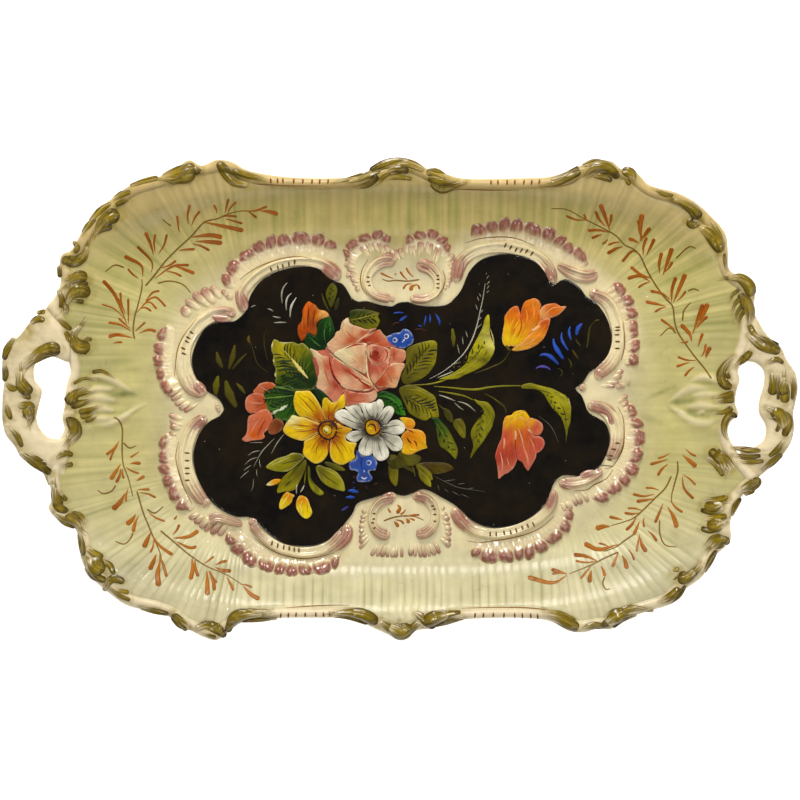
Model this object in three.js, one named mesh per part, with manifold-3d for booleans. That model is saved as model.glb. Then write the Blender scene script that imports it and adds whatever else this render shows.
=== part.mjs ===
// A moulded and glazed ceramic serving tray with two pierced loop handles.
// Millimetres, +Z up. The origin is under the middle of the tray, on the surface that it stands on:
// +X runs from handle to handle and the foot ring's flat underside is z = 0.
//
// The dish is one flared shell. Everything raised on it (the handle loops, the foot ring, the black
// ground, the scrolls of the frame, the shell fringes and the scrolls of the rim) is a body of its
// own that follows the shell with a hair of space under it.

import * as THREE from "three";
import { mergeVertices } from "three/addons/utils/BufferGeometryUtils.js";
import Module from "manifold-3d";

const wasm = await Module();
wasm.setup();

// ---------------------------------------------------------------- driving dimensions

const RIM_HEIGHT = 38; // top of the shell at the rim
const FLOOR_TOP = 11; // top of the flat floor
const WALL = 6; // thickness of the shell, measured straight down
const FOOT_WIDTH = 9;
const CONTACT_GAP = 0.3; // space between two pieces that touch
const BODY_LENGTH_HALF = 238; // half lengths of the rounded oblong that the wall rises along
const BODY_WIDTH_HALF = 146;
const OBLONG_POWER = 3.2; // 2 is an ellipse, higher is squarer
const WALL_START = 0.7; // where the wall leaves the floor, as a share of the oblong
const WALL_END = 0.985; // where it reaches the rim
const WALL_LEAN = 1.15; // above 1 the wall is steepest near the rim
const FOOT_AT = 0.6; // middle of the foot ring, as a share of the oblong
const GROUND_THICKNESS = 1.2;
const RELIEF_ROOT = 1; // how far a raised piece is carried down before the shell is cut out of it

const SPOKES = 116; // facets round the shell
const FOOT_SIDES = 48; // facets round the foot ring
const LOOP_STEPS = 24; // sections along a handle
const STROKE_STEPS = 6; // sections along a raised scroll

// ---------------------------------------------------------------- colours

const CREAM = { color: 0xd9cfa3, roughness: 0.22, metalness: 0 };
const IVORY = { color: 0xe6dcbc, roughness: 0.22, metalness: 0 };
const OLIVE = { color: 0x7a6512, roughness: 0.18, metalness: 0 };
const MAUVE = { color: 0xa0705c, roughness: 0.2, metalness: 0 };
const BLACK = { color: 0x14110d, roughness: 0.12, metalness: 0 };

// ---------------------------------------------------------------- outlines, in mm

// Rim of the dish along the top, from the right handle's seam round to the left handle's seam.
const RIM_TOP = [
  [231, 60], [232.5, 69], [230, 75.5], [221, 81.5], [215.5, 86], [214.8, 98], [213, 109], [205, 119],
  [194, 129], [182, 135.5], [163, 141], [157, 147], [151, 152], [145.5, 151], [139, 156], [131, 157.3],
  [122, 155], [110, 150], [98, 146.3], [80, 145.3], [40, 145.3], [30, 148], [20, 150.3], [12, 155],
  [4, 157], [-5, 155], [-13, 151.8], [-24, 148], [-36, 145.7], [-62, 145.4], [-84, 147.2], [-101, 151],
  [-110, 156], [-120, 157.3], [-130, 153.6], [-138, 157], [-147, 151.5], [-157, 146.6], [-174, 142],
  [-186, 134], [-200, 122], [-210, 107], [-215, 98.5], [-221.5, 95], [-223, 87], [-222.2, 77],
  [-226, 67.5],
];

// Edge of the dish beside the left handle: its upper seam, the side of the opening, its lower seam.
const LEFT_EDGE = [
  [-231, 61], [-227, 52.5], [-223.5, 43], [-220.5, 33.5], [-217.5, 25], [-216, 19], [-217.8, 12],
  [-219.3, 5], [-219.8, -4], [-221.3, -12], [-220, -19], [-222.5, -25], [-225.5, -31], [-227, -38],
  [-229, -44],
];

// Rim of the dish along the bottom, from the left handle's seam to the right handle's seam.
const RIM_BOTTOM = [
  [-231, -50], [-228.8, -58], [-228.5, -66], [-230.3, -70.5], [-224, -78.5], [-214, -83], [-210, -91],
  [-208.7, -104], [-202, -116], [-191, -126], [-178, -134.8], [-158, -139], [-149.5, -143], [-144, -149],
  [-137, -151], [-129, -155], [-120, -157.2], [-112, -151.5], [-102, -145], [-86, -143], [-52, -142.6],
  [-31, -143], [-18, -149], [-9, -153], [1, -157.3], [11, -151], [20, -149.5], [30, -145], [48, -143.3],
  [78, -142.7], [98, -144.8], [111, -151.3], [121, -152], [130, -149.6], [138, -150], [147, -143.5],
  [162, -138.5], [177, -133.5], [185, -125], [197, -116.5], [206, -102.5], [214, -95], [216.5, -91],
  [216.5, -79], [221, -67.5], [228, -58.5], [235, -55],
];

// Edge of the dish beside the right handle, from the lower seam to the upper seam.
const RIGHT_EDGE = [
  [234, -49.5], [228, -42.5], [222.5, -36], [217.5, -28.5], [214.9, -21], [216.5, -14.8], [221.6, -9.5],
  [219.7, -2], [220.6, 6], [222.6, 13.5], [221.6, 19], [224.5, 26], [228.3, 35], [229.8, 46],
];

// The handle loops as stations along the strap: a point of the outer edge with the one facing it.
const LEFT_LOOP = [
  [[-232.6, 59.3], [-229.7, 56.1]], [[-238, 55], [-226, 48.6]], [[-243.5, 49.5], [-223.3, 41]],
  [[-247, 43.5], [-221.6, 34.6]], [[-253.5, 38], [-224.6, 29]], [[-259.5, 29.5], [-233.5, 28.8]],
  [[-260.5, 22], [-239, 23]], [[-258.7, 14.5], [-239.2, 13.6]], [[-260, 6], [-234.4, 6.5]],
  [[-260.4, -3], [-236.2, -3]], [[-260.5, -12], [-237.9, -12]], [[-258.3, -22.5], [-235.6, -20]],
  [[-251, -30.5], [-230.3, -24.6]], [[-248.6, -36.5], [-226.3, -30.5]], [[-240.5, -41], [-228, -37.6]],
  [[-234.6, -45.2], [-229.9, -43.8]],
];
const RIGHT_LOOP = [
  [[232, 53.2], [230.7, 50.5]], [[236.5, 45], [230.6, 42]], [[243.5, 39], [229.2, 34.5]],
  [[249.5, 34.5], [225.6, 26.2]], [[253, 26.8], [232.5, 24.2]], [[258.8, 17.8], [238, 18.6]],
  [[260.4, 8], [237.8, 9.2]], [[259, -1], [235.2, 0]], [[257.4, -9], [235, -8.5]],
  [[258, -18], [239.2, -17]], [[256, -27.5], [238.3, -25.5]], [[251, -35.5], [231.5, -31]],
  [[245, -41.8], [222.8, -32.2]], [[239, -45.8], [227.6, -40]], [[235.6, -47.9], [232.6, -46.4]],
];

// The black ground in the middle: a lobed outline, counter-clockwise from its right-hand point.
const GROUND_OUTLINE = [
  [115.2, 7.7], [120, 11.5], [124.5, 18], [132, 24], [137, 30], [139.3, 39], [137.5, 50], [133, 59],
  [128, 64.5], [122.6, 68], [118, 74], [108.5, 79.3], [101.5, 75.7], [97, 80], [94.5, 86.5], [88.5, 92],
  [77, 95.2], [66, 95.7], [54, 92.2], [46.5, 85], [40.5, 72], [36, 66.5], [31, 62.6], [12, 62],
  [5, 64.3], [0, 64], [-5, 61.6], [-12, 62], [-23, 65], [-28, 64.6], [-32, 67], [-38, 76], [-43, 78],
  [-50, 84.5], [-57, 87.3], [-67, 87.7], [-84, 83], [-93, 76.5], [-99, 67], [-100.4, 60], [-105, 54.5],
  [-109, 51.8], [-120, 51], [-127.5, 47.5], [-133, 39.5], [-137, 27], [-135.5, 18.5], [-129, 8],
  [-119, 0.6], [-115.8, -6], [-118.5, -10.5], [-126, -15], [-132, -22.5], [-136, -36], [-134.5, -47],
  [-129, -59.5], [-121, -69.7], [-108, -76.5], [-98, -77.2], [-86, -88], [-76, -94.2], [-62, -96],
  [-51, -94], [-42, -86.5], [-32, -75], [-28.5, -68], [-19, -64.5], [-6, -61], [3, -62.7], [15.5, -58.5],
  [28, -64], [38, -70], [49, -79.8], [61, -83.8], [77, -81.6], [90, -74], [97.5, -64.5], [101, -55],
  [106.5, -49.6], [120, -49.4], [130, -44.8], [135.5, -36], [138, -25], [135, -15.5], [124.2, -8.4],
  [121, -1], [119.5, 2.5],
];

// ---------------------------------------------------------------- raised scrolls
// Each one is a stroke along a smooth spine: [x, y, half width] at its stations, and its height.

const FRAME_SCROLLS = {
  frame_scroll_top_left: [[-103.5, 59.5, 3], [-103.8, 70, 3.4], [-96, 80.5, 3.3], [-82, 88.8, 3.2],
    [-66, 91.7, 3.2], [-52.5, 89.8, 4], [-41, 82.5, 4.2]],
  frame_scroll_left_upper: [[-109.5, 57.2, 3.6], [-121, 57, 4.6], [-133, 49.5, 4.6], [-141.5, 36, 4.5],
    [-142.8, 22, 5.2], [-137.8, 9.5, 5.4], [-129.5, 2.8, 3.2]],
  frame_scroll_left_lower: [[-127.5, -11, 3], [-135.5, -17.5, 4.4], [-141, -31, 4.6], [-141, -45, 4.8],
    [-136.6, -57, 5], [-129, -68.3, 4]],
  frame_curl_bottom_left: [[-126.5, -81, 4], [-121.5, -78, 3.6], [-112.5, -79.7, 3], [-104, -82.3, 2.5]],
  frame_scroll_bottom_left: [[-98.3, -81.8, 2.8], [-89.5, -91, 3.3], [-76, -98.7, 3.6], [-60, -100.6, 3.7],
    [-46, -96, 3.8], [-37.6, -87, 3.6]],
  frame_scroll_top_right: [[38.5, 83, 3.4], [41.5, 92, 4], [50, 98.3, 4], [64, 101, 4], [78, 99.4, 4],
    [90.5, 94.6, 4], [98, 86.5, 4], [102, 80, 2.5]],
  frame_curl_top_right: [[104, 89, 2.3], [113, 84.3, 4.2], [123.5, 81.5, 4.4], [130.5, 83.5, 4]],
  frame_scroll_right_upper: [[126, 70.5, 3], [136.5, 65, 4.2], [143, 52, 4.6], [144, 38, 4.4],
    [139, 25, 4.8], [129.5, 16.5, 4.4]],
  frame_scroll_right_lower: [[125.3, -3.2, 3.6], [135.5, -7, 4.4], [142.2, -17, 4.6], [142.6, -29, 4.4],
    [138.5, -39, 3.8]],
  frame_curl_right_lower: [[133.3, -46.2, 3], [124.5, -52, 3.4], [113, -54.6, 3.8], [106.3, -53.6, 3]],
  frame_scroll_bottom_right: [[102.2, -60.4, 2.7], [99.5, -70, 3.4], [89.5, -79.5, 3.6],
    [76, -86, 3.8], [61, -88.3, 3.8], [48.5, -85.3, 3.8], [39, -76.3, 3.4]],
  cartouche_top_left_scroll: [[-3, 92, 4], [-13, 91, 4], [-20.3, 84, 3.2], [-21.5, 76, 3], [-16, 69.3, 3],
    [-6, 66.6, 3.4]],
  cartouche_top_right_scroll: [[11, 90, 4.4], [20, 86.5, 4], [25.3, 79, 3.2], [24.5, 71.5, 3],
    [17, 66.8, 3], [7.5, 67, 3]],
  cartouche_bottom_left_scroll: [[-4, -65, 3.4], [-12.5, -67, 3.4], [-18, -74, 3], [-18, -82, 3],
    [-13, -88, 3.8], [-6.5, -89.5, 4]],
  cartouche_bottom_right_scroll: [[9, -63.7, 3.2], [17.5, -65.5, 3.4], [22.5, -72, 3.2], [23, -80, 3],
    [18, -87, 3.6], [10.5, -89, 3.6]],
};

const FRINGES = {
  fringe_top_left: [[-115.5, 75, 4], [-107, 89, 4.2], [-94, 98.6, 4.2], [-76, 103.6, 4.6], [-58, 104, 4.6],
    [-42, 100, 3.6]],
  fringe_cartouche_top_left: [[-35.5, 92.5, 2.6], [-31.5, 100.5, 3.4], [-23, 105.5, 3.4], [-13.5, 107, 3.4],
    [-6.5, 103.5, 3]],
  fringe_cartouche_top_right: [[3.5, 103, 2.8], [12, 107, 3.4], [21.5, 107.5, 3.4], [28.5, 102.5, 3.2],
    [32.5, 97, 3]],
  fringe_top_right: [[46.5, 108.6, 4.2], [60, 112, 5], [75, 113, 5], [90, 109.5, 4.8], [104, 103.4, 4.4],
    [116, 95.6, 4.2], [123.5, 91.2, 3]],
  fringe_right_upper: [[140.5, 76.5, 3.2], [148, 66.5, 4], [152.2, 52, 3.8], [153.8, 37, 3.8],
    [151.7, 23, 3.4]],
  fringe_right_lower: [[150.3, -3, 3], [154, -14, 4], [156, -27, 4.2], [153.3, -40, 4.6], [146.5, -52, 4.6],
    [136.5, -60.5, 4.4], [127.5, -65.5, 3]],
  fringe_bottom_right: [[112, -71.5, 3.2], [107, -83.5, 4], [96, -93, 4.4], [80, -99.3, 4.6], [62, -101.3, 4.8],
    [47, -98.6, 3.8]],
  fringe_bottom_left: [[-39.5, -103.5, 3], [-49, -108.3, 4.2], [-63, -110.5, 4.2], [-79, -109.6, 4.2],
    [-93, -106, 4.2], [-104.5, -98, 4.2], [-114.5, -88, 3.4]],
  fringe_left_lower: [[-154.5, -22.5, 3.2], [-155.5, -34, 3.6], [-153, -48, 3.8], [-148.5, -60, 4.2],
    [-139.5, -73, 4]],
  fringe_left_upper: [[-154.5, 49, 3], [-157, 38, 3.6], [-158, 25, 3.6], [-155.8, 13, 3.6], [-149.5, 4.5, 3.2]],
};

const RIM_SCROLLS = {
  rim_scroll_top_left_corner: [[-154, 146, 1.6], [-147, 147.2, 4], [-139, 149, 5.6]],
  rim_leaf_top_left: [[-197.5, 113, 1.6], [-191.5, 119, 4.6], [-184, 119.5, 5]],
  rim_hook_top_left: [[-204.5, 101, 1.4], [-209, 94, 2.8], [-217.5, 91.7, 3.4]],
  rim_bud_left_upper: [[-215.5, 77.8, 1.8], [-209.5, 79.7, 3], [-205, 79.6, 2.8]],
  rim_bud_left_lower: [[-218.5, 66, 2], [-211, 69.7, 3.8], [-204, 68, 3.2]],
  rim_curl_left: [[-214.5, 42, 1.8], [-210.5, 36.4, 4], [-204.5, 35, 4]],
  handle_left_upper_scroll: [[-243.5, 24.5, 1], [-234, 31.2, 2], [-225.5, 33.3, 2.6]],
  handle_left_lower_scroll: [[-248.3, 16, 2.6], [-247, 8.5, 3.6], [-242, 5, 3.2]],
  handle_left_bud: [[-246.5, -5.6, 2.4], [-242.8, -8.5, 3.8], [-242.3, -13.5, 1.8]],
  rim_curl_left_lower: [[-216.3, -12.5, 3], [-213.7, -19, 2.6], [-217, -26, 1.8]],
  rim_scroll_left_low: [[-225.7, -57, 1.4], [-224.6, -65, 2.8], [-222.6, -70, 3.6]],
  rim_leaf_left_low: [[-219.5, -76.8, 2.6], [-214.3, -78.4, 3.2], [-209, -84, 1.6]],
  rim_shell_bottom_left: [[-204, -104, 3], [-198.5, -108.5, 6], [-192.5, -110.5, 3.6]],
  rim_scroll_bottom_left: [[-112.5, -148.5, 2], [-107, -142, 3.6], [-99, -140, 2.8], [-90, -140.6, 1.2]],
  rim_scroll_bottom_centre_left: [[-43, -139.6, 1.2], [-32, -139.2, 2.6], [-21.5, -141.6, 3.4],
    [-14.5, -146, 2.6]],
  rim_shell_bottom: [[-7.5, -148, 3], [0.8, -151.5, 4.6], [8.2, -148, 3]],
  rim_scroll_bottom_centre_right: [[15, -145.8, 2.8], [22, -142.8, 4], [32, -140.2, 1.8]],
  rim_scroll_bottom_right_corner: [[134.5, -146.3, 3], [140.5, -141.8, 4.2], [149, -138.8, 3]],
  rim_curl_bottom_right: [[181.5, -115.2, 4.6], [187.5, -116.2, 3.2], [193, -111, 1.8]],
  rim_scroll_right_low: [[203, -96.4, 1.6], [207, -92, 2.8], [212, -90.6, 3.4]],
  rim_bud_right_lower: [[200.8, -81.8, 3.2], [206.5, -81.8, 3.8], [211.5, -79.6, 2.4]],
  rim_bud_right_upper: [[199.8, -68.3, 2.8], [205, -70, 3.2], [211, -67.6, 1.8]],
  rim_curl_right_lower: [[205.8, -34.6, 4.2], [210.8, -39.5, 3], [212.8, -46, 1.6]],
  handle_right_outer_bud: [[251, 13.5, 2], [250.8, 2.5, 3.4]],
  handle_right_lower_scroll: [[242, -7.5, 2.6], [248.6, -10.5, 3.8], [251, -19, 1.8]],
  rim_shell_top_right: [[222.5, 78, 1.8], [226.6, 72, 3.8], [224, 63, 2.8]],
  rim_leaf_top_right: [[182, 129.4, 1.4], [189.4, 126, 2.8], [191.6, 119.6, 4]],
  rim_shell_right_upper: [[199, 113, 3], [204.5, 107.5, 4.4], [208.6, 100, 3]],
};

const FRAME_CROWN = 3.6; // how high each kind of relief stands off the shell
const FRINGE_CROWN = 2.4;
const RIM_CROWN = 3.2;
const THINNEST_CROWN_SHARE = 0.45; // a stroke's height falls to this share as it narrows to nothing
const FULL_CROWN_WIDTH = 3.3; // half width from which a stroke has its full height

// ---------------------------------------------------------------- the shell's shape

function oblongShare(x, y) {
  const along = Math.abs(x) / BODY_LENGTH_HALF;
  const across = Math.abs(y) / BODY_WIDTH_HALF;
  return (along ** OBLONG_POWER + across ** OBLONG_POWER) ** (1 / OBLONG_POWER);
}

// Top of the shell: a flat floor, then one S-shaped sweep up to the rim.
function shellTop(x, y) {
  const share = (oblongShare(x, y) - WALL_START) / (WALL_END - WALL_START);
  const rise = Math.min(Math.max(share, 0), 1);
  const sweep = (rise * rise * (3 - 2 * rise)) ** WALL_LEAN;
  return FLOOR_TOP + (RIM_HEIGHT - FLOOR_TOP) * sweep;
}

// ---------------------------------------------------------------- mesh helpers

// A closed body from rows of points: each row is a closed ring, neighbours are joined, and the
// first and last rings are each closed onto the middle of their points.
function ringsBody(rings) {
  const vertices = [];
  const faces = [];
  const size = rings[0].length;
  for (const ring of rings) vertices.push(...ring);
  for (let r = 0; r + 1 < rings.length; r++) {
    for (let i = 0; i < size; i++) {
      const next = (i + 1) % size;
      const a = r * size + i;
      const b = r * size + next;
      faces.push([a, b, b + size], [a, b + size, a + size]);
    }
  }
  const closeOff = (start, outward) => {
    const middle = [0, 1, 2].map(
      (k) => vertices.slice(start, start + size).reduce((sum, p) => sum + p[k], 0) / size,
    );
    vertices.push(middle);
    const tip = vertices.length - 1;
    for (let i = 0; i < size; i++) {
      const a = start + i;
      const b = start + ((i + 1) % size);
      faces.push(outward ? [a, b, tip] : [b, a, tip]);
    }
  };
  closeOff(0, false);
  closeOff((rings.length - 1) * size, true);
  return toGeometry(vertices, faces);
}

function toGeometry(vertices, faces) {
  const geometry = new THREE.BufferGeometry();
  geometry.setAttribute("position", new THREE.Float32BufferAttribute(vertices.flat(), 3));
  geometry.setIndex(faces.flat());
  return signedVolume(geometry) < 0 ? flipped(geometry) : geometry;
}

function signedVolume(geometry) {
  const position = geometry.getAttribute("position");
  const index = geometry.getIndex().array;
  const [a, b, c] = [new THREE.Vector3(), new THREE.Vector3(), new THREE.Vector3()];
  let volume = 0;
  for (let i = 0; i < index.length; i += 3) {
    a.fromBufferAttribute(position, index[i]);
    b.fromBufferAttribute(position, index[i + 1]);
    c.fromBufferAttribute(position, index[i + 2]);
    volume += a.dot(b.cross(c)) / 6;
  }
  return volume;
}

function flipped(geometry) {
  const index = Array.from(geometry.getIndex().array);
  for (let i = 0; i < index.length; i += 3) [index[i + 1], index[i + 2]] = [index[i + 2], index[i + 1]];
  geometry.setIndex(index);
  return geometry;
}

function toSolid(geometry) {
  const merged = mergeVertices(geometry, 1e-5);
  const mesh = new wasm.Mesh({
    numProp: 3,
    vertProperties: new Float32Array(merged.getAttribute("position").array),
    triVerts: new Uint32Array(merged.getIndex().array),
  });
  return new wasm.Manifold(mesh);
}

function fromSolid(solid) {
  const { vertProperties, triVerts } = solid.getMesh();
  const geometry = new THREE.BufferGeometry();
  geometry.setAttribute("position", new THREE.Float32BufferAttribute(vertProperties, 3));
  geometry.setIndex(Array.from(triVerts));
  return geometry;
}

// Points at even spacing along a smooth curve through the given points.
function smoothPoints(points, count, closed) {
  const curve = new THREE.CatmullRomCurve3(
    points.map(([x, y, w = 0]) => new THREE.Vector3(x, y, w)), closed, "centripetal",
  );
  return curve.getSpacedPoints(count).slice(0, closed ? count : count + 1);
}

// ---------------------------------------------------------------- the pieces

// The shell: rings from the middle of the floor up the wall, over the lip and back underneath.
// A ring at a share of the wall lies between the start of the wall and the outline, which is lobed.
function dishGeometry() {
  const outline = smoothPoints([...RIM_TOP, ...LEFT_EDGE, ...RIM_BOTTOM, ...RIGHT_EDGE], SPOKES, true);
  const topWallShares = [0, 0.14, 0.28, 0.43, 0.59, 0.77];
  const underWallShares = [0.8, 0.55, 0.3, 0.05];
  const middleShare = 0.35;
  const lipInset = 2.2;
  const ring = (scaleAt, depth) =>
    outline.map(({ x, y }) => {
      const scale = scaleAt(x, y);
      return [x * scale, y * scale, shellTop(x * scale, y * scale) - depth];
    });
  const middle = () => middleShare;
  const onWall = (share) => (x, y) => {
    const edge = oblongShare(x, y);
    return (WALL_START + (edge - WALL_START) * share) / edge;
  };
  const atLip = (x, y) => 1 - lipInset / Math.hypot(x, y);
  const atEdge = () => 1;
  return ringsBody([
    ring(middle, 0),
    ...topWallShares.map((share) => ring(onWall(share), 0)),
    ring(atLip, 0),
    ring(atEdge, WALL * 0.35),
    ring(atEdge, WALL * 0.7),
    ring(atLip, WALL),
    ...underWallShares.map((share) => ring(onWall(share), WALL)),
    ring(middle, WALL),
  ]);
}

// The ring that the tray stands on, a rounded oblong like the wall.
function footGeometry() {
  const middleX = BODY_LENGTH_HALF * FOOT_AT;
  const middleY = BODY_WIDTH_HALF * FOOT_AT;
  const top = FLOOR_TOP - WALL - CONTACT_GAP;
  const section = [
    [-FOOT_WIDTH / 2, top], [-FOOT_WIDTH / 3, 0], [FOOT_WIDTH / 3, 0], [FOOT_WIDTH / 2, top],
  ];
  const rings = section.map(([across, z]) =>
    Array.from({ length: FOOT_SIDES }, (_, i) => {
      const angle = (i / FOOT_SIDES) * 2 * Math.PI;
      const squared = (value) => Math.sign(value) * Math.abs(value) ** (2 / OBLONG_POWER);
      return [(middleX + across) * squared(Math.cos(angle)), (middleY + across) * squared(Math.sin(angle)), z];
    }),
  );
  const faces = [];
  for (let r = 0; r < rings.length; r++) {
    for (let i = 0; i < FOOT_SIDES; i++) {
      const a = r * FOOT_SIDES + i;
      const b = r * FOOT_SIDES + ((i + 1) % FOOT_SIDES);
      const c = ((r + 1) % rings.length) * FOOT_SIDES + i;
      const d = ((r + 1) % rings.length) * FOOT_SIDES + ((i + 1) % FOOT_SIDES);
      faces.push([a, b, d], [a, d, c]);
    }
  }
  return toGeometry(rings.flat(), faces);
}

// A handle: a strap with rounded edges at the height of the rim, between its two edge curves.
function loopGeometry(stations) {
  const outer = smoothPoints(stations.map(([edge]) => edge), LOOP_STEPS, false);
  const inner = smoothPoints(stations.map(([, edge]) => edge), LOOP_STEPS, false);
  const section = [
    [0, 0.5], [0.1, 0.12], [0.3, 0], [0.7, 0], [0.9, 0.12], [1, 0.5], [0.9, 0.88], [0.6, 1], [0.4, 1],
    [0.1, 0.88],
  ];
  const rings = outer.map((from, i) =>
    section.map(([across, down]) => {
      const x = from.x + (inner[i].x - from.x) * across;
      const y = from.y + (inner[i].y - from.y) * across;
      return [x, y, shellTop(x, y) - down * WALL];
    }),
  );
  return ringsBody(rings);
}

// A plate with the lobed outline of the black ground, grown outwards by a margin.
function groundPlate(margin, bottom, thickness) {
  const outline = GROUND_OUTLINE.map(([x, y], i) => {
    const [bx, by] = GROUND_OUTLINE.at(i - 1);
    const [ax, ay] = GROUND_OUTLINE[(i + 1) % GROUND_OUTLINE.length];
    const step = Math.hypot(ax - bx, ay - by);
    return new THREE.Vector2(x + (margin * (ay - by)) / step, y - (margin * (ax - bx)) / step);
  });
  const options = { depth: thickness, bevelEnabled: false };
  const geometry = new THREE.ExtrudeGeometry(new THREE.Shape(outline), options);
  geometry.deleteAttribute("normal");
  geometry.deleteAttribute("uv");
  geometry.translate(0, 0, bottom);
  return mergeVertices(geometry, 1e-4);
}

// A raised stroke: a domed section carried along its spine, following the shell's height.
function strokeGeometry(stations, crown) {
  const points = smoothPoints(stations, STROKE_STEPS, false);
  const dome = [[-1, 0.25], [-0.62, 0.78], [0, 1], [0.62, 0.78], [1, 0.25]];
  const rings = points.map(({ x, y, z: half }, i) => {
    const before = points[Math.max(i - 1, 0)];
    const after = points[Math.min(i + 1, points.length - 1)];
    const length = Math.hypot(after.x - before.x, after.y - before.y);
    const side = [-(after.y - before.y) / length, (after.x - before.x) / length];
    const fullness = Math.min(half / FULL_CROWN_WIDTH, 1);
    const height = crown * (THINNEST_CROWN_SHARE + (1 - THINNEST_CROWN_SHARE) * fullness);
    const at = (across, lift) => {
      const px = x + side[0] * across * half;
      const py = y + side[1] * across * half;
      return [px, py, shellTop(px, py) + lift];
    };
    return [
      ...dome.map(([across, up]) => at(across, height * up)),
      at(1, -RELIEF_ROOT),
      at(-1, -RELIEF_ROOT),
    ];
  });
  return ringsBody(rings);
}

// ---------------------------------------------------------------- assembly

const tray = new THREE.Group();

function addPiece(name, geometry, look) {
  geometry.computeVertexNormals();
  const piece = new THREE.Mesh(geometry, new THREE.MeshStandardMaterial(look));
  piece.name = name;
  tray.add(piece);
}

const dish = dishGeometry();
const loops = [loopGeometry(LEFT_LOOP), loopGeometry(RIGHT_LOOP)];
addPiece("dish_body", dish, CREAM);
addPiece("foot_ring", footGeometry(), CREAM);
addPiece("handle_left", loops[0], IVORY);
addPiece("handle_right", loops[1], IVORY);
addPiece("black_ground", groundPlate(0, FLOOR_TOP + CONTACT_GAP, GROUND_THICKNESS), BLACK);

// The raised pieces are cut to the shell and the handles, lifted by the contact gap, and stop
// short of the black ground.
const bed = [dish, ...loops].map((geometry) => toSolid(geometry).translate(0, 0, CONTACT_GAP));
bed.push(toSolid(groundPlate(CONTACT_GAP * 1.5, 0, RIM_HEIGHT)));
const relief = [
  [FRAME_SCROLLS, FRAME_CROWN, IVORY],
  [FRINGES, FRINGE_CROWN, MAUVE],
  [RIM_SCROLLS, RIM_CROWN, OLIVE],
];
for (const [strokes, crown, look] of relief) {
  for (const [name, stations] of Object.entries(strokes)) {
    const raised = toSolid(strokeGeometry(stations, crown));
    const cut = bed.reduce((solid, support) => solid.subtract(support), raised);
    addPiece(name, fromSolid(cut), look);
  }
}

export default tray;
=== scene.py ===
import math

import bmesh
import bpy
import numpy as np
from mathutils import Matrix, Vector
from mathutils.bvhtree import BVHTree
from mathutils.geometry import delaunay_2d_cdt


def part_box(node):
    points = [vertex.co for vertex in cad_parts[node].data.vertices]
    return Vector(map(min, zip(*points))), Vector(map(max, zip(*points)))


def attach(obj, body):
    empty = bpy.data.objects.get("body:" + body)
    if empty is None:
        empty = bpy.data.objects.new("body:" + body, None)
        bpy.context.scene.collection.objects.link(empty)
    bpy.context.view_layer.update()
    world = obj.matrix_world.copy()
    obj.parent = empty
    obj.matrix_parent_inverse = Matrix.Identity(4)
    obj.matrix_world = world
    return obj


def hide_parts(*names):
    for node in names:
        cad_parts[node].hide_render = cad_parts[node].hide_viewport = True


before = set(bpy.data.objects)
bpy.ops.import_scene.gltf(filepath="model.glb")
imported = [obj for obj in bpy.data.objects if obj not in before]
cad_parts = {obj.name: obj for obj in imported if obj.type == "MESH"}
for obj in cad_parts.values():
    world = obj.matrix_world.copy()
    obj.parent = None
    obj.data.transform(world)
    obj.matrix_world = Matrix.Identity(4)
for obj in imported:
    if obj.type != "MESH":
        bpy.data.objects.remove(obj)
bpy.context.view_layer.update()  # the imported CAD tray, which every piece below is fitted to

# All sizes and places below are in millimetres, in the frame of the CAD tray: +X runs from handle to
# handle, +Z is up and z = 0 is the surface that the foot ring stands on.
MM = 0.001

# ------------------------------------------------------------------ driving dimensions, as in the CAD

RIM_HEIGHT = 38.0
FLOOR_TOP = 11.0
WALL = 6.0
BODY_LENGTH_HALF, BODY_WIDTH_HALF = 238.0, 146.0
OBLONG_POWER = 3.2
WALL_START, WALL_END, WALL_LEAN = 0.7, 0.985, 1.15
FOOT_AT = 0.6
FOOT_WIDTH = 9.0
GROUND_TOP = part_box("black_ground")[1].z / MM

RIM_WIDTH = 8.0  # the rolled lip outside the wall
DISH_SPACING = 1.12  # between spokes of the dish, along the rim
FLUTE_PITCH = 5.7  # between the folds of the wall
FLUTE_DEPTH = 0.42

# ------------------------------------------------------------------ outlines

RIM_TOP = [
    (231, 60), (232.5, 69), (230, 75.5), (221, 81.5), (215.5, 86), (214.8, 98), (213, 109), (205, 119),
    (194, 129), (182, 135.5), (163, 141), (157, 147), (151, 152), (145.5, 151), (139, 156), (131, 157.3),
    (122, 155), (110, 150), (98, 146.3), (80, 145.3), (40, 145.3), (30, 148), (20, 150.3), (12, 155),
    (4, 157), (-5, 155), (-13, 151.8), (-24, 148), (-36, 145.7), (-62, 145.4), (-84, 147.2), (-101, 151),
    (-110, 156), (-120, 157.3), (-130, 153.6), (-138, 157), (-147, 151.5), (-157, 146.6), (-174, 142),
    (-186, 134), (-200, 122), (-210, 107), (-215, 98.5), (-221.5, 95), (-223, 87), (-222.2, 77),
    (-226, 67.5),
]
LEFT_EDGE = [
    (-231, 61), (-227, 52.5), (-223.5, 43), (-220.5, 33.5), (-217.5, 25), (-216, 19), (-217.8, 12),
    (-219.3, 5), (-219.8, -4), (-221.3, -12), (-220, -19), (-222.5, -25), (-225.5, -31), (-227, -38),
    (-229, -44),
]
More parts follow.
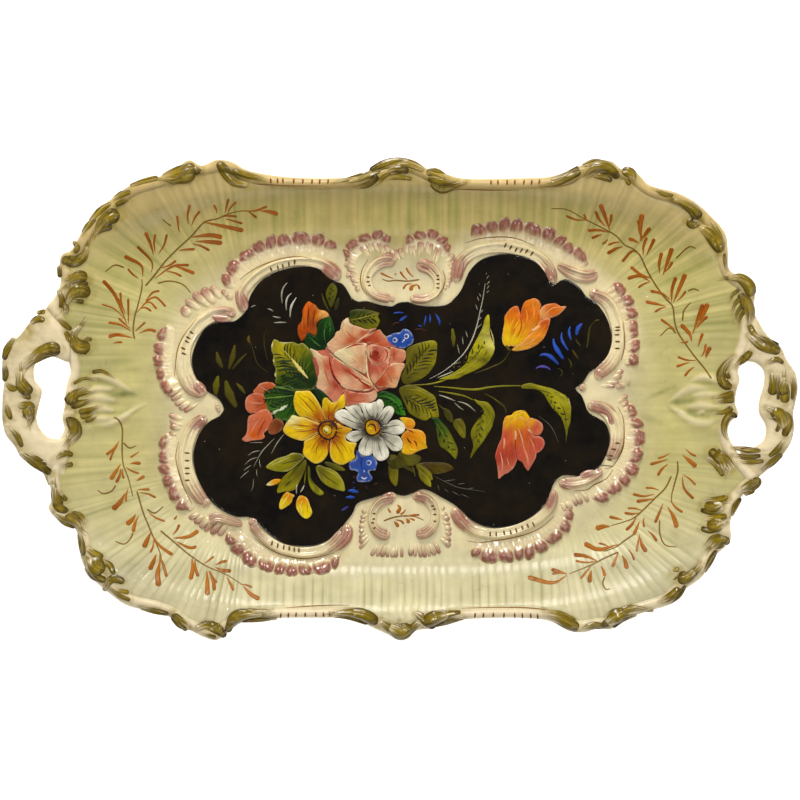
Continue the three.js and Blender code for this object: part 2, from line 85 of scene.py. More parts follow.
RIM_BOTTOM = [
    (-231, -50), (-228.8, -58), (-228.5, -66), (-230.3, -70.5), (-224, -78.5), (-214, -83), (-210, -91),
    (-208.7, -104), (-202, -116), (-191, -126), (-178, -134.8), (-158, -139), (-149.5, -143), (-144, -149),
    (-137, -151), (-129, -155), (-120, -157.2), (-112, -151.5), (-102, -145), (-86, -143), (-52, -142.6),
    (-31, -143), (-18, -149), (-9, -153), (1, -157.3), (11, -151), (20, -149.5), (30, -145), (48, -143.3),
    (78, -142.7), (98, -144.8), (111, -151.3), (121, -152), (130, -149.6), (138, -150), (147, -143.5),
    (162, -138.5), (177, -133.5), (185, -125), (197, -116.5), (206, -102.5), (214, -95), (216.5, -91),
    (216.5, -79), (221, -67.5), (228, -58.5), (235, -55),
]
RIGHT_EDGE = [
    (234, -49.5), (228, -42.5), (222.5, -36), (217.5, -28.5), (214.9, -21), (216.5, -14.8), (221.6, -9.5),
    (219.7, -2), (220.6, 6), (222.6, 13.5), (221.6, 19), (224.5, 26), (228.3, 35), (229.8, 46),
]
# The handle loops: a point of the outer edge, then the one facing it.
LEFT_LOOP = [
    (-226, 66, -221, 57), (-232.6, 59.3, -220, 50), (-238, 55, -217.5, 43), (-243.5, 49.5, -215.5, 33),
    (-248, 43.5, -217, 25), (-253.5, 38, -224, 27.4), (-259.5, 29.5, -232, 28.2),
    (-260.5, 22, -238.6, 23.5), (-258.7, 14.5, -239.2, 13.6), (-260, 6, -234.4, 6.5), (-260.4, -3, -236.2, -3),
    (-260.5, -12, -237.9, -12), (-258.3, -22.5, -235.2, -19.5), (-252.5, -30, -229.5, -24.8),
    (-248.2, -37, -223, -25.6), (-240.5, -41.5, -217.4, -25), (-234.6, -46.5, -217.5, -38),
    (-230, -56, -220, -49),
]
RIGHT_LOOP = [
    (230, 60, 224, 53), (234.5, 52, 226, 46), (238.5, 45, 226, 39), (244, 39, 226, 34),
    (249.5, 34.5, 225.6, 26.2), (253, 26.8, 232.5, 24.2), (258.8, 17.8, 238, 18.6), (260.4, 8, 237.8, 9.2),
    (259, -1, 235.2, 0), (257.4, -9, 235, -8.5), (258, -18, 239.2, -17), (256, -27.5, 238.3, -25.5),
    (251, -35.5, 231.5, -31), (245, -41.8, 222.8, -32.2), (239, -47, 224, -38.5), (233, -52, 225, -45),
]
GROUND_OUTLINE = [
    (115.2, 7.7), (120, 11.5), (124.5, 18), (132, 24), (137, 30), (139.3, 39), (137.5, 50), (133, 59),
    (128, 64.5), (122.6, 68), (118, 74), (108.5, 79.3), (101.5, 75.7), (97, 80), (94.5, 86.5), (88.5, 92),
    (77, 95.2), (66, 95.7), (54, 92.2), (46.5, 85), (40.5, 72), (36, 66.5), (31, 62.6), (12, 62),
    (5, 64.3), (0, 64), (-5, 61.6), (-12, 62), (-23, 65), (-28, 64.6), (-32, 67), (-38, 76), (-43, 78),
    (-50, 84.5), (-57, 87.3), (-67, 87.7), (-84, 83), (-93, 76.5), (-99, 67), (-100.4, 60), (-105, 54.5),
    (-109, 51.8), (-120, 51), (-127.5, 47.5), (-133, 39.5), (-137, 27), (-135.5, 18.5), (-129, 8),
    (-119, 0.6), (-115.8, -6), (-118.5, -10.5), (-126, -15), (-132, -22.5), (-136, -36), (-134.5, -47),
    (-129, -59.5), (-121, -69.7), (-108, -76.5), (-98, -77.2), (-86, -88), (-76, -94.2), (-62, -96),
    (-51, -94), (-42, -86.5), (-32, -75), (-28.5, -68), (-19, -64.5), (-6, -61), (3, -62.7), (15.5, -58.5),
    (28, -64), (38, -70), (49, -79.8), (61, -83.8), (77, -81.6), (90, -74), (97.5, -64.5), (101, -55),
    (106.5, -49.6), (120, -49.4), (130, -44.8), (135.5, -36), (138, -25), (135, -15.5), (124.2, -8.4),
    (121, -1), (119.5, 2.5),
]

# ------------------------------------------------------------------ colours


def rgb(code):
    """A colour written as six hex digits, as linear numbers."""
    parts = np.array([int(code[i:i + 2], 16) / 255 for i in (0, 2, 4)])
    return np.where(parts <= 0.04045, parts / 12.92, ((parts + 0.055) / 1.055) ** 2.4)


CREAM = rgb("e2d68c")
CREAM_HIGH = rgb("d4c07a")
CREAM_LOW = rgb("e8dfb4")
IVORY = rgb("e8dcb4")
PALE = rgb("fbebba")
LIP = rgb("eeddb6")
LIP_HIGH = rgb("cdb274")
MOSS = rgb("a3a552")
WALL_BROWN = rgb("a6905e")
OLIVE = rgb("97800a")
# Dark olive: the strokes' own dark broad tips, and painted shade on their sides.
OLIVE_DARK_AND_SHADE = rgb("4a3802")
# Golden olive for the painted highlight on the crests of the olive strokes.
OLIVE_PAINTED_HIGHLIGHT = rgb("c4a828")
MAUVE = rgb("a2604e")
# Darker mauve: the fringe lobes' own darker tips, and painted shade where they fall to the wall.
MAUVE_DARK_AND_SHADE = rgb("74402f")
# Pale mauve: the glaze's own paler streaks, and a painted highlight on the crowns of lobes, pads and ridges.
MAUVE_PALE_AND_HIGHLIGHT = rgb("caa78c")
OCHRE = rgb("96702a")
TICK = rgb("745420")
RUSSET = rgb("bb6410")
RUSSET_DARK = rgb("8c4206")
STEM = rgb("8c6a26")
GOLD = rgb("bd7c1c")
BLACK = rgb("120e09")

# ------------------------------------------------------------------ small numeric helpers


def clip01(x):
    return np.clip(x, 0.0, 1.0)


def fade(x, start, end):
    """0 before start, 1 after end, smooth between them."""
    t = clip01((np.asarray(x, float) - start) / (end - start))
    return t * t * (3 - 2 * t)


def mix(a, b, t):
    return a + (b - a) * np.asarray(t)[..., None]


def waver(x, seed=0.0):
    """A smooth, repeatable wobble between about -1 and 1, with a wavelength of about 6."""
    wave = np.sin(x + 7.1 * seed) + 0.6 * np.sin(2.17 * x + 3.3 * seed + 1) + 0.4 * np.sin(4.31 * x + 5.7 * seed + 2)
    return wave / 2


def smooth_path(points, spacing, closed=False):
    """Evenly spaced points on a centripetal Catmull-Rom curve. Columns after x and y are carried along."""
    p = np.asarray(points, float)
    ends = (p[-1:], p[:2]) if closed else (2 * p[:1] - p[1:2], 2 * p[-1:] - p[-2:-1])
    p = np.vstack([ends[0], p, ends[1]])
    gaps = np.sqrt(np.linalg.norm(np.diff(p[:, :2], axis=0), axis=1)) + 1e-6
    knots = np.concatenate([[0], np.cumsum(gaps)])
    dense = []
    for i in range(1, len(p) - 2):
        t = np.linspace(knots[i], knots[i + 1], 14, endpoint=False)[:, None]
        k = knots[i - 1:i + 3]
        a = [((k[j + 1] - t) * p[i - 1 + j] + (t - k[j]) * p[i + j]) / (k[j + 1] - k[j]) for j in range(3)]
        b = [((k[j + 2] - t) * a[j] + (t - k[j]) * a[j + 1]) / (k[j + 2] - k[j]) for j in range(2)]
        dense.append(((k[2] - t) * b[0] + (t - k[1]) * b[1]) / (k[2] - k[1]))
    dense = np.vstack([*dense, p[-2:-1]])
    run = np.concatenate([[0], np.cumsum(np.linalg.norm(np.diff(dense[:, :2], axis=0), axis=1))])
    at = np.linspace(0, run[-1], max(2, math.ceil(run[-1] / spacing)) + 1)
    path = np.column_stack([np.interp(at, run, column) for column in dense.T])
    return path[:-1] if closed else path


def normals_of(path, closed=False):
    """Unit normals to the left of a path's direction."""
    if closed:
        step = np.roll(path, -1, axis=0)[:, :2] - np.roll(path, 1, axis=0)[:, :2]
    else:
        step = np.gradient(path[:, :2], axis=0)
    step /= np.linalg.norm(step, axis=1, keepdims=True) + 1e-9
    return np.column_stack([-step[:, 1], step[:, 0]])


def ring_smoothed(ring, width):
    """A closed ring of points with bends shorter than about width ironed out."""
    step = np.linalg.norm(ring[1] - ring[0])
    rate = np.fft.fftfreq(len(ring), step)[:, None]
    return np.fft.ifft(np.fft.fft(ring, axis=0) * np.exp(-2 * (math.pi * width * rate) ** 2), axis=0).real


def oblong_share(x, y):
    power = np.abs(x / BODY_LENGTH_HALF) ** OBLONG_POWER + np.abs(y / BODY_WIDTH_HALF) ** OBLONG_POWER
    return power ** (1 / OBLONG_POWER)


def shell_top(x, y):
    """Height of the plain shell: a flat floor, then one sweep up to the rim."""
    rise = clip01((oblong_share(x, y) - WALL_START) / (WALL_END - WALL_START))
    return FLOOR_TOP + (RIM_HEIGHT - FLOOR_TOP) * (rise * rise * (3 - 2 * rise)) ** WALL_LEAN


# ------------------------------------------------------------------ bodies and pieces


class Shapes:
    """Closed bodies that become one piece, each vertex with a colour and a brush direction."""

    def __init__(self):
        self.vertices, self.faces, self.tints, self.brushes = [], [], [], []
        self.count = 0

    def add(self, vertices, faces, tints, brushes):
        self.vertices.append(np.asarray(vertices, float))
        self.faces.extend([tuple(int(i) + self.count for i in face) for face in faces])
        self.tints.append(np.broadcast_to(tints, (len(vertices), 3)))
        self.brushes.append(np.broadcast_to(brushes, (len(vertices), 3)))
        self.count += len(vertices)

    def add_rings(self, rings, tints, brushes, fan=False):
        """Closed rings of points, (rings, points, 3): neighbours are joined, the end rings closed off."""
        n, m, _ = rings.shape
        i = np.arange(n - 1)[:, None] * m
        j = np.arange(m)[None, :]
        k = (j + 1) % m
        faces = np.stack([i + j, i + k, i + k + m, i + j + m], axis=-1).reshape(-1, 4).tolist()
        vertices = rings.reshape(-1, 3)
        tints = np.broadcast_to(tints, rings.shape).reshape(-1, 3)
        brushes = np.broadcast_to(brushes, rings.shape).reshape(-1, 3)
        last = (n - 1) * m
        if fan:
            vertices = np.vstack([vertices, rings[0].mean(axis=0), rings[-1].mean(axis=0)])
            tints = np.vstack([tints, tints[0], tints[last]])
            brushes = np.vstack([brushes, brushes[0], brushes[last]])
            faces += [(b, a, n * m) for a, b in zip(range(m), np.roll(range(m), -1))]
            faces += [(last + a, last + b, n * m + 1) for a, b in zip(range(m), np.roll(range(m), -1))]
        else:
            faces += [tuple(reversed(range(m))), tuple(range(last, last + m))]
        self.add(vertices, faces, tints, brushes)

    def mesh(self, name):
        mesh = bpy.data.meshes.new(name)
        vertices = np.vstack(self.vertices)
        mesh.from_pydata((vertices * MM).tolist(), [], self.faces)
        tint = mesh.attributes.new("tint", "FLOAT_COLOR", "POINT")
        colours = np.column_stack([np.vstack(self.tints), np.ones(len(vertices))])
        tint.data.foreach_set("color", colours.astype(np.float32).ravel())
        brush = mesh.attributes.new("brush", "FLOAT_VECTOR", "POINT")
        brush.data.foreach_set("vector", np.vstack(self.brushes).astype(np.float32).ravel())
        work = bmesh.new()
        work.from_mesh(mesh)
        bmesh.ops.recalc_face_normals(work, faces=work.faces)
        work.to_mesh(mesh)
        work.free()
        mesh.polygons.foreach_set("use_smooth", [True] * len(mesh.polygons))
        return mesh

    def tree(self):
        return BVHTree.FromPolygons(np.vstack(self.vertices).tolist(), self.faces)


def make_piece(name, shapes, material, stands_for=()):
    piece = bpy.data.objects.new(name, shapes.mesh(name))
    bpy.context.scene.collection.objects.link(piece)
    piece.data.materials.append(material)
    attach(piece, "root")
    if stands_for:
        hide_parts(*stands_for)
    return piece


class Surface:
    """What a painted or raised piece is laid on: the bodies made so far, seen from above."""

    def __init__(self, *shape_lists):
        self.trees = [shapes.tree() for shapes in shape_lists]

    def covers(self, x, y):
        """Whether something lies below the point."""
        return any(tree.ray_cast(Vector((x, y, 100)), Vector((0, 0, -1)))[0] for tree in self.trees)

    def heights(self, x, y):
        flat = np.column_stack([np.ravel(x), np.ravel(y)])
        found = np.empty(len(flat))
        down = Vector((0, 0, -1))
        for i, (px, py) in enumerate(flat):
            start = Vector((px, py, 100))
            hits = [tree.ray_cast(start, down)[0] for tree in self.trees]
            hits = [hit.z for hit in hits if hit is not None]
            if not hits:
                near = [tree.find_nearest(Vector((px, py, RIM_HEIGHT)))[0] for tree in self.trees]
                hits = [min(near, key=lambda p: (p.x - px) ** 2 + (p.y - py) ** 2).z]
            found[i] = max(hits)
        return found.reshape(np.shape(x))


# ------------------------------------------------------------------ materials


def new_material(name):
    material = bpy.data.materials.new(name)
    material.use_nodes = True
    nodes, links = material.node_tree.nodes, material.node_tree.links
    return material, nodes, links, nodes["Principled BSDF"]


def node(nodes, kind, inputs=(), **settings):
    made = nodes.new(kind)
    for key, value in settings.items():
        setattr(made, key, value)
    for key, value in dict(inputs).items():
        made.inputs[key].default_value = value
    return made


def ramp(nodes, stops):
    made = nodes.new("ShaderNodeValToRGB")
    elements = made.color_ramp.elements
    while len(elements) < len(stops):
        elements.new(0.5)
    for element, (place, value) in zip(elements, stops):
        element.position = place
        element.color = (value, value, value, 1)
    return made


def multiply_colour(nodes, links, colour, shade):
    """colour times a grey shade."""
    mixed = node(nodes, "ShaderNodeMix", data_type="RGBA", blend_type="MULTIPLY")
    mixed.inputs["Factor"].default_value = 1.0
    links.new(colour, mixed.inputs["A"])
    links.new(shade, mixed.inputs["B"])
    return mixed.outputs["Result"]


def glaze_material(name, roughness, mottle, streak, bump, streak_scale=(0.16, 0.02, 1.0), gloss=0.38, coat=0.2):
    """Glossy glaze over the tint, mottled all over and streaked along the brush direction."""
    material, nodes, links, shader = new_material(name)
    tint = node(nodes, "ShaderNodeAttribute", attribute_name="tint")
    place = node(nodes, "ShaderNodeTexCoord")
    cloud = node(nodes, "ShaderNodeTexNoise", {"Scale": 70.0, "Detail": 5.0, "Roughness": 0.6})
    links.new(place.outputs["Object"], cloud.inputs["Vector"])
    cloud_shade = ramp(nodes, [(0.3, 1 - mottle), (0.7, 1 + mottle * 0.5)])
    links.new(cloud.outputs["Fac"], cloud_shade.inputs["Fac"])
    brush = node(nodes, "ShaderNodeAttribute", attribute_name="brush")
    stretch = node(nodes, "ShaderNodeMapping", {"Scale": streak_scale})
    links.new(brush.outputs["Vector"], stretch.inputs["Vector"])
    hairs = node(nodes, "ShaderNodeTexNoise", {"Scale": 1.0, "Detail": 3.0, "Roughness": 0.55})
    links.new(stretch.outputs["Vector"], hairs.inputs["Vector"])
    hair_shade = ramp(nodes, [(0.32, 1 - streak), (0.66, 1 + streak * 0.4)])
    links.new(hairs.outputs["Fac"], hair_shade.inputs["Fac"])
    colour = multiply_colour(nodes, links, tint.outputs["Color"], cloud_shade.outputs["Color"])
    colour = multiply_colour(nodes, links, colour, hair_shade.outputs["Color"])
    links.new(colour, shader.inputs["Base Color"])
    pits = node(nodes, "ShaderNodeTexNoise", {"Scale": 420.0, "Detail": 2.0})
    links.new(place.outputs["Object"], pits.inputs["Vector"])
    ripple = node(nodes, "ShaderNodeBump", {"Strength": bump, "Distance": 0.0004})
    links.new(pits.outputs["Fac"], ripple.inputs["Height"])
    links.new(ripple.outputs["Normal"], shader.inputs["Normal"])
    links.new(ripple.outputs["Normal"], shader.inputs["Coat Normal"])
    dull = ramp(nodes, [(0.35, roughness * 0.8), (0.75, roughness * 1.35)])
    links.new(cloud.outputs["Fac"], dull.inputs["Fac"])
    links.new(dull.outputs["Color"], shader.inputs["Roughness"])
    shader.inputs["Specular IOR Level"].default_value = gloss
    shader.inputs["Coat Weight"].default_value = coat
    shader.inputs["Coat Roughness"].default_value = 0.05
    return material


ALONG_STROKE = (0.2, 1.5, 1.0)
GLAZE = glaze_material("cream_glaze", 0.34, mottle=0.12, streak=0.1, bump=0.2, coat=0.1)
RELIEF_GLAZE = glaze_material("relief_glaze", 0.13, 0.1, 0.16, 0.36, streak_scale=ALONG_STROKE, gloss=0.5, coat=0.8)
OLIVE_GLAZE = glaze_material("olive_glaze", 0.16, 0.26, 0.34, 0.18, streak_scale=ALONG_STROKE, gloss=0.36, coat=0.35)
PAINT = glaze_material("painted_enamel", 0.32, 0.16, 0.22, bump=0.1, streak_scale=ALONG_STROKE, gloss=0.18, coat=0.0)


def black_material():
    """Near-black glossy ground: cloudy brown-black, lumpy under the gloss and dusted with pale specks."""
    material, nodes, links, shader = new_material("black_glaze")
    place = node(nodes, "ShaderNodeTexCoord")
    cloud = node(nodes, "ShaderNodeTexNoise", {"Scale": 45.0, "Detail": 6.0, "Roughness": 0.65})
    links.new(place.outputs["Object"], cloud.inputs["Vector"])
    tone = nodes.new("ShaderNodeValToRGB")
    tone.color_ramp.elements[0].position = 0.35
    tone.color_ramp.elements[0].color = (*rgb("050302"), 1)
    tone.color_ramp.elements[1].position = 0.75
    tone.color_ramp.elements[1].color = (*rgb("231908"), 1)
    links.new(cloud.outputs["Fac"], tone.inputs["Fac"])
    specks = node(nodes, "ShaderNodeTexVoronoi", {"Scale": 210.0, "Randomness": 1.0})
    links.new(place.outputs["Object"], specks.inputs["Vector"])
    near = ramp(nodes, [(0.05, 1.0), (0.1, 0.0)])
    links.new(specks.outputs["Distance"], near.inputs["Fac"])
    chosen = node(nodes, "ShaderNodeMath", operation="GREATER_THAN")
    chosen.inputs[1].default_value = 0.93
    picked = node(nodes, "ShaderNodeSeparateColor")
    links.new(specks.outputs["Color"], picked.inputs["Color"])
    links.new(picked.outputs["Red"], chosen.inputs[0])
    speck = node(nodes, "ShaderNodeMath", operation="MULTIPLY")
    links.new(near.outputs["Color"], speck.inputs[0])
    links.new(chosen.outputs["Value"], speck.inputs[1])
    mixed = node(nodes, "ShaderNodeMix", data_type="RGBA")
    mixed.inputs["B"].default_value = (*rgb("77746a"), 1)
    links.new(speck.outputs["Value"], mixed.inputs["Factor"])
    links.new(tone.outputs["Color"], mixed.inputs["A"])
    links.new(mixed.outputs["Result"], shader.inputs["Base Color"])
    lumps = node(nodes, "ShaderNodeTexNoise", {"Scale": 130.0, "Detail": 3.0})
    links.new(place.outputs["Object"], lumps.inputs["Vector"])
    ripple = node(nodes, "ShaderNodeBump", {"Strength": 0.6, "Distance": 0.0006})
    links.new(lumps.outputs["Fac"], ripple.inputs["Height"])
    links.new(ripple.outputs["Normal"], shader.inputs["Normal"])
    shader.inputs["Roughness"].default_value = 0.11
    shader.inputs["Specular IOR Level"].default_value = 0.4
    return material


BLACK_GLAZE = black_material()

# ------------------------------------------------------------------ raised relief

# Each stroke is a list of stations (x, y, half width). The C-scrolls run with the black ground on
# their right, so that their left side is the outer one.
FRAME_SCROLLS = {
    "frame_scroll_top_left": [(-103.5, 59.5, 3), (-103.8, 70, 3.4), (-96, 80.5, 3.3), (-82, 88.8, 3.2),
                              (-66, 91.7, 3.2), (-52.5, 89.8, 4), (-41, 82.5, 4.2)],
    "frame_scroll_left_upper": [(-109.5, 57.2, 3.6), (-121, 57, 4.6), (-133, 49.5, 4.6), (-141.5, 36, 4.5),
                                (-142.8, 22, 5.2), (-137.8, 9.5, 5.4), (-129.5, 2.8, 3.2)],
    "frame_scroll_left_lower": [(-127.5, -11, 3), (-135.5, -17.5, 4.4), (-141, -31, 4.6), (-141, -45, 4.8),
                                (-136.6, -57, 5), (-129, -68.3, 4)],
    "frame_curl_bottom_left": [(-126.5, -81, 4), (-121.5, -78, 3.6), (-112.5, -79.7, 3), (-104, -82.3, 2.5)],
    "frame_scroll_bottom_left": [(-98.3, -81.8, 2.8), (-89.5, -91, 3.3), (-76, -98.7, 3.6),
                                 (-60, -100.6, 3.7), (-46, -96, 3.8), (-37.6, -87, 3.6)],
    "frame_scroll_top_right": [(38.5, 83, 3.4), (41.5, 92, 4), (50, 98.3, 4), (64, 101, 4), (78, 99.4, 4),
                               (90.5, 94.6, 4), (98, 86.5, 4), (102, 80, 2.5)],
    "frame_curl_top_right": [(104, 89, 2.3), (113, 84.3, 4.2), (123.5, 81.5, 4.4), (130.5, 83.5, 4)],
    "frame_scroll_right_upper": [(126, 70.5, 3), (136.5, 65, 4.2), (143, 52, 4.6), (144, 38, 4.4),
                                 (139, 25, 4.8), (129.5, 16.5, 4.4)],
    "frame_scroll_right_lower": [(125.3, -3.2, 3.6), (135.5, -7, 4.4), (142.2, -17, 4.6),
                                 (142.6, -29, 4.4), (138.5, -39, 3.8)],
    "frame_curl_right_lower": [(133.3, -46.2, 3), (124.5, -52, 3.4), (113, -54.6, 3.8), (106.3, -53.6, 3)],
    "frame_scroll_bottom_right": [(102.2, -60.4, 2.7), (99.5, -70, 3.4), (89.5, -79.5, 3.6),
                                  (76, -86, 3.8), (61, -88.3, 3.8), (48.5, -85.3, 3.8), (39, -76.3, 3.4)],
    "cartouche_top_left_scroll": [(-3, 92, 4), (-13, 91, 4), (-20.3, 84, 3.2), (-21.5, 76, 3),
                                  (-16, 69.3, 3), (-6, 66.6, 3.4)],
    "cartouche_top_right_scroll": [(11, 90, 4.4), (20, 86.5, 4), (25.3, 79, 3.2), (24.5, 71.5, 3),
                                   (17, 66.8, 3), (7.5, 67, 3)],
    "cartouche_bottom_left_scroll": [(-4, -65, 3.4), (-12.5, -67, 3.4), (-18, -74, 3), (-18, -82, 3),
                                     (-13, -88, 3.8), (-6.5, -89.5, 4)],
    "cartouche_bottom_right_scroll": [(9, -63.7, 3.2), (17.5, -65.5, 3.4), (22.5, -72, 3.2), (23, -80, 3),
                                      (18, -87, 3.6), (10.5, -89, 3.6)],
}

FRINGES = {
    "fringe_top_left": [(-115.5, 75, 4), (-107, 89, 4.2), (-94, 98.6, 4.2), (-76, 103.6, 4.6),
                        (-58, 104, 4.6), (-42, 100, 3.6)],
    "fringe_cartouche_top_left": [(-35.5, 92.5, 2.6), (-31.5, 100.5, 3.4), (-23, 105.5, 3.4),
                                  (-13.5, 107, 3.4), (-6.5, 103.5, 3)],
    "fringe_cartouche_top_right": [(3.5, 103, 2.8), (12, 107, 3.4), (21.5, 107.5, 3.4), (28.5, 102.5, 3.2),
                                   (32.5, 97, 3)],
    "fringe_top_right": [(46.5, 108.6, 4.2), (60, 112, 5), (75, 113, 5), (90, 109.5, 4.8),
                         (104, 103.4, 4.4), (116, 95.6, 4.2), (123.5, 91.2, 3)],
    "fringe_right_upper": [(140.5, 76.5, 3.2), (148, 66.5, 4), (152.2, 52, 3.8), (153.8, 37, 3.8),
                           (151.7, 23, 3.4)],
    "fringe_right_lower": [(150.3, -3, 3), (154, -14, 4), (156, -27, 4.2), (153.3, -40, 4.6),
                           (146.5, -52, 4.6), (136.5, -60.5, 4.4), (127.5, -65.5, 3)],
    "fringe_bottom_right": [(112, -71.5, 3.2), (107, -83.5, 4), (96, -93, 4.4), (80, -99.3, 4.6),
                            (62, -101.3, 4.8), (47, -98.6, 3.8)],
    "fringe_bottom_left": [(-39.5, -103.5, 3), (-49, -108.3, 4.2), (-63, -110.5, 4.2), (-79, -109.6, 4.2),
                           (-93, -106, 4.2), (-104.5, -98, 4.2), (-114.5, -88, 3.4)],
    "fringe_left_lower": [(-154.5, -22.5, 3.2), (-155.5, -34, 3.6), (-153, -48, 3.8), (-148.5, -60, 4.2),
                          (-139.5, -73, 4)],
    "fringe_left_upper": [(-154.5, 49, 3), (-157, 38, 3.6), (-158, 25, 3.6), (-155.8, 13, 3.6),
                          (-149.5, 4.5, 3.2)],
}

RIM_SCROLLS = {
    "rim_scroll_top_left_corner": [(-156, 144.5, 0.9), (-147, 144.4, 2.6), (-139, 147.4, 4.2), (-137.4, 153, 3.4)],
    "rim_leaf_top_left": [(-199.2, 108.6, 0.8), (-195, 115.6, 2.8), (-188.6, 120, 4), (-183.4, 121.6, 4.2)],
    "rim_hook_top_left": [(-204.4, 101, 0.9), (-207.6, 93.6, 2.6), (-213, 90.6, 3.2), (-219, 91.8, 3.2)],
    "rim_bud_left_upper": [(-218, 74.6, 0.8), (-214, 79, 2.4), (-209.5, 80.6, 3.4), (-204.6, 79.6, 3.4)],
    "rim_bud_left_lower": [(-218.4, 62, 0.8), (-215, 68.6, 2.6), (-209.3, 71.6, 3.8), (-203, 69.4, 3.6)],
    "rim_curl_left": [(-209, 49, 0.8), (-214, 41.6, 2.2), (-210, 35, 3.8), (-203.4, 36, 3.8)],
    "handle_left_upper_scroll": [(-242.4, 23, 0.8), (-237, 29.8, 2.2), (-229, 34, 3.2), (-222, 32.8, 3.2)],
    "handle_left_lower_scroll": [(-247.6, 19, 1.2), (-247.6, 10, 3), (-241.4, 4.4, 3.6)],
    "handle_left_bud": [(-246.5, -5.6, 2.4), (-242.8, -8.5, 3.8), (-242.3, -13.5, 1.8)],
    "rim_curl_left_lower": [(-216.3, -12.5, 3), (-213.7, -19, 2.6), (-217, -26, 1.8)],
    "rim_scroll_left_low": [(-225.7, -57, 1.4), (-224.6, -65, 2.8), (-222.6, -70, 3.6)],
    "rim_leaf_left_low": [(-219.5, -76.8, 2.6), (-214.3, -78.4, 3.2), (-209, -84, 1.6)],
    "rim_shell_bottom_left": [(-204, -104, 3), (-198.5, -108.5, 6), (-192.5, -110.5, 3.6)],
    "rim_scroll_bottom_left": [(-112.5, -148.5, 2), (-107, -142, 3.6), (-99, -140, 2.8), (-90, -140.6, 1.2)],
    "rim_scroll_bottom_centre_left": [(-43, -139.6, 1.2), (-32, -139.2, 2.6), (-21.5, -141.6, 3.4),
                                      (-14.5, -146, 2.6)],
    "rim_shell_bottom": [(-7.5, -148, 3), (0.8, -151.5, 4.6), (8.2, -148, 3)],
    "rim_scroll_bottom_centre_right": [(15, -145.8, 2.8), (22, -142.8, 4), (32, -140.2, 1.8)],
    "rim_scroll_bottom_right_corner": [(134.5, -146.3, 3), (140.5, -141.8, 4.2), (149, -138.8, 3)],
    "rim_curl_bottom_right": [(181.5, -115.2, 4.6), (187.5, -116.2, 3.2), (193, -111, 1.8)],
    "rim_scroll_right_low": [(203, -96.4, 1.6), (207, -92, 2.8), (212, -90.6, 3.4)],
    "rim_bud_right_lower": [(200.8, -81.8, 3.2), (206.5, -81.8, 3.8), (211.5, -79.6, 2.4)],
    "rim_bud_right_upper": [(199.8, -68.3, 2.8), (205, -70, 3.2), (211, -67.6, 1.8)],
    "rim_curl_right_lower": [(205.8, -34.6, 4.2), (210.8, -39.5, 3), (212.8, -46, 1.6)],
    "handle_right_outer_bud": [(251, 13.5, 2), (250.8, 2.5, 3.4)],
    "handle_right_lower_scroll": [(242, -7.5, 2.6), (248.6, -10.5, 3.8), (251, -19, 1.8)],
    "rim_shell_top_right": [(214.4, 79.6, 0.9), (222.4, 79.6, 2.8), (228.2, 74.4, 3.6), (229.4, 67.4, 2.8)],
    "rim_leaf_top_right": [(178.4, 130.8, 0.9), (185.4, 128.2, 2), (192.2, 123.6, 3), (195.4, 118, 3.6)],
    "rim_shell_right_upper": [(195.6, 113.6, 1.6), (202, 109.6, 3.4), (206.8, 103.6, 4), (210, 96.4, 2.4)],
}

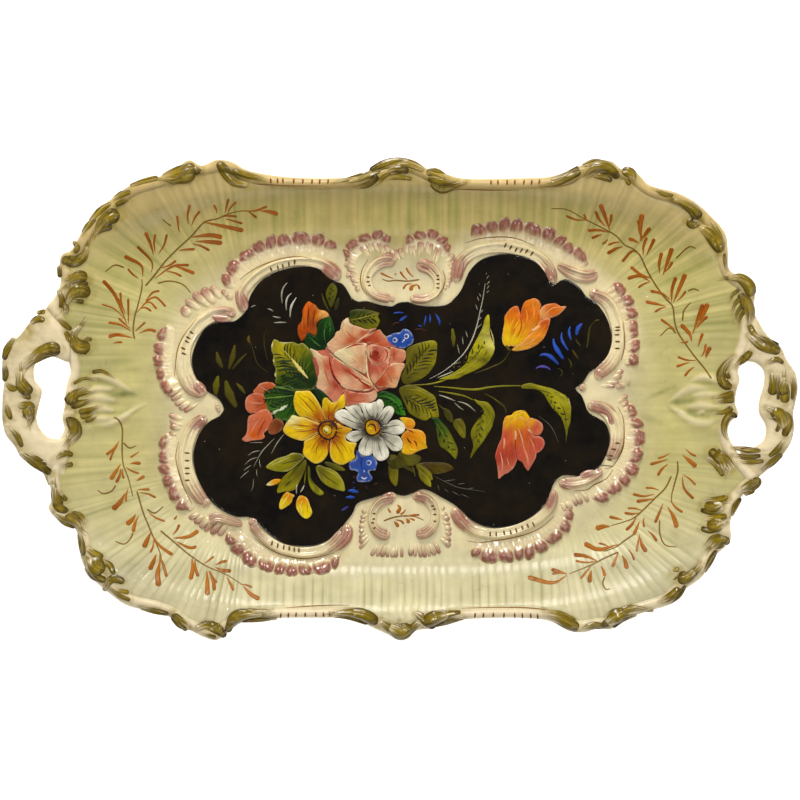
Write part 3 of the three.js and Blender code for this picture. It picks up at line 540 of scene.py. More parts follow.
# More glazed strokes of the rim, too slight for the CAD: stations, then a tone from 0 dark to 1 golden.
RIM_STROKES = {
    "rim_strokes_top_left": [
        ([(-156, 145, 2), (-145, 149, 3.4), (-133, 151, 4.4)], 0.6), ([(-134, 153, 3), (-133, 147, 3.2)], 0.05),
        ([(-119, 156, 2), (-114, 149, 3.2), (-108, 143, 3), (-99, 140.5, 1.6)], 0.45),
        ([(-110, 150, 1.6), (-100, 147, 2), (-88, 144, 1)], 0.7), ([(-117, 154, 1.6), (-112, 147, 1.6)], 0.1),
        ([(-177, 140, 1), (-168, 143, 1.6), (-158, 145.5, 1.6)], 0.8), ([(-150, 141, 0.8), (-143, 143.5, 1.4)], 0.2),
        ([(-200, 108, 1.4), (-194, 113, 2.6), (-188, 113, 2)], 0.1), ([(-188, 131, 1), (-182, 134.5, 2), (-176, 136, 1.2)], 0.6),
        ([(-186, 127, 1), (-181, 130, 1.6), (-177, 131, 0.8)], 0.35), ([(-203, 117, 1.2), (-196, 124, 2), (-189, 129, 1.2)], 0.75),
        ([(-208, 109, 1), (-204, 114, 1.8), (-199, 119, 1.2)], 0.5), ([(-221, 93, 3.2), (-216, 89.5, 2.6)], 0.15),
        ([(-223, 88, 1.4), (-222.4, 80, 1.4)], 0.1), ([(-214, 104, 1), (-211, 100, 1.8), (-213, 96, 1.4)], 0.7),
    ],
    "rim_strokes_left_upper": [
        ([(-220, 78, 1.2), (-214, 80.5, 1.8), (-208, 82, 1.2)], 0.75), ([(-216, 74, 1), (-209, 76, 1.6), (-204, 76.4, 1)], 0.1),
        ([(-222, 66, 1.2), (-218.5, 60, 1.8), (-219, 56, 1)], 0.3), ([(-212, 73.5, 1), (-205, 72, 1.4)], 0.8),
        ([(-214, 65, 1), (-207, 64.3, 1.4)], 0.1), ([(-224, 72, 1), (-221, 66, 1.6), (-222, 60, 1)], 0.5),
        ([(-242, 50, 1.2), (-237, 53, 2), (-232, 52, 1.4)], 0.5), ([(-238, 57, 1), (-232, 58, 1.6)], 0.4),
        ([(-219, 45, 1.2), (-215, 39, 1.8), (-209, 38.5, 1)], 0.75), ([(-212, 32.5, 1.2), (-205, 31.4, 1.8)], 0.1),
        ([(-224, 54, 1), (-219, 49, 1.6), (-215, 46, 1)], 0.6), ([(-208, 41, 0.8), (-202, 39.5, 1.2)], 0.6),
    ],
    "rim_strokes_handle_left": [
        ([(-252, 41, 1.4), (-257, 33, 2.2), (-259, 26, 1.4)], 0.5), ([(-259, 24, 1.2), (-258, 17, 2), (-259, 12, 1.2)], 0.3),
        ([(-246, 21, 1.4), (-238, 27, 2.4), (-230, 31, 2.8), (-222, 33, 3)], 0.35), ([(-243, 27, 1), (-235, 33.5, 1.6), (-228, 36, 1)], 0.8),
        ([(-250, 19, 1.4), (-247, 11, 3), (-241, 4, 3.2)], 0.4), ([(-247, 3, 1.2), (-241, 1.4, 1.6)], 0.0),
        ([(-258, 12, 1), (-254, 8, 2), (-250, 7, 1.2)], 0.6), ([(-258, -2, 1), (-256, -8, 1.8), (-254, -13, 1)], 0.5),
        ([(-250, -4, 1.4), (-243, -3.6, 2.6), (-239, -6, 2)], 0.6), ([(-240, -6, 1.4), (-241, -12, 1.8), (-243, -17, 1)], 0.1),
        ([(-255, -18, 1), (-250, -24, 1.8), (-247, -31, 1.2)], 0.4), ([(-249, -34, 1.4), (-239, -41, 2.6), (-228, -48, 2)], 0.45),
        ([(-244, -36, 1), (-237, -38.5, 1.4), (-231, -43, 1)], 0.1), ([(-218, -3, 3.2), (-215, 1.6, 3.2), (-210, 6, 1.8), (-204, 9, 0.8)], 0.5),
        ([(-202.6, 18.3, 1.2), (-196.5, 19, 1.1), (-191.3, 16.5, 0.8), (-187, 14, 0.4)], 0.6),
        ([(-214, 10.5, 0.9), (-207.8, 14, 0.9), (-199, 13, 0.5)], 0.7), ([(-216, -4, 2.4), (-209, -2, 2), (-202, 1, 0.7)], 0.3),
        ([(-213, 3, 1.8), (-206, 5, 1.2), (-201, 5.4, 0.5)], 0.6), ([(-207, -14, 1.1), (-203, -13, 1.1), (-199, -10, 0.5)], 0.5),
        ([(-211, -8, 1.8), (-204, -6.6, 1.5), (-197, -3.6, 0.6)], 0.6), ([(-210, -11, 1.8), (-204, -10, 1.3), (-200, -7.5, 0.5)], 0.3),
        ([(-219, -12, 1.4), (-213, -15, 2.4), (-211, -22, 2), (-217, -29, 1.2)], 0.4), ([(-216, -17, 1), (-215, -23, 1.3)], 0.0),
        ([(-225, -38, 1.2), (-219, -35, 1.8), (-214, -36, 1.2)], 0.5), ([(-220, -43, 1), (-214, -42, 1.6)], 0.3),
    ],
    "rim_strokes_left_lower": [
        ([(-227, -55, 1.2), (-226, -63, 2), (-223, -70, 2.6), (-217, -73, 1.6)], 0.5), ([(-222, -61, 1), (-218, -66, 1.4)], 0.1),
        ([(-226, -74, 1.4), (-219, -79.5, 2.2), (-212, -83, 1.6)], 0.45), ([(-215, -73.5, 1.2), (-209, -76, 1.6), (-206, -81, 1)], 0.75),
        ([(-210, -87, 1.2), (-208, -95, 2), (-207, -102, 1.4)], 0.4), ([(-205, -97, 1.4), (-199, -101, 2.2), (-194, -103, 1.4)], 0.8),
        ([(-206, -109, 1.4), (-200, -115, 2.4), (-192, -118, 1.8)], 0.2), ([(-196, -104.5, 1), (-190, -108, 1.8), (-187, -114, 1.4)], 0.5),
        ([(-194, -125, 1.4), (-188, -117, 2.4), (-180, -119, 1.8)], 0.35), ([(-186, -124, 1), (-177, -126, 1.4)], 0.7),
        ([(-191, -122, 0.8), (-183, -128, 1.4), (-176, -131, 1)], 0.5), ([(-170, -136, 1), (-160, -138, 1.8), (-151, -140, 1.2)], 0.6),
        ([(-149, -140, 2.4), (-143, -146, 3), (-138, -149, 2)], 0.5), ([(-146, -146, 1.2), (-139, -150.4, 1.6)], 0.05),
        ([(-134, -150, 1.4), (-127, -147, 2.6), (-119, -150, 3), (-114, -155, 1.8)], 0.4), ([(-128, -153, 1), (-120, -155.5, 1.4)], 0.05),
        ([(-113, -152, 1.8), (-109, -143, 2.6), (-100, -138.6, 1.8), (-84, -137.6, 0.8)], 0.6), ([(-104, -144.5, 1), (-92, -143.4, 1.6), (-80, -142.6, 0.8)], 0.3),
    ],
    "rim_strokes_bottom": [
        ([(-45, -141, 0.9), (-33, -141.6, 2), (-20, -145, 2.4)], 0.2), ([(-36, -137.6, 0.8), (-25, -138, 1.6), (-16, -142, 1.2)], 0.75),
        ([(-13, -144, 1.4), (-7, -149, 2.4), (-1, -155, 1.6)], 0.35), ([(0, -145, 1), (0.5, -150, 1.8), (1, -156, 1.2)], 0.7),
        ([(13, -144, 1.4), (8, -149, 2.4), (3, -155, 1.6)], 0.25), ([(-5, -146, 0.8), (-3, -151, 1.4), (-1, -155, 0.9)], 0.8),
        ([(6, -146, 0.8), (4.5, -151, 1.4), (2.6, -155, 0.9)], 0.1), ([(10, -139, 1.6), (17, -144, 3), (23, -149, 2.2)], 0.2),
        ([(14, -141, 1), (25, -140.6, 2.2), (40, -138.6, 1)], 0.55), ([(18, -148, 1.4), (30, -144.6, 2.2), (42, -142.6, 1)], 0.1),
        ([(96, -140, 1.2), (106, -143.4, 2.6), (117, -149, 2.6)], 0.4), ([(100, -143.6, 1), (108, -147.6, 1.6), (116, -151, 1.2)], 0.05),
        ([(94, -137.6, 0.8), (105, -139.6, 1.4), (115, -144, 1)], 0.75), ([(119, -150, 1.4), (126, -147.4, 2.2), (133, -148, 1.6)], 0.6),
        ([(131, -149, 1.6), (138, -143.6, 2.6), (150, -136.4, 2), (166, -138, 0.9)], 0.5), ([(139, -148.6, 1.2), (146, -143, 1.8), (155, -140.4, 1)], 0.1),
    ],
    "rim_strokes_right_lower": [
        ([(170, -132, 1.4), (176, -129, 2.4), (183, -123, 2.2)], 0.45), ([(176, -133, 1), (182, -128, 1.6), (187, -121, 1)], 0.1),
        ([(180, -115, 4), (181.5, -116.5, 4)], 0.5), ([(184, -119, 1.6), (191, -114, 2.2), (197, -107, 1.4)], 0.4),
        ([(178, -111.4, 1.2), (183, -110.6, 1.6)], 0.9), ([(199, -113, 1), (203, -105, 1.8), (207, -98, 1.2)], 0.2),
        ([(200, -96, 1.4), (206, -90.4, 2.2), (216, -93, 2.4)], 0.45), ([(205, -96.6, 1), (212, -95, 1.6)], 0.05),
        ([(197, -84, 1.6), (204, -85.6, 1.6), (213, -80, 1.2)], 0.1), ([(199, -78, 1.2), (207, -77, 2), (214, -75.6, 1.4)], 0.75),
        ([(197, -72, 1.4), (205, -73.6, 1.6), (212, -71, 1)], 0.1), ([(199, -65.4, 1), (207, -65.6, 2), (215, -63.4, 1.4)], 0.75),
        ([(217, -76, 1), (219, -70, 1.8), (223, -64, 1.2)], 0.4), ([(223, -59, 2.4), (229, -56.5, 3.4), (236, -51.5, 2.6)], 0.5),
        ([(225, -62, 1.2), (232, -58.6, 1.8)], 0.05), ([(203, -33, 3), (209, -37.4, 2.6), (216, -47, 1.6)], 0.35),
        ([(201, -37.4, 1.2), (206, -41, 1.8), (212, -50, 1.2)], 0.7), ([(208, -32.4, 1.2), (214, -38, 1.6), (219, -45, 1)], 0.6),
    ],
    "rim_strokes_handle_right": [
        ([(218, -31, 1), (227, -32.6, 1.8), (236, -33, 1)], 0.4), ([(218, -36, 1), (227, -37.2, 1.8), (236, -36.4, 1)], 0.1),
        ([(222, -40, 1), (230, -40.4, 1.6), (238, -40, 1)], 0.6), ([(219, 28.6, 0.9), (213.4, 23.4, 2), (210.6, 16.6, 2.6), (212.6, 10.6, 2.8), (217.4, 8, 2)], 0.45),
        ([(219, 22, 1.2), (225, 27, 2.2), (230, 32, 1.6)], 0.5), ([(214, 19, 1), (215.6, 13.6, 1.2)], 0.0),
        ([(219, 4.6, 2.2), (213, 3, 1.6), (206, 1.4, 0.5)], 0.7), ([(219.4, 0.6, 2), (213, -0.6, 1.5), (207, -1.8, 0.5)], 0.3),
        ([(218, -5, 1.9), (212, -8, 1.3), (205, -8.8, 0.5)], 0.6),
        ([(221, -11, 1.2), (216.6, -9.8, 2), (213.2, -14, 2), (212.6, -21, 1.6), (215, -26, 0.8)], 0.4),
        ([(243, 18, 1.8), (244, 10, 2.4), (243, 3, 3)], 0.4), ([(251, 15, 1.4), (252, 5, 2.4), (251, -2, 3)], 0.6),
        ([(247, 17, 0.9), (247.6, 8, 1.2), (247, 0, 0.9)], 0.0), ([(239, -5, 1.4), (247, -8.6, 2.6), (254, -13, 2.8), (251, -24, 1.8)], 0.45),
        ([(241, -10.6, 1), (248, -14.4, 1.4), (246, -21, 1)], 0.05), ([(256, 16, 1), (257.6, 8, 1.8), (256.4, 0, 1)], 0.35),
        ([(228, 42, 1.6), (236, 35.6, 2.8), (249, 32, 3)], 0.5), ([(232, 43, 1), (241, 38.6, 1.6), (248, 36, 1)], 0.1),
        ([(236, -46, 1.4), (243, -41, 2), (250, -35, 1.4)], 0.5), ([(240, 24, 1), (246, 26.6, 1.6), (251, 24, 1)], 0.3),
        ([(251, -26, 1), (247, -32, 1.8), (241, -37, 1)], 0.3), ([(228, 50, 1.4), (231, 44, 1.8), (235, 41, 1)], 0.5),
    ],
    "rim_strokes_right_upper": [
        ([(221.6, 69.4, 2.2), (226.2, 64, 3.4), (228.8, 56.8, 3), (228, 47.4, 0.9)], 0.5),
        ([(217, 56, 0.4), (219.4, 63, 1.1), (225, 69, 1.6)], 0.2), ([(219.4, 50.4, 0.4), (220.8, 57.4, 1), (225, 63, 1.4)], 0.35),
        ([(216, 63.6, 0.4), (217.6, 68.6, 0.9), (222, 72.4, 1.2)], 0.2), ([(222, 47, 0.4), (222.6, 54, 1), (226, 59, 1.4)], 0.6),
        ([(196, 117.4, 2), (191.6, 115, 2.6), (187.6, 117.2, 2.6)], 0.05), ([(203, 117, 0.8), (208, 110, 1.3), (211, 103, 0.8)], 0.75),
        ([(166, 138, 0.9), (172, 135, 1.4), (179, 133.4, 1)], 0.4), ([(213.4, 85, 0.8), (212.6, 91, 1.3), (212, 96, 0.8)], 0.5),
        ([(145, 150.4, 2.6), (151, 148, 3), (152.6, 143, 2)], 0.5), ([(147, 145, 1.2), (150.6, 140.6, 1.4)], 0.05),
    ],
    "rim_strokes_top_right": [
        ([(121, 146, 1.6), (128, 151, 3), (136, 151.6, 3), (143, 145, 2)], 0.5), ([(126, 147, 1.2), (133, 146, 2.2), (139, 143.4, 1.2)], 0.05),
        ([(119, 153, 1.2), (127, 155.4, 2), (137, 154.4, 1.4)], 0.7), ([(92, 140, 0.8), (104, 142.6, 1.8), (118, 150, 2.4)], 0.5),
        ([(98, 144, 0.8), (108, 147, 1.6), (117, 152.6, 1)], 0.15), ([(17, 148.4, 2), (23, 149, 2.4), (31, 145.4, 1.4)], 0.6),
        ([(20, 142, 1.8), (27, 138, 2.4), (35, 139.6, 2), (44, 143, 1)], 0.3), ([(18, 144.6, 1.4), (26, 142.6, 1.8), (38, 143.4, 0.9)], 0.8),
        ([(-20, 149.6, 1.8), (-10, 154, 2.8), (0, 155.4, 2.8), (9, 153.6, 2.4), (16, 150, 1.6)], 0.45),
        ([(-8, 149.4, 1.6), (-2, 151, 2.4), (6, 149.6, 1.6)], 0.0), ([(-10, 145, 1), (-2, 146, 1.6), (8, 144.6, 1)], 0.85),
        ([(-34, 142.4, 0.9), (-24, 145.6, 2), (-13, 151, 2)], 0.55), ([(-30, 139, 0.8), (-21, 141, 1.8), (-14, 146.6, 1.8)], 0.1),
        ([(-44, 142, 0.6), (-34, 144.4, 1.2), (-24, 148, 1)], 0.8), ([(-16, 141, 0.8), (-11, 145.4, 1.4), (-6, 149, 1)], 0.7),
    ],
}

# Glossy mauve pads on the ends of the scrolls, as strokes.
MAUVE_PADS = {
    "mauve_pads_top_left": [
        [(-106, 74, 2.6), (-104.6, 66, 3.6), (-102, 58, 3)], [(-117, 57.5, 2.6), (-108, 57.6, 3.4)],
        [(-126, 55.4, 1.8), (-118, 53.6, 2.6), (-111, 54, 2)], [(-53, 89, 3.4), (-46, 86, 4.6), (-40, 79.4, 4)],
        [(-36.6, 90.6, 2.4), (-33.8, 89, 2.2)], [(-35.4, 83.6, 2), (-33, 82, 2)],
    ],
    "mauve_pads_left": [
        [(-136, 13, 3), (-132.6, 7.6, 4), (-127.6, 3.6, 3.2)], [(-122, -5.4, 4), (-118.6, -4.4, 4.4)],
        [(-127.6, -10.6, 2.8), (-133, -14.6, 3.6), (-138.4, -19.4, 2.8)], [(-129.6, -66, 3), (-125.6, -69.4, 3.6)],
        [(-127.6, -80.4, 4.2), (-124.6, -79.6, 4.2)], [(-99.6, -78.6, 2.6), (-94, -82.6, 2.8)],
    ],
    "mauve_pads_bottom_left": [
        [(-35, -81.6, 3), (-35.6, -90, 3.8), (-44.6, -98.6, 3)],
    ],
    "mauve_pads_top_right": [
        [(40.6, 95, 3), (38, 86, 4), (36.8, 77.6, 3)], [(96, 90.6, 2.8), (99.6, 84, 3.4), (101.4, 77, 2.4)],
        [(125, 72, 3), (132.4, 68, 3.2)], [(128.4, 83.6, 4.2), (130.4, 84.2, 4.2)],
    ],
    "mauve_pads_right": [
        [(134, 21, 3), (129.6, 13.4, 3.4)], [(118, 9.4, 2.4), (123, 7.6, 2.6)],
        [(123.6, -3.4, 3), (132, -5, 3.6), (138.6, -8.6, 3.4), (140.4, -18, 2.4)], [(150, 12, 3.6), (151.8, 11.6, 3.8)],
        [(148.6, 10.6, 1.6), (142.6, 8, 1.2)],
    ],
    "mauve_pads_bottom_right": [
        [(118, -51.6, 2.6), (124, -49, 3), (130.4, -48, 2.4)], [(105, -53, 2.8), (109.6, -55.6, 3), (114.4, -57.4, 2.2)],
        [(101.6, -59, 2.4), (100, -67.6, 3), (96, -73.4, 2.4)], [(35, -71, 2.8), (39.4, -79, 3.8), (47, -86, 3)],
    ],
    "mauve_pads_cartouche_top": [
        [(-12, 93.4, 2.4), (-7, 94, 3), (-2, 92, 2.4)], [(-7, 67, 2.6), (-3.4, 67.4, 2.8)],
        [(12, 91, 2.6), (18, 89, 3.4), (22.4, 85.6, 2.6)], [(6.4, 67, 2.4), (9.6, 67, 2.4)],
    ],
    "mauve_pads_cartouche_bottom": [
        [(-12, -65.4, 2.4), (-7, -63.6, 3), (-2, -63, 2.4)], [(8, -63, 2.4), (14, -64, 3), (20, -68, 2.4)],
        [(-9.6, -89, 4.2), (-6.6, -89.2, 4.4)], [(12, -88, 3), (15, -86.6, 3)],
    ],
}

# Rows of soft ridges: the line that they start on (the mauve one), the line that they end on, how many.
STREAK_FANS = {
    "soft_ridges_top": [
        ([(-37, 98), (-35.5, 88), (-33, 80), (-29, 72)], [(-27, 92), (-27, 84), (-26, 77), (-24, 71)], 8),
        ([(36, 97), (36, 88), (34, 79), (30, 72)], [(30, 92), (30.6, 84), (30.4, 77), (27, 71)], 8),
        ([(-30, 101), (-20, 105), (-8, 104)], [(-22, 94), (-15, 95.4), (-5, 95.4)], 8),
        ([(5, 103), (16, 105.4), (29, 100)], [(7, 94.4), (16, 93.4), (25, 89)], 8),
        ([(-12, 104), (-3, 99), (4, 104)], [(-6, 96), (1, 92), (7, 95)], 5),
    ],
    "soft_ridges_bottom": [
        ([(33, -98), (34, -90), (33, -80), (29, -70)], [(26, -92), (27.4, -86), (27.4, -78), (25, -70)], 8),
        ([(-27, -99), (-27, -90), (-27, -82), (-25, -72)], [(-20, -92), (-21.6, -86), (-22, -79), (-21, -72)], 8),
        ([(-20, -103), (-8, -104), (3, -104)], [(-15, -93.6), (-6, -94.4), (3, -93)], 7),
        ([(6, -103), (17, -104), (28, -101)], [(7, -93), (14, -93), (22, -90.4)], 7),
    ],
    "soft_ridges_left": [
        ([(-157, 8), (-152, 1), (-146, -6), (-140, -9)], [(-146, 13), (-142, 7), (-137, 1), (-131, -3)], 6),
        ([(-153, -8), (-152, -16), (-153, -24)], [(-141, -12), (-144, -19), (-146, -25)], 4),
        ([(-146, 58), (-140, 68), (-130, 74), (-121, 76)], [(-136, 55), (-131, 59), (-123, 62.4), (-113, 64)], 5),
        ([(-119, 74), (-114, 68)], [(-110, 68), (-108, 64)], 2),
        ([(-141, -77), (-135, -82), (-127, -88), (-117, -90)], [(-132, -74), (-126, -73.6), (-117, -75), (-109, -79)], 6),
    ],
    "soft_ridges_right": [
        ([(142, 76), (149, 66), (153, 52)], [(135, 71), (142, 62.6), (147.4, 52)], 6),
        ([(154, 48), (154.6, 36), (152, 22)], [(148.6, 46), (149, 36), (146, 24)], 6),
        ([(148, 20), (146, 14), (141, 8)], [(140, 19), (136, 13), (131, 8)], 4),
        ([(150, 5), (151, -2), (153, -10)], [(141, -2), (144, -5.6), (148, -12)], 4),
        ([(125, 90), (119, 96)], [(117, 87), (110, 90)], 3),
        ([(125, -67), (117, -70), (109, -76)], [(121, -60), (112, -62), (103, -68)], 5),
    ],
}

# The soft palmette moulded in the wall beside each handle: its raised ridges, as strokes.
PALMETTES = {
    "palmette_left": [
        [(-207, 4, 1), (-200, 7, 2), (-191, 7.4, 1.6)], [(-206, 0, 1), (-198, 1.5, 2.2), (-189, 0, 1.6)],
        [(-206, -5.6, 1), (-199, -5, 2.2), (-190, -6.6, 1.6)], [(-203, -11, 1), (-196, -12.4, 2), (-189, -12, 1.2)],
        [(-204, 15.6, 1), (-196, 15.4, 1.6), (-187, 12, 1.8), (-179, 7, 1.2), (-174, 3.6, 0.6)],
        [(-200, -16.4, 1), (-192, -16, 1.6), (-183, -11.6, 1.8), (-175, -6, 1.2), (-168, -3, 0.6)],
    ],
    "palmette_right": [
        [(176.6, -1.4, 0.8), (182.8, 3, 1.6), (189.8, 7, 2.2), (196, 8, 1.8), (203, 7.4, 0.8)],
        [(177, -3, 0.8), (185.4, -9.6, 1.6), (193.2, -14, 2), (202, -15, 1.8), (207.2, -13.4, 0.8)],
        [(193, 3, 1.2), (200, 3.6, 2), (208, 4, 1.2)], [(190, -4.4, 1.2), (197.6, -3.6, 2.2), (208, -4.4, 1.2)],
        [(190, 11.4, 0.8), (194.6, 14, 1.6), (201, 15.2, 2), (209, 11.6, 1.2)], [(195.6, -9, 1.2), (199, -7.6, 1.4)],
    ],
}
# Green glaze pooled in its hollows: middle, half length, half width, turn in degrees, strength.
POOLS = [
    (-193.9, 11, 7, 2.6, -12, 0.5), (-183, 3.8, 10, 2.2, 4, 0.95), (-181.6, -7.5, 7, 1.8, 36, 0.5),
    (-183, 26, 9, 2.2, 0, 0.35), (-176, 20, 5, 1.6, 0, 0.3), (186.4, -1, 8, 2.2, 8, 0.8), (192.8, -9.4, 4, 2.2, -20, 0.8),
    (200.6, -10.4, 3.4, 1.6, 0, 0.6), (200, 10.8, 6, 1.3, 0, 0.6), (171, 4.4, 9, 1.4, 24, 0.5), (166, -13, 10, 2, -20, 0.35),
]

# ------------------------------------------------------------------ painted lines

FRAME_LINES = [
    [(-106, 79), (-100, 84), (-92, 88.5), (-84, 91.5), (-74, 94), (-65, 94.5), (-58, 93)],
    [(-134, 54), (-139, 47.5), (-143.5, 41), (-146.5, 34), (-148, 25), (-149, 15)],
    [(-146, -27), (-148, -37), (-146.5, -46), (-143, -57), (-140, -63), (-137, -69)],
    [(-96, -91), (-89, -96.5), (-82, -100.5), (-72, -103.5), (-62, -104.7), (-52, -103.3), (-43, -100.5)],
    [(43, 103.5), (50, 105.8), (60, 107.3), (72, 107.3), (80, 105.5), (89, 101.5)],
    [(147, 52), (148, 42), (148, 34), (146, 26)],
    [(143.5, -4), (147, -11), (148, -22), (147, -32), (143, -40), (140, -44), (135, -45.5)],
    [(141, -45.5), (136, -52), (128, -56), (124, -59), (115, -60)],
    [(44, -93), (52, -94), (62, -93), (74, -91), (85, -88), (94, -83.5), (102, -76.5)],
    [(-21, 93), (-25, 86), (-26, 78), (-24, 72), (-21.5, 69)],
    [(28, 86), (29.8, 80), (28.5, 74), (24, 67)],
]
RIM_LINES = [
    [(-97, 141.5), (-85, 140.8), (-70, 140), (-50, 140)],
    [(30, 137.5), (45, 137.8), (60, 137.3), (78, 137.3)],
    [(92, 139.5), (104, 139.8), (113, 142), (118, 146)],
    [(-75, -136), (-60, -135), (-45, -134.3), (-33, -134.3)],
    [(40, -136.3), (60, -135.7), (80, -135.8), (95, -137), (107, -138.5)],
]
# Rows of short ticks across a band: their middles, then the middle that they all point at.
TICK_ROWS = [
    ([(-85, 86), (-80.5, 87), (-77.3, 88), (-73.3, 89.5), (-69.5, 91)], (-70, 40), 1.9),
    ([(69.5, 102), (73, 100.5), (76.5, 99), (80, 98.5), (83.5, 98), (87, 96.5)], (30, 20), 1.9),
    ([(143.5, 48), (143.5, 46), (143, 43), (143.5, 38.5), (143.3, 34)], (40, 41), 1.8),
    ([(-137.5, 44.5), (-139.5, 41), (-140.5, 38.5), (-143, 34), (-142.5, 30.5)], (-90, 10), 1.8),
    ([(-140.3, -35), (-140.3, -40), (-140.3, -45), (-140.3, -48.5), (-140.3, -53)], (-40, -44), 1.8),
    ([(-84.5, -94.5), (-80.7, -96), (-76.7, -97), (-73, -97.7), (-69.7, -98.5), (-66.7, -99)], (-70, -30), 1.9),
    ([(59.5, -88.5), (63.5, -88.5), (68.7, -87.7), (73, -87.2), (76.7, -86), (80.7, -84.3), (84.3, -83),
      (88, -82)], (60, -20), 1.9),
    ([(143.5, -28.5), (141, -32.5), (139, -36.7), (138, -39.5)], (60, -20), 1.8),
    ([(25, 82), (25, 79.5), (25, 76.7), (25, 74)], (0, 78), 1.3),
    ([(-21, 81), (-21, 78), (-20, 75.5)], (0, 78), 1.3),
    ([(-17, -75), (-17, -78.5), (-18, -81), (-17, -84.5)], (0, -79), 1.3),
    ([(21.5, -70), (22.5, -72), (23, -75.5), (23, -80)], (0, -76), 1.3),
]
RIM_TICK_ROWS = [
    ([(-84.5, 143.2), (-80, 143.2), (-76.5, 143.2), (-69.5, 143), (-63.5, 143), (-57.5, 142.8), (-52.5, 142.8),
      (-47, 142.8)], (-70, 0), 1.9),
    ([(59.5, 142.2), (64, 142.2), (70, 142.2), (75, 142.2), (81, 142.2), (86, 142.2), (91, 142.6)], (60, 0), 1.9),
    ([(-78, -141), (-73, -140.8), (-68, -140.6), (-62, -140.6), (-55, -140.4), (-50, -140.4), (-46, -140.4)],
     (-60, 0), 1.9),
    ([(49, -140.8), (54.5, -140.8), (61, -140.8), (68, -140.8), (75, -140.8), (80, -141), (85.5, -141.2),
      (90, -141.6)], (70, 0), 1.9),
]

# ------------------------------------------------------------------ the dish


def olive_stain(x, y):
    """How much olive glaze has run out from the rim's olive strokes, 0 to 1."""
    strokes = [*RIM_SCROLLS.values(), *(stations for rows in RIM_STROKES.values() for stations, _ in rows)]
    spots = np.vstack([smooth_path(stations, 1.6) for stations in strokes])
    gap = np.full(len(x), 99.0)
    for part in np.array_split(spots, 12):
        apart = np.hypot(x[:, None] - part[None, :, 0], y[:, None] - part[None, :, 1]) - part[None, :, 2]
        gap = np.minimum(gap, apart.min(axis=1))
    patchy = 0.7 + 0.45 * waver(0.55 * x + 2 * waver(0.3 * y, 1), 2)
    return clip01(fade(gap, 2.4, -0.4) * patchy)


def dish_shapes():
    """The shell with its folded wall and rolled, lobed lip, and its plain underside."""
    outline = smooth_path([*RIM_TOP, *LEFT_EDGE, *RIM_BOTTOM, *RIGHT_EDGE], DISH_SPACING, closed=True)
    calm = ring_smoothed(outline, 5.0)
    lip_foot = calm + RIM_WIDTH * normals_of(calm, closed=True)
    core = np.column_stack([np.clip(lip_foot[:, 0], -100, 100), np.clip(lip_foot[:, 1], -40, 40)])
    gaps = np.linalg.norm(np.diff(ring_smoothed(lip_foot, 3.0), axis=0), axis=1)
    along = np.concatenate([[0], np.cumsum(gaps)])
    fold = along / FLUTE_PITCH + 0.45 * waver(along / 19, 1) + 0.2 * waver(along / 7, 2)
    flat_run = fade(np.abs(lip_foot[:, 0]), 175, 120)
    folds = (np.abs(np.sin(math.pi * fold)) ** 0.8 - 0.6) * (0.62 + 0.38 * flat_run)
    folds = folds + 0.3 * waver(along / 2.6, 4) * (1 - flat_run)
    fold_depth = FLUTE_DEPTH * (0.85 + 0.5 * waver(along / 11, 3))

    rings, tints, brushes = [], [], []

    def lay(points, z, tint, across):
        rings.append(np.column_stack([points, np.broadcast_to(z, len(points))]))
        tints.append(np.broadcast_to(tint, (len(points), 3)))
        brushes.append(np.column_stack([along, np.full(len(points), across), np.zeros(len(points))]))

    def wall_points(share):
        return core + (lip_foot - core) * share

    for share in [0.1, 0.24, 0.32, 0.4, 0.45, *np.linspace(0.5, 1, 45)]:
        points = wall_points(share)
        x, y = points.T
        oblong = oblong_share(x, y)
        envelope = fade(oblong, 0.66, 0.8) * (1 - 0.8 * fade(share, 0.9, 1.0))
        rise = palmette_rise(x, y)
        z = shell_top(x, y) + folds * fold_depth * envelope * fade(rise, 0.5, 0.1) + rise
        tint = wall_tint(x, y, oblong, folds, along)
        # Paler cream on the palmette ridges where they rise: the relief's own paler glaze, with a painted highlight on
        # the crests.
        tint = mix(tint, PALE * 0.88, 0.7 * fade(rise, 0.35, 1.6))
        if share > 0.8:
            tint = mix(tint, OLIVE, 0.55 * olive_stain(x, y))
        lay(points, z, tint, 100 * share)
    roll = [
        (0.05, -0.25), (0.12, 0.5), (0.22, 1.35), (0.36, 1.95), (0.5, 2.1), (0.64, 1.9), (0.77, 1.3),
        (0.88, 0.4), (0.95, -0.6), (0.99, -1.8), (1.0, -3.0), (0.985, -4.2), (0.93, -5.2), (0.82, -5.8),
    ]
    for share, lift in roll:
        points = lip_foot + (outline - lip_foot) * share
        x, y = points.T
        z = shell_top(x, y) + lift
        tint = mix(wall_tint(x, y, oblong_share(x, y), folds, along), lip_at(y), fade(share, 0.02, 0.22))
        tint = mix(tint, OLIVE, 0.7 * olive_stain(x, y))
        lay(points, z, tint, 100 + 8 * share)
    for share in [1, 0.94, 0.87, 0.8, 0.72, 0.64, 0.55, 0.4, 0.1]:
        points = wall_points(share)
        x, y = points.T
        lay(points, shell_top(x, y) - WALL, IVORY * 0.95, 100 * share)
    shapes = Shapes()
    shapes.add_rings(np.stack(rings), np.stack(tints), np.stack(brushes), fan=True)
    return shapes


def cream_at(y):
    """The cream glaze of the wall: browner towards +Y, paler towards -Y."""
    return mix(mix(CREAM, CREAM_LOW, fade(y, -30, -125)), CREAM_HIGH, fade(y, 55, 130))


def lip_at(y):
    """The glaze of the lip: browner towards +Y."""
    return mix(LIP, LIP_HIGH, fade(y, 30, 125))


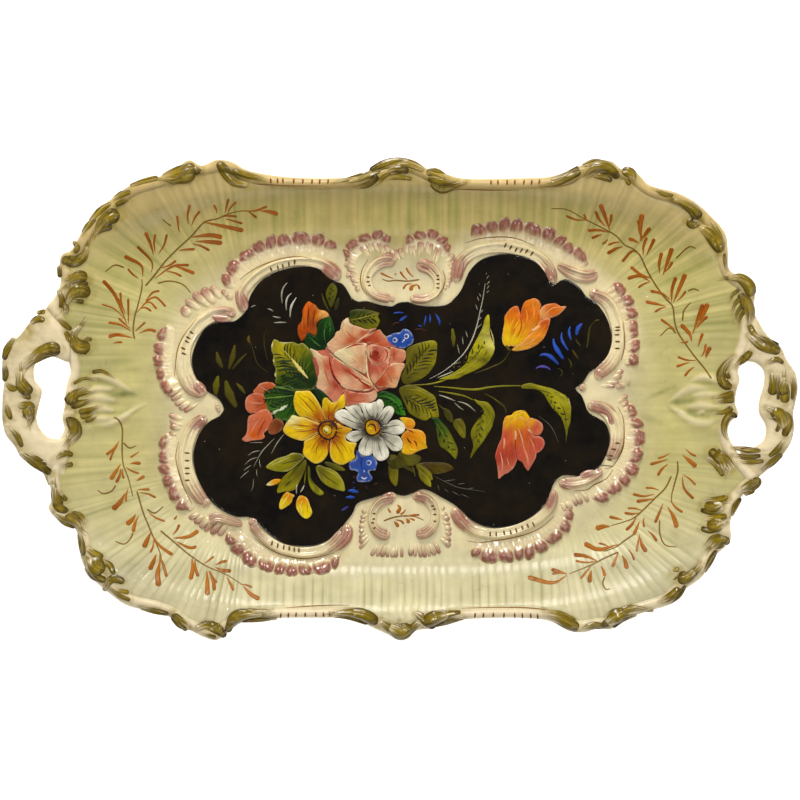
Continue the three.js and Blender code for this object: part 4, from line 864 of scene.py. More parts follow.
def palmette_rise(x, y):
    """How far the palmettes' ridges stand up from the wall."""
    rise = np.zeros(len(x))
    near = np.flatnonzero((np.abs(x) > 160) & (np.abs(y) < 32))
    for ridges in PALMETTES.values():
        for stations in ridges:
            path = smooth_path([(px, py, 1.7 * w) for px, py, w in stations], 0.8)
            apart = np.hypot(x[near, None] - path[None, :, 0], y[near, None] - path[None, :, 1]) / path[None, :, 2]
            at = apart.argmin(axis=1)
            ridge = 0.56 * path[at, 2] * np.exp(-1.4 * apart.min(axis=1) ** 2)
            rise[near] = np.maximum(rise[near], ridge)
    return rise


def wall_tint(x, y, oblong, folds, along):
    """Cream on the floor, green in streaks up the wall and browner under the top edge of the rim, with painted light
    and shade over it all.
    """
    tint = mix(IVORY, cream_at(y), fade(oblong, 0.55, 0.75))
    broad = clip01(0.4 + 0.6 * waver(along / 2.4, 5) + 0.35 * waver(along / 17, 6))
    fine = clip01(-1.6 * folds) * clip01(0.5 + 0.8 * waver(along / 6, 7))
    up = fade(y, -60, 90)
    band = fade(oblong, 0.68, 0.84) * (1 - 0.6 * fade(oblong, 0.93, 1.0))
    tint = mix(tint, MOSS, clip01((0.2 + 0.42 * up) * broad + (0.6 - 0.3 * up) * fine) * band)
    brown = fade(oblong, 0.84, 0.99) * (0.15 + 0.55 * fade(y, 60, 135))
    tint = mix(tint, WALL_BROWN, clip01(brown))
    dashes = clip01(-2.4 * folds - 0.1) * clip01(0.5 + waver(along / 5, 8)) * fade(y, -92, -112)
    tint = mix(tint, rgb("8b9a5c"), 0.42 * dashes * fade(oblong, 0.82, 0.87) * fade(oblong, 0.95, 0.9))
    for px, py, long, wide, turn, strength in POOLS:
        c, s = math.cos(math.radians(turn)), math.sin(math.radians(turn))
        u, v = ((x - px) * c + (y - py) * s) / long, ((y - py) * c - (x - px) * s) / wide
        tint = mix(tint, rgb("7f8630"), strength * np.exp(-u ** 4 - v ** 2) * (0.8 + 0.2 * waver(u * 5, px)))
    # Painted light and shade, multiplied into the tint: the floor darker except towards -Y, the upper wall lighter but
    # darker again under the rim, and a darker band across the foot of the lower wall.
    floor = 0.77 + 0.23 * fade(y, -50, -105)
    wall = 0.84 + 0.42 * fade(y, 40, 100) + 0.08 * fade(y, -60, -120) + 0.12 * fade(y, -128, -136)
    wall = wall - 0.2 * fade(oblong, 0.86, 0.96) * fade(y, 40, 110)
    shade = floor + (wall - floor) * fade(oblong, 0.69, 0.79)
    shade = shade * (1 - 0.13 * np.exp(-((y + 111) / 7) ** 2))
    # Painted shade in the valleys between the folds.
    painted_valley_shade = clip01(0.5 - folds) * fade(oblong, 0.7, 0.85)
    tint = clip01(tint * (shade * (1 - 0.12 * painted_valley_shade))[:, None])
    ring = smooth_path(GROUND_OUTLINE, 3.0, closed=True)
    gap = np.hypot(x[:, None] - ring[None, :, 0], y[:, None] - ring[None, :, 1]).min(axis=1)
    return mix(tint, PALE * 0.86, 0.85 * fade(gap, 25, 13))


def foot_shapes():
    """The unglazed ring that the tray stands on."""
    sides = 240
    angle = np.arange(sides) / sides * 2 * math.pi
    middle = np.array([BODY_LENGTH_HALF, BODY_WIDTH_HALF]) * FOOT_AT
    half = FOOT_WIDTH / 2
    top = FLOOR_TOP - WALL + 0.2
    section = [
        (-half, top), (-half * 0.95, 2.4), (-half * 0.84, 0.9), (-half * 0.66, 0.0), (half * 0.66, 0.0),
        (half * 0.84, 0.9), (half * 0.95, 2.4), (half, top),
    ]
    rings = []
    for across, z in [*section, section[0]]:
        x, y = (np.sign(f) * np.abs(f) ** (2 / OBLONG_POWER) for f in (np.cos(angle), np.sin(angle)))
        rings.append(np.column_stack([(middle[0] + across) * x, (middle[1] + across) * y, np.full(sides, z)]))
    rings = np.stack(rings)[:-1]
    m = len(section)
    faces = []
    for r in range(m):
        for i in range(sides):
            j, s = (i + 1) % sides, (r + 1) % m
            faces.append((r * sides + i, r * sides + j, s * sides + j, s * sides + i))
    bare = fade(rings[..., 2], 1.6, 0.4)
    tints = mix(IVORY, rgb("cbb48e"), bare)
    shapes = Shapes()
    shapes.add(rings.reshape(-1, 3), faces, tints.reshape(-1, 3), rings.reshape(-1, 3) * 0.3)
    return shapes


def ground_shapes():
    """The black ground: a lobed plate with a softened edge."""
    outline = smooth_path(GROUND_OUTLINE, 1.4, closed=True)
    outline = outline + 0.5 * -normals_of(outline, closed=True)
    core = np.column_stack([np.clip(outline[:, 0], -75, 75), np.clip(outline[:, 1], -35, 35)])
    rings = []
    for share, drop in [
        (0.1, 0.0), (0.4, 0.0), (0.7, 0.0), (0.9, 0.0), (0.98, 0.0), (0.995, 0.06), (1.0, 0.3), (1.0, 1.8),
        (0.9, 1.9), (0.1, 1.9),
    ]:
        points = core + (outline - core) * share
        rings.append(np.column_stack([points, np.full(len(points), GROUND_TOP - drop)]))
    shapes = Shapes()
    shapes.add_rings(np.stack(rings), BLACK, (0, 0, 0), fan=True)
    return shapes


def loop_shapes(loop):
    """A handle: a strap with a rounded top, between its outer and inner edges."""
    path = smooth_path([((a + c) / 2, (b + d) / 2, a, b, c, d) for a, b, c, d in loop], 1.3)
    turn = np.linspace(0, 2 * math.pi, 28, endpoint=False)
    across = 0.5 - 0.5 * np.sign(np.cos(turn)) * np.abs(np.cos(turn)) ** 0.75
    up = np.sign(np.sin(turn)) * np.abs(np.sin(turn)) ** 0.8
    outer, inner = path[:, 2:4], path[:, 4:6]
    flat = outer[:, None] + (inner - outer)[:, None] * across[None, :, None]
    end = np.minimum(np.arange(len(path)), np.arange(len(path))[::-1])
    grown = fade(end, -2, 12)[:, None]
    z = RIM_HEIGHT - 2.6 + np.where(up > 0, 4.6 * grown, 3.4) * up[None]
    rings = np.concatenate([flat, z[..., None]], axis=2)
    x, y = flat[..., 0], flat[..., 1]
    edge = clip01(np.abs(across - 0.5) * 2)[None]
    spots = 0.5 + 0.5 * waver(x / 3 + 2 * waver(y / 4, 1), 2)
    outer_side = fade(across, 0.5, 0.05)[None]
    olive = clip01(outer_side * 0.9 * spots + 0.12 * edge * spots)
    olive = np.maximum(olive, 0.7 * olive_stain(x.ravel(), y.ravel()).reshape(x.shape))
    tints = mix(lip_at(y), OLIVE, olive * 0.9)
    tints = mix(tints, IVORY * 0.9, np.broadcast_to(fade(-up, 0.1, 0.5)[None], x.shape))
    shapes = Shapes()
    shapes.add_rings(rings, tints, np.dstack([y, x, x * 0]))
    return shapes

# The painted sprigs in the four corners: stems, curling tendrils, and leaves from base to tip with a width.
SPRIGS = {
    "painted_sprig_top_left": {
        "stems": [
            [(-175, 40), (-176, 45), (-175, 55), (-173, 62), (-170, 75), (-170, 80)],
            [(-168, 75), (-162, 82), (-155, 91), (-147, 99), (-137, 108), (-128, 117), (-120, 119), (-113, 122),
             (-104, 124), (-97, 124)],
            [(-181, 87), (-187, 88.5), (-193.5, 84)], [(-150, 114), (-156, 118.5)],
            [(-160, 77), (-152, 78.5), (-143, 76), (-138, 70.5)],
        ],
        "leaves": [
            (1.6, (-176, 41), (-187, 43), (-192, 41.5)), (0.8, (-189, 37.3), (-183, 38)),
            (1.0, (-177, 45), (-184, 49.5), (-192, 51)), (0.8, (-178, 47), (-185.5, 54)),
            (1.6, (-180, 50), (-188, 70), (-195, 78.5)), (0.5, (-182, 54), (-188, 60), (-196, 63)),
            (0.8, (-179, 50), (-179, 67)), (0.8, (-181, 57), (-184, 71)), (0.8, (-182, 60), (-189, 70)),
            (0.8, (-175, 45), (-168, 51.5)), (1.2, (-172.5, 44), (-165, 46.5), (-161, 45)),
            (0.8, (-174.5, 57), (-162, 68), (-154.5, 61.5)), (0.8, (-172, 60), (-168, 61), (-164, 58.5)),
            (0.8, (-170, 63), (-165, 64.5), (-160.5, 60)), (0.8, (-168, 65), (-163, 71), (-158.5, 72)),
            (1.6, (-169.5, 81), (-170, 88), (-181, 94.5)), (0.8, (-172, 80), (-179, 86.5)),
            (1.2, (-164, 84), (-163, 90), (-172.5, 101)), (1.5, (-162, 95), (-164, 103), (-167, 110)),
            (0.8, (-161, 97), (-160.5, 109)), (0.8, (-159, 96), (-153, 109)), (0.8, (-145, 110), (-146, 121)),
            (1.0, (-139, 115), (-137.5, 128)), (1.0, (-162, 80), (-149, 88.5), (-139, 89)),
            (1.5, (-150, 89), (-135.5, 83.5)), (0.8, (-154, 85), (-144, 81.5)), (0.8, (-158, 87), (-147.5, 92)),
            (1.0, (-146, 98.5), (-135, 99.5)), (0.8, (-137, 114), (-131, 124)),
            (2.0, (-138, 107), (-124, 108.5), (-117, 107)), (2.0, (-135, 104.5), (-117, 103.5)),
            (1.0, (-137, 103), (-125.5, 98.5)), (1.8, (-130, 117), (-112, 113.5), (-103, 111.5)),
            (0.8, (-115, 119), (-103.5, 116)), (0.8, (-118, 120), (-107, 120.5)), (0.8, (-120, 122), (-122, 128)),
            (0.8, (-115, 122), (-112, 132)), (0.8, (-113, 123), (-107, 130)), (0.8, (-104, 124), (-87, 127)),
            (0.8, (-100, 124), (-94, 119.5)), (1.8, (-92, 124), (-80, 122)),
        ],
    },
    "painted_sprig_top_right": {
        "stems": [
            [(204.5, 14), (200, 21), (196, 26), (188, 37), (183, 45), (181, 52), (179.5, 62), (175, 67), (169, 75),
             (163, 85), (158, 95), (154, 99), (148, 102), (142, 108), (135, 112), (127, 116), (119, 120),
             (109, 125), (99, 125.5)],
            [(186, 52), (187, 59), (191.5, 64.5)], [(182, 44), (178, 47.5), (171.5, 42)],
            [(189, 71.5), (193, 73), (196.5, 71.5)], [(181, 93), (190, 100.5), (194, 99)],
        ],
        "leaves": [
            (1.8, (192, 38), (191, 43), (185, 50)), (1.8, (192.5, 43), (199, 63)), (2.2, (194, 50), (202, 63.5)),
            (1.5, (195, 47), (202, 55)), (1.2, (196, 35), (199, 44)), (0.8, (198, 28), (201, 37)),
            (2.0, (201, 27), (204, 35)), (1.0, (182, 46), (172, 53.5)), (0.8, (184.5, 38), (190, 38.5)),
            (0.8, (195, 26), (183, 28.5)), (1.0, (191, 25), (182, 22)), (1.0, (194, 22), (187.5, 15.5)),
            (1.5, (179, 64), (181.5, 81)), (2.0, (180, 64), (187.5, 83)), (0.8, (182, 65), (188, 72)),
            (1.2, (178, 66), (173, 70), (165, 72)), (1.4, (175, 62), (162, 65)), (0.8, (176, 61.5), (168, 58)),
            (1.5, (171, 83), (172, 97)), (2.0, (173, 82), (178.5, 100)), (1.2, (174, 84), (179, 91)),
            (1.2, (166, 80), (152, 88)), (1.6, (165, 78), (158, 82), (150, 80)), (0.8, (165, 78), (157, 74)),
            (1.2, (160, 95), (162, 107)), (1.5, (162, 95), (167, 106)), (0.8, (158, 104), (155.5, 118)),
            (2.4, (159, 104), (158.5, 122)), (1.8, (158, 105), (164, 113)), (1.4, (157, 103), (150, 106)),
            (1.2, (158, 96), (153, 98), (146.5, 91)), (1.6, (147, 101), (143, 100), (136.5, 96.5)),
            (0.8, (145, 104), (137, 102)), (0.8, (137, 106), (133, 102.5)), (1.8, (138, 111), (131, 128.5)),
            (1.2, (137, 113), (138.5, 122)), (1.2, (135, 114), (128, 124)), (1.2, (133, 109), (126, 106.5)),
            (1.2, (138, 110), (123.5, 111.5)), (0.8, (122, 118), (109, 121)), (0.8, (123, 117), (120.5, 122)),
        ],
    },
    "painted_sprig_bottom_left": {
        "stems": [
            [(-188.7, -11.3), (-185.4, -13.2), (-183.2, -18.5), (-183.2, -30), (-182.5, -42), (-179, -52), (-176, -64)],
            [(-173.5, -60), (-171.5, -67), (-169, -75), (-166, -82), (-163, -89), (-158, -100), (-156, -108),
             (-153.5, -115.5)],
            [(-158, -86), (-152, -91), (-146, -96), (-140, -101), (-128, -109), (-114, -115), (-104, -121)],
            [(-187, -56), (-190, -60), (-195, -61.5), (-199, -59)], [(-182.6, -28), (-178.4, -31.6), (-173.8, -30.1)], [(-167, -72), (-162, -74.5), (-156, -70)],
            [(-175.5, -87), (-177, -91), (-181, -94.5), (-187, -92.5)],
        ],
        "leaves": [
            (1.2, (-185, -27), (-193.5, -36)), (0.8, (-186, -30), (-191, -40)), (1.8, (-184, -42), (-190.5, -52.5)),
            (1.3, (-184, -45), (-187, -54.5)), (0.8, (-183, -45), (-182, -52)), (0.8, (-172, -34), (-178, -38)),
            (1.5, (-178, -42), (-171, -42)), (0.8, (-181, -44), (-172, -48.5)), (1.5, (-174, -53.5), (-168.5, -50)),
            (2.6, (-181, -61), (-189, -72)), (0.8, (-179, -58), (-180.5, -67)), (1.0, (-173, -59), (-165, -59)),
            (0.8, (-172, -61), (-161, -64.5)), (0.8, (-166, -74), (-155, -80)), (0.8, (-147, -76), (-149, -79)),
            (2.4, (-174, -75), (-180, -82)), (1.6, (-172, -76), (-175.5, -87)), (2.4, (-164, -87), (-168.5, -97)),
            (0.8, (-162, -90), (-164, -100.5)), (1.4, (-163, -89), (-158, -96), (-149.5, -102)),
            (2.2, (-160, -101), (-164, -111.5)), (0.8, (-158, -101), (-158.5, -110)), (2.6, (-157, -104), (-158, -122)),
            (1.2, (-156, -105), (-153, -116)), (1.8, (-150, -91), (-139, -90), (-133, -86)),
            (1.1, (-150, -89), (-145.5, -82)), (1.3, (-148, -93), (-138, -97.5), (-134, -96.5)),
            (2.0, (-137, -104), (-137.5, -118)), (1.4, (-135, -104), (-132.5, -116)), (0.8, (-129, -108), (-122.5, -103)),
            (1.2, (-122, -109), (-114, -106)), (1.6, (-122, -110), (-111, -112.5)), (2.2, (-127, -112), (-126, -128)),
            (1.6, (-126, -112), (-121.5, -125)), (0.8, (-125, -112), (-120, -120)), (1.2, (-114, -116), (-109, -125)),
            (0.8, (-105, -121), (-97, -123)), (2.0, (-103, -122), (-92, -130.5)),
        ],
    },
    "painted_sprig_bottom_right": {
        "stems": [
            [(183, -40), (183, -47), (181, -55), (179, -63), (179, -68)],
            [(179, -50), (175, -58), (168, -65), (160, -73), (154, -78), (146, -81), (139, -83)],
            [(155, -88), (149, -92), (142, -97), (134, -100)],
            [(144, -100), (135, -104), (126, -108.5), (111, -114.5)],
            [(171, -79), (171, -88), (174, -95), (182, -96.5)], [(134.5, -116), (133, -120), (135, -124), (138, -123.5)],
        ],
        "leaves": [
            (2.2, (186, -36), (195, -44)), (0.8, (188, -32), (195, -37)), (0.8, (178, -35), (170, -38.5)),
            (1.2, (177, -39), (165, -42.5)), (1.1, (177, -42), (170, -50)), (0.8, (186, -49), (194.5, -56)),
            (1.2, (186, -50), (187, -58), (193, -65)), (1.1, (178, -66), (186, -74)), (2.2, (176, -70), (182, -84)),
            (1.2, (173.5, -68), (168, -81)), (0.8, (171, -59.5), (162, -58)), (1.1, (168, -62), (161, -63.5), (153.5, -62)),
            (1.5, (168, -65), (156, -67)), (0.8, (160, -73), (150, -71.5)), (1.1, (158, -74.5), (148, -74.5)),
            (1.3, (147, -79), (138, -77)), (2.6, (139, -83.5), (129, -85)), (1.3, (156, -77), (149, -86)),
            (1.4, (158, -80), (154, -89)), (0.8, (161, -77), (161, -84)), (1.2, (163, -86), (169, -93)),
            (0.8, (158, -88), (155.5, -100)), (2.0, (158, -90), (162, -100)), (0.8, (150, -98), (154, -105.5)),
            (2.2, (144, -95), (131, -98.5), (121.5, -94.5)), (0.8, (138, -97), (131, -94.5)),
            (2.0, (146, -102), (149, -111)), (1.2, (144, -100), (139.5, -110)), (1.8, (130, -106), (114.5, -102)),
            (0.8, (130, -106), (115.5, -106)), (0.8, (126, -109), (118.5, -117.5)), (2.0, (126, -112), (124.5, -120)),
            (1.3, (132, -109), (134.5, -116)), (1.6, (110, -114.5), (99.5, -111.5)), (0.8, (110, -114.5), (100, -114.5)),
            (2.0, (110, -115), (101, -120), (84, -116.5)),
        ],
    },
    "painted_sprig_cartouche_top": {
        "stems": [[(13, 79.5), (5, 78.5), (-3, 79), (-8, 78.5), (-12, 80)]],
        "leaves": [
            (0.8, (-4, 80), (-9, 82), (-13, 84)), (0.8, (5, 79), (2, 82), (0, 85)), (0.8, (9, 81), (6, 84), (4, 87.5)),
            (1.4, (-2.4, 82.6), (-3.6, 83.4)), (0.8, (8, 77), (4, 76), (2, 73)), (1.8, (11, 76), (8, 75), (7, 72)),
            (0.8, (10, 76.5), (12, 75.5), (13, 73)),
        ],
    },
    "painted_sprig_cartouche_bottom": {
        "stems": [[(-11, -80), (-6, -78), (2, -76.5), (10, -77), (16, -79.5)]],
        "leaves": [
            (0.8, (-8, -71), (-6, -74.5)), (1.8, (-2, -69), (0, -71), (-2, -75)), (0.8, (4, -72), (2, -74.5), (0, -75.5)),
            (0.8, (3, -77), (8, -76), (13, -75.8)), (1.7, (4, -78), (6, -81.5)), (0.8, (6, -78), (10, -79.5)),
            (0.8, (-3, -79), (1, -80), (2.5, -82)), (1.7, (-4, -80), (-1, -84)),
        ],
    },
}

# ------------------------------------------------------------------ strokes


def rounded_ends(run, reach):
    """Along a stroke: 0 at both ends, rising to 1 in a quarter circle."""
    t = clip01(np.minimum(run, run[-1] - run) / np.maximum(reach, 0.01))
    return np.sqrt(1 - (1 - t) ** 2)


def stroke_sheet(stations, spacing, columns, left=-1.0, right=1.0, blunt=0.12):
    """A stroke's points in plan, with the run along it and how far across, -1 on its left to 1 on its right."""
    path = smooth_path(stations, spacing)
    run = np.concatenate([[0], np.cumsum(np.linalg.norm(np.diff(path[:, :2], axis=0), axis=1))])
    half = path[:, 2] * np.maximum(rounded_ends(run, path[:, 2]), blunt)
    across = np.linspace(left, right, columns)
    flat = path[:, None, :2] - normals_of(path)[:, None] * (half[:, None] * across)[..., None]
    return flat, run, half, across


def close_sheet(shapes, flat, top, below, tints, brushes):
    """Makes a sheet with a top surface into a closed body with three points across its underside."""
    columns = flat.shape[1]
    under = np.round(np.array([0.9, 0.5, 0.1]) * (columns - 1)).astype(int)
    bottom = np.concatenate([flat[:, under], below[:, under, None]], axis=2)
    rings = np.concatenate([np.concatenate([flat, top[..., None]], axis=2), bottom], axis=1)
    tints = np.concatenate([tints, tints[:, under]], axis=1)
    brushes = np.concatenate([brushes, brushes[:, under]], axis=1)
    shapes.add_rings(rings, tints, brushes)


def brush_field(run, across, half, seed):
    brushes = np.empty((len(run), len(across), 3))
    brushes[..., 0] = run[:, None] + 37 * seed
    brushes[..., 1] = across * np.mean(half)
    brushes[..., 2] = 0
    return brushes


def lay_stroke(shapes, surface, stations, thick, colour_from, colour_to, seed=0.0, edge=0.75, spacing=0.9):
    """A thin brush stroke lying on a surface, changing colour from its first point to its last."""
    flat, run, half, across = stroke_sheet(stations, spacing, 5)
    below = surface.heights(flat[..., 0], flat[..., 1])
    lens = thick * (1 - across ** 2) * np.maximum(rounded_ends(run, half * 2), 0.3)[:, None]
    top = np.maximum(below, below[:, 2:3] - 0.1) + lens + 0.04
    tint = mix(np.broadcast_to(colour_from, (len(run), 3)), colour_to, run / run[-1])
    # The stroke's colour darker towards its edges.
    darker_towards_edges = 1 - (1 - edge) * np.abs(across) ** 2
    tints = tint[:, None] * darker_towards_edges[None, :, None]
    close_sheet(shapes, flat, top, below - 0.25, tints, brush_field(run, across, half, seed))


def with_widths(points, start, middle, end):
    """Stations of a stroke that is given only by its points."""
    path = np.asarray(points, float)[:, :2]
    t = np.linspace(0, 1, len(path))
    half = np.where(t < 0.5, start + (middle - start) * t * 2, middle + (end - middle) * (t * 2 - 1))
    return np.column_stack([path, half]).tolist()


def densified(points, count=7):
    path = smooth_path(points, 0.5)
    return path[np.linspace(0, len(path) - 1, min(count, len(path))).astype(int)]


# ------------------------------------------------------------------ relief bodies


def outward_first(stations):
    """Stations in the order that puts the outside of the tray on the stroke's left."""
    path = np.asarray(stations, float)
    side = normals_of(path)
    facing = np.sum(side * path[:, :2])
    return stations if facing > 0 else stations[::-1]


def painted_key_side_shade(tints, y):
    """Painted shade: the tints a little darker on the side towards -Y, which faces the key light."""
    return tints * (1 - 0.14 * fade(y, -30, -90))[..., None]


def scroll_shapes(stations, seed):
    """An ivory scroll of the frame: raised outer edge, falling to the black ground, pink at its ends."""
    flat, run, half, across = stroke_sheet(outward_first(stations), 0.55, 25, left=-1.12, right=1.06)
    x, y = flat[..., 0], flat[..., 1]
    base = shell_top(x, y)
    ridge = np.exp(-((across + 0.5) / 0.34) ** 2)
    body = np.sqrt(clip01(1 - (across / 1.1) ** 4))
    profile = body * (0.62 + 0.5 * ridge) * fade(np.abs(across), 1.13, 0.9)
    swell = np.maximum(rounded_ends(run, half * 1.6), 0.2)
    top = base - 0.3 + 3.5 * profile[None] * swell[:, None]
    to_end = np.minimum(run, run[-1] - run)[:, None]
    hairs = clip01(0.5 + 0.55 * waver(across * 13 + seed, seed)[None] + 0.15 * waver(run / 2.3, seed)[:, None])
    feather = np.maximum(fade(to_end - 10 * hairs, 15, 0), 0.16 * hairs * np.ones_like(to_end))
    tints = mix(np.broadcast_to(PALE, (*x.shape, 3)), mix(MAUVE_PALE_AND_HIGHLIGHT, MAUVE, hairs), feather * 0.85)
    # Painted shade in ochre along both edges of the band; then the whole scroll is darkened towards -Y as painted
    # shade.
    shade = fade(across, -0.85, -1.08)[None] * 0.12 + fade(across, 0.9, 1.06)[None] * 0.16
    ochre = np.exp(-((across + 0.02) / 0.09) ** 2)[None] * 0.12 * (0.6 + 0.4 * waver(run / 5, seed))[:, None]
    tints = painted_key_side_shade(mix(tints, OCHRE, clip01(shade + ochre)), y)
    brushes = brush_field(run, across, half, seed)
    shapes = Shapes()
    close_sheet(shapes, flat, top, base - 1.3, tints, brushes)
    return shapes


LOBE_PITCH, SMALL_LOBE_PITCH = 9.2, 7.2


def fringe_shapes(stations, pitch, seed):
    """A fringe outside a scroll: glossy mauve lobes that fade inwards in streaks over soft ridges."""
    flat, run, half, across = stroke_sheet(outward_first(stations), 0.5, 33, left=-1.25, right=2.3)
    count = max(2, round(run[-1] / pitch))
    phase = run / run[-1] * count + 0.22 * np.sin(run / 6.3 + seed) * fade(np.minimum(run, run[-1] - run), 0, 9)
    lobe = np.abs(np.sin(math.pi * phase)) ** 0.45
    sub = np.abs(np.sin(2 * math.pi * phase + 0.9 * np.sin(run / 5 + seed))) ** 0.7
    turn = np.sin(2.1 * np.floor(phase) + seed) + 0.6 * np.sin(5.3 * np.floor(phase) + 2 * seed)
    reach = 0.6 + 0.5 * lobe + 0.08 * sub + 0.14 * turn * lobe
    outer = across < 0
    squeezed = np.where(outer, across * reach[:, None], across[None])
    centre = smooth_path(outward_first(stations), 0.5)
    flat = centre[:, None, :2] - normals_of(centre)[:, None] * (half[:, None] * squeezed)[..., None]
    ahead = np.gradient(centre[:, :2], axis=0)
    ahead /= np.linalg.norm(ahead, axis=1, keepdims=True)
    lean = 1.3 * np.sin(1.7 * phase + seed)[:, None] * (-squeezed).clip(-1, 2)
    flat = flat + ahead[:, None] * lean[..., None]
    x, y = flat[..., 0], flat[..., 1]
    base = shell_top(x, y)
    hairs = clip01(0.5 + 0.5 * waver(run / 1.15 + seed, seed))
    crowned = (0.2 + 0.8 * lobe * (0.74 + 0.26 * sub))[:, None]
    knob = np.exp(-((across + 0.3) / 0.95) ** 2)[None] * crowned
    ridges = 0.4 * fade(across, 2.3, 0.3)[None] * (0.5 + 0.5 * hairs)[:, None]
    rim = np.sqrt(clip01((across + 1.25) / 0.4))[None]
    ends = np.maximum(rounded_ends(run, half * 1.2), 0.2)
    height = np.maximum(knob, ridges) * rim
    top = base - 0.2 * fade(across, -0.9, -1.25)[None] + 3.5 * height * ends[:, None]
    top -= 0.35 * fade(across, 2.0, 2.3)[None]
    blush = fade(knob + 0.16 * (hairs - 0.5)[:, None], 0.25, 0.6) * fade(across[None] + 0.9 * hairs[:, None], 1.5, 0.1)
    strands = (0.12 + 0.45 * hairs * (1 - 0.6 * lobe))[:, None] * fade(across, 2.3, 0.5)[None]
    tints = mix(np.broadcast_to(PALE, (*x.shape, 3)), mix(MAUVE_PALE_AND_HIGHLIGHT, MAUVE, 0.35), strands)
    # Darker mauve towards the lobes' outer edges: their own darker tips, with painted shade where they fall away.
    body = mix(np.broadcast_to(MAUVE, (*x.shape, 3)), MAUVE_DARK_AND_SHADE, 0.6 * fade(across, -0.55, -1.15)[None] * crowned)
    # A painted highlight in pale mauve on the top of each knob.
    body = mix(body, MAUVE_PALE_AND_HIGHLIGHT, fade(knob, 0.82, 1.0) * (0.25 + 0.5 * hairs)[:, None])
    tints = mix(tints, body, blush)
    # Painted shade in darker mauve on the outer rim where the fringe meets the wall, then more painted shade towards
    # -Y.
    tints = painted_key_side_shade(mix(tints, MAUVE_DARK_AND_SHADE, 0.35 * fade(across, -1.0, -1.25)[None] * np.ones_like(knob)), y)
    brushes = np.stack([squeezed * half[:, None], np.broadcast_to(run[:, None], x.shape), x * 0 + seed], axis=-1)
    shapes = Shapes()
    close_sheet(shapes, flat, top, base - 1.2, tints, brushes)
    return shapes


def olive_stroke(shapes, surface, stations, crown, wider, tone, seed):
    """One glazed olive stroke of the rim: dark at its broad tip, painted shade down its sides, a golden painted
    highlight on its crest, feathered at its thin end.
    """
    broad_last = stations[-1][2] >= stations[0][2]
    ordered = stations if broad_last else stations[::-1]
    flat, run, half, across = stroke_sheet([(x, y, wider * w) for x, y, w in ordered], 0.6, 19)
    x, y = flat[..., 0], flat[..., 1]
    base = surface.heights(x, y)
    base = np.maximum(base, base[:, 9:10] - 1.6)
    grooves = 1 - 0.16 * np.abs(np.sin(across * 5.4 + 0.7 * seed))[None] * np.ones((len(run), 1))
    dome = np.sqrt(1 - across ** 2)[None] * grooves
    swell = np.maximum(rounded_ends(run, half * 1.5), 0.12)[:, None]
    lumps = 1 + 0.14 * waver(run / 2.4 + seed, seed)[:, None]
    rise = np.minimum(crown, half * 0.62)[:, None]
    top = base - 0.15 + rise * dome * swell * lumps
    way = (run / run[-1])[:, None]
    patch = 0.5 + 0.5 * waver(run / 3.3 + 2 * seed, seed + 1)[:, None] + 0.2 * waver(across * 5, seed)[None]
    hairs = clip01(0.5 + 0.55 * waver(across * 8 + seed, seed))[None]
    # A painted highlight along the crest.
    light = np.exp(-((across + 0.2 * math.sin(seed)) / 0.4) ** 2)[None] * (0.4 + 0.6 * tone)
    # Darker towards the broad tip, and painted shade where the dome falls away at the sides.
    depth = clip01(0.2 + 0.6 * tone + 0.7 * (dome - 0.6) - 0.65 * fade(way, 0.66, 1.0) * (1 - 0.5 * patch))
    tints = mix(np.broadcast_to(OLIVE_DARK_AND_SHADE, (*x.shape, 3)), OLIVE, depth * (1 - 0.5 * fade(hairs, 0.4, 0.1)))
    tints = mix(tints, OLIVE_PAINTED_HIGHLIGHT, clip01(light * patch * 0.6))
    bare = lip_at(y)
    thin = fade(way + 0.5 * hairs, 0.62, 0.18)
    tints = mix(tints, bare, clip01(thin * 0.9))
    tints = mix(tints, bare, 0.5 * fade(np.abs(across), 0.8, 1.0)[None] * fade(way, 0.5, 0.2))
    close_sheet(shapes, flat, top, base - 0.8, tints, brush_field(run, across, half, seed))


def olive_hairs(shapes, surface, stations, seed):
    """Fine olive brush hairs that run on past the thin end of a stroke, where there is glaze below them."""
    path = np.asarray(stations if stations[-1][2] >= stations[0][2] else stations[::-1], float)
    end, inner = path[0, :2], path[1, :2]
    ahead = (end - inner) / np.linalg.norm(end - inner)
    side = np.array([-ahead[1], ahead[0]])
    for k in range(-1, 2):
        reach = 5.6 + 1.8 * math.sin(2.3 * k + seed)
        points = [end - 4 * ahead + 0.7 * k * side, end + 0.3 * reach * ahead + 0.9 * k * side,
                  end + reach * ahead + (1.3 + 0.3 * math.sin(seed)) * k * side]
        if all(surface.covers(*point) for point in points):
            tip = mix(OLIVE, lip_at(points[-1][1]), 0.45)
            lay_stroke(shapes, surface, with_widths(points, 0.6, 0.42, 0.1), 0.18, OLIVE * 0.8, tip, seed + k)


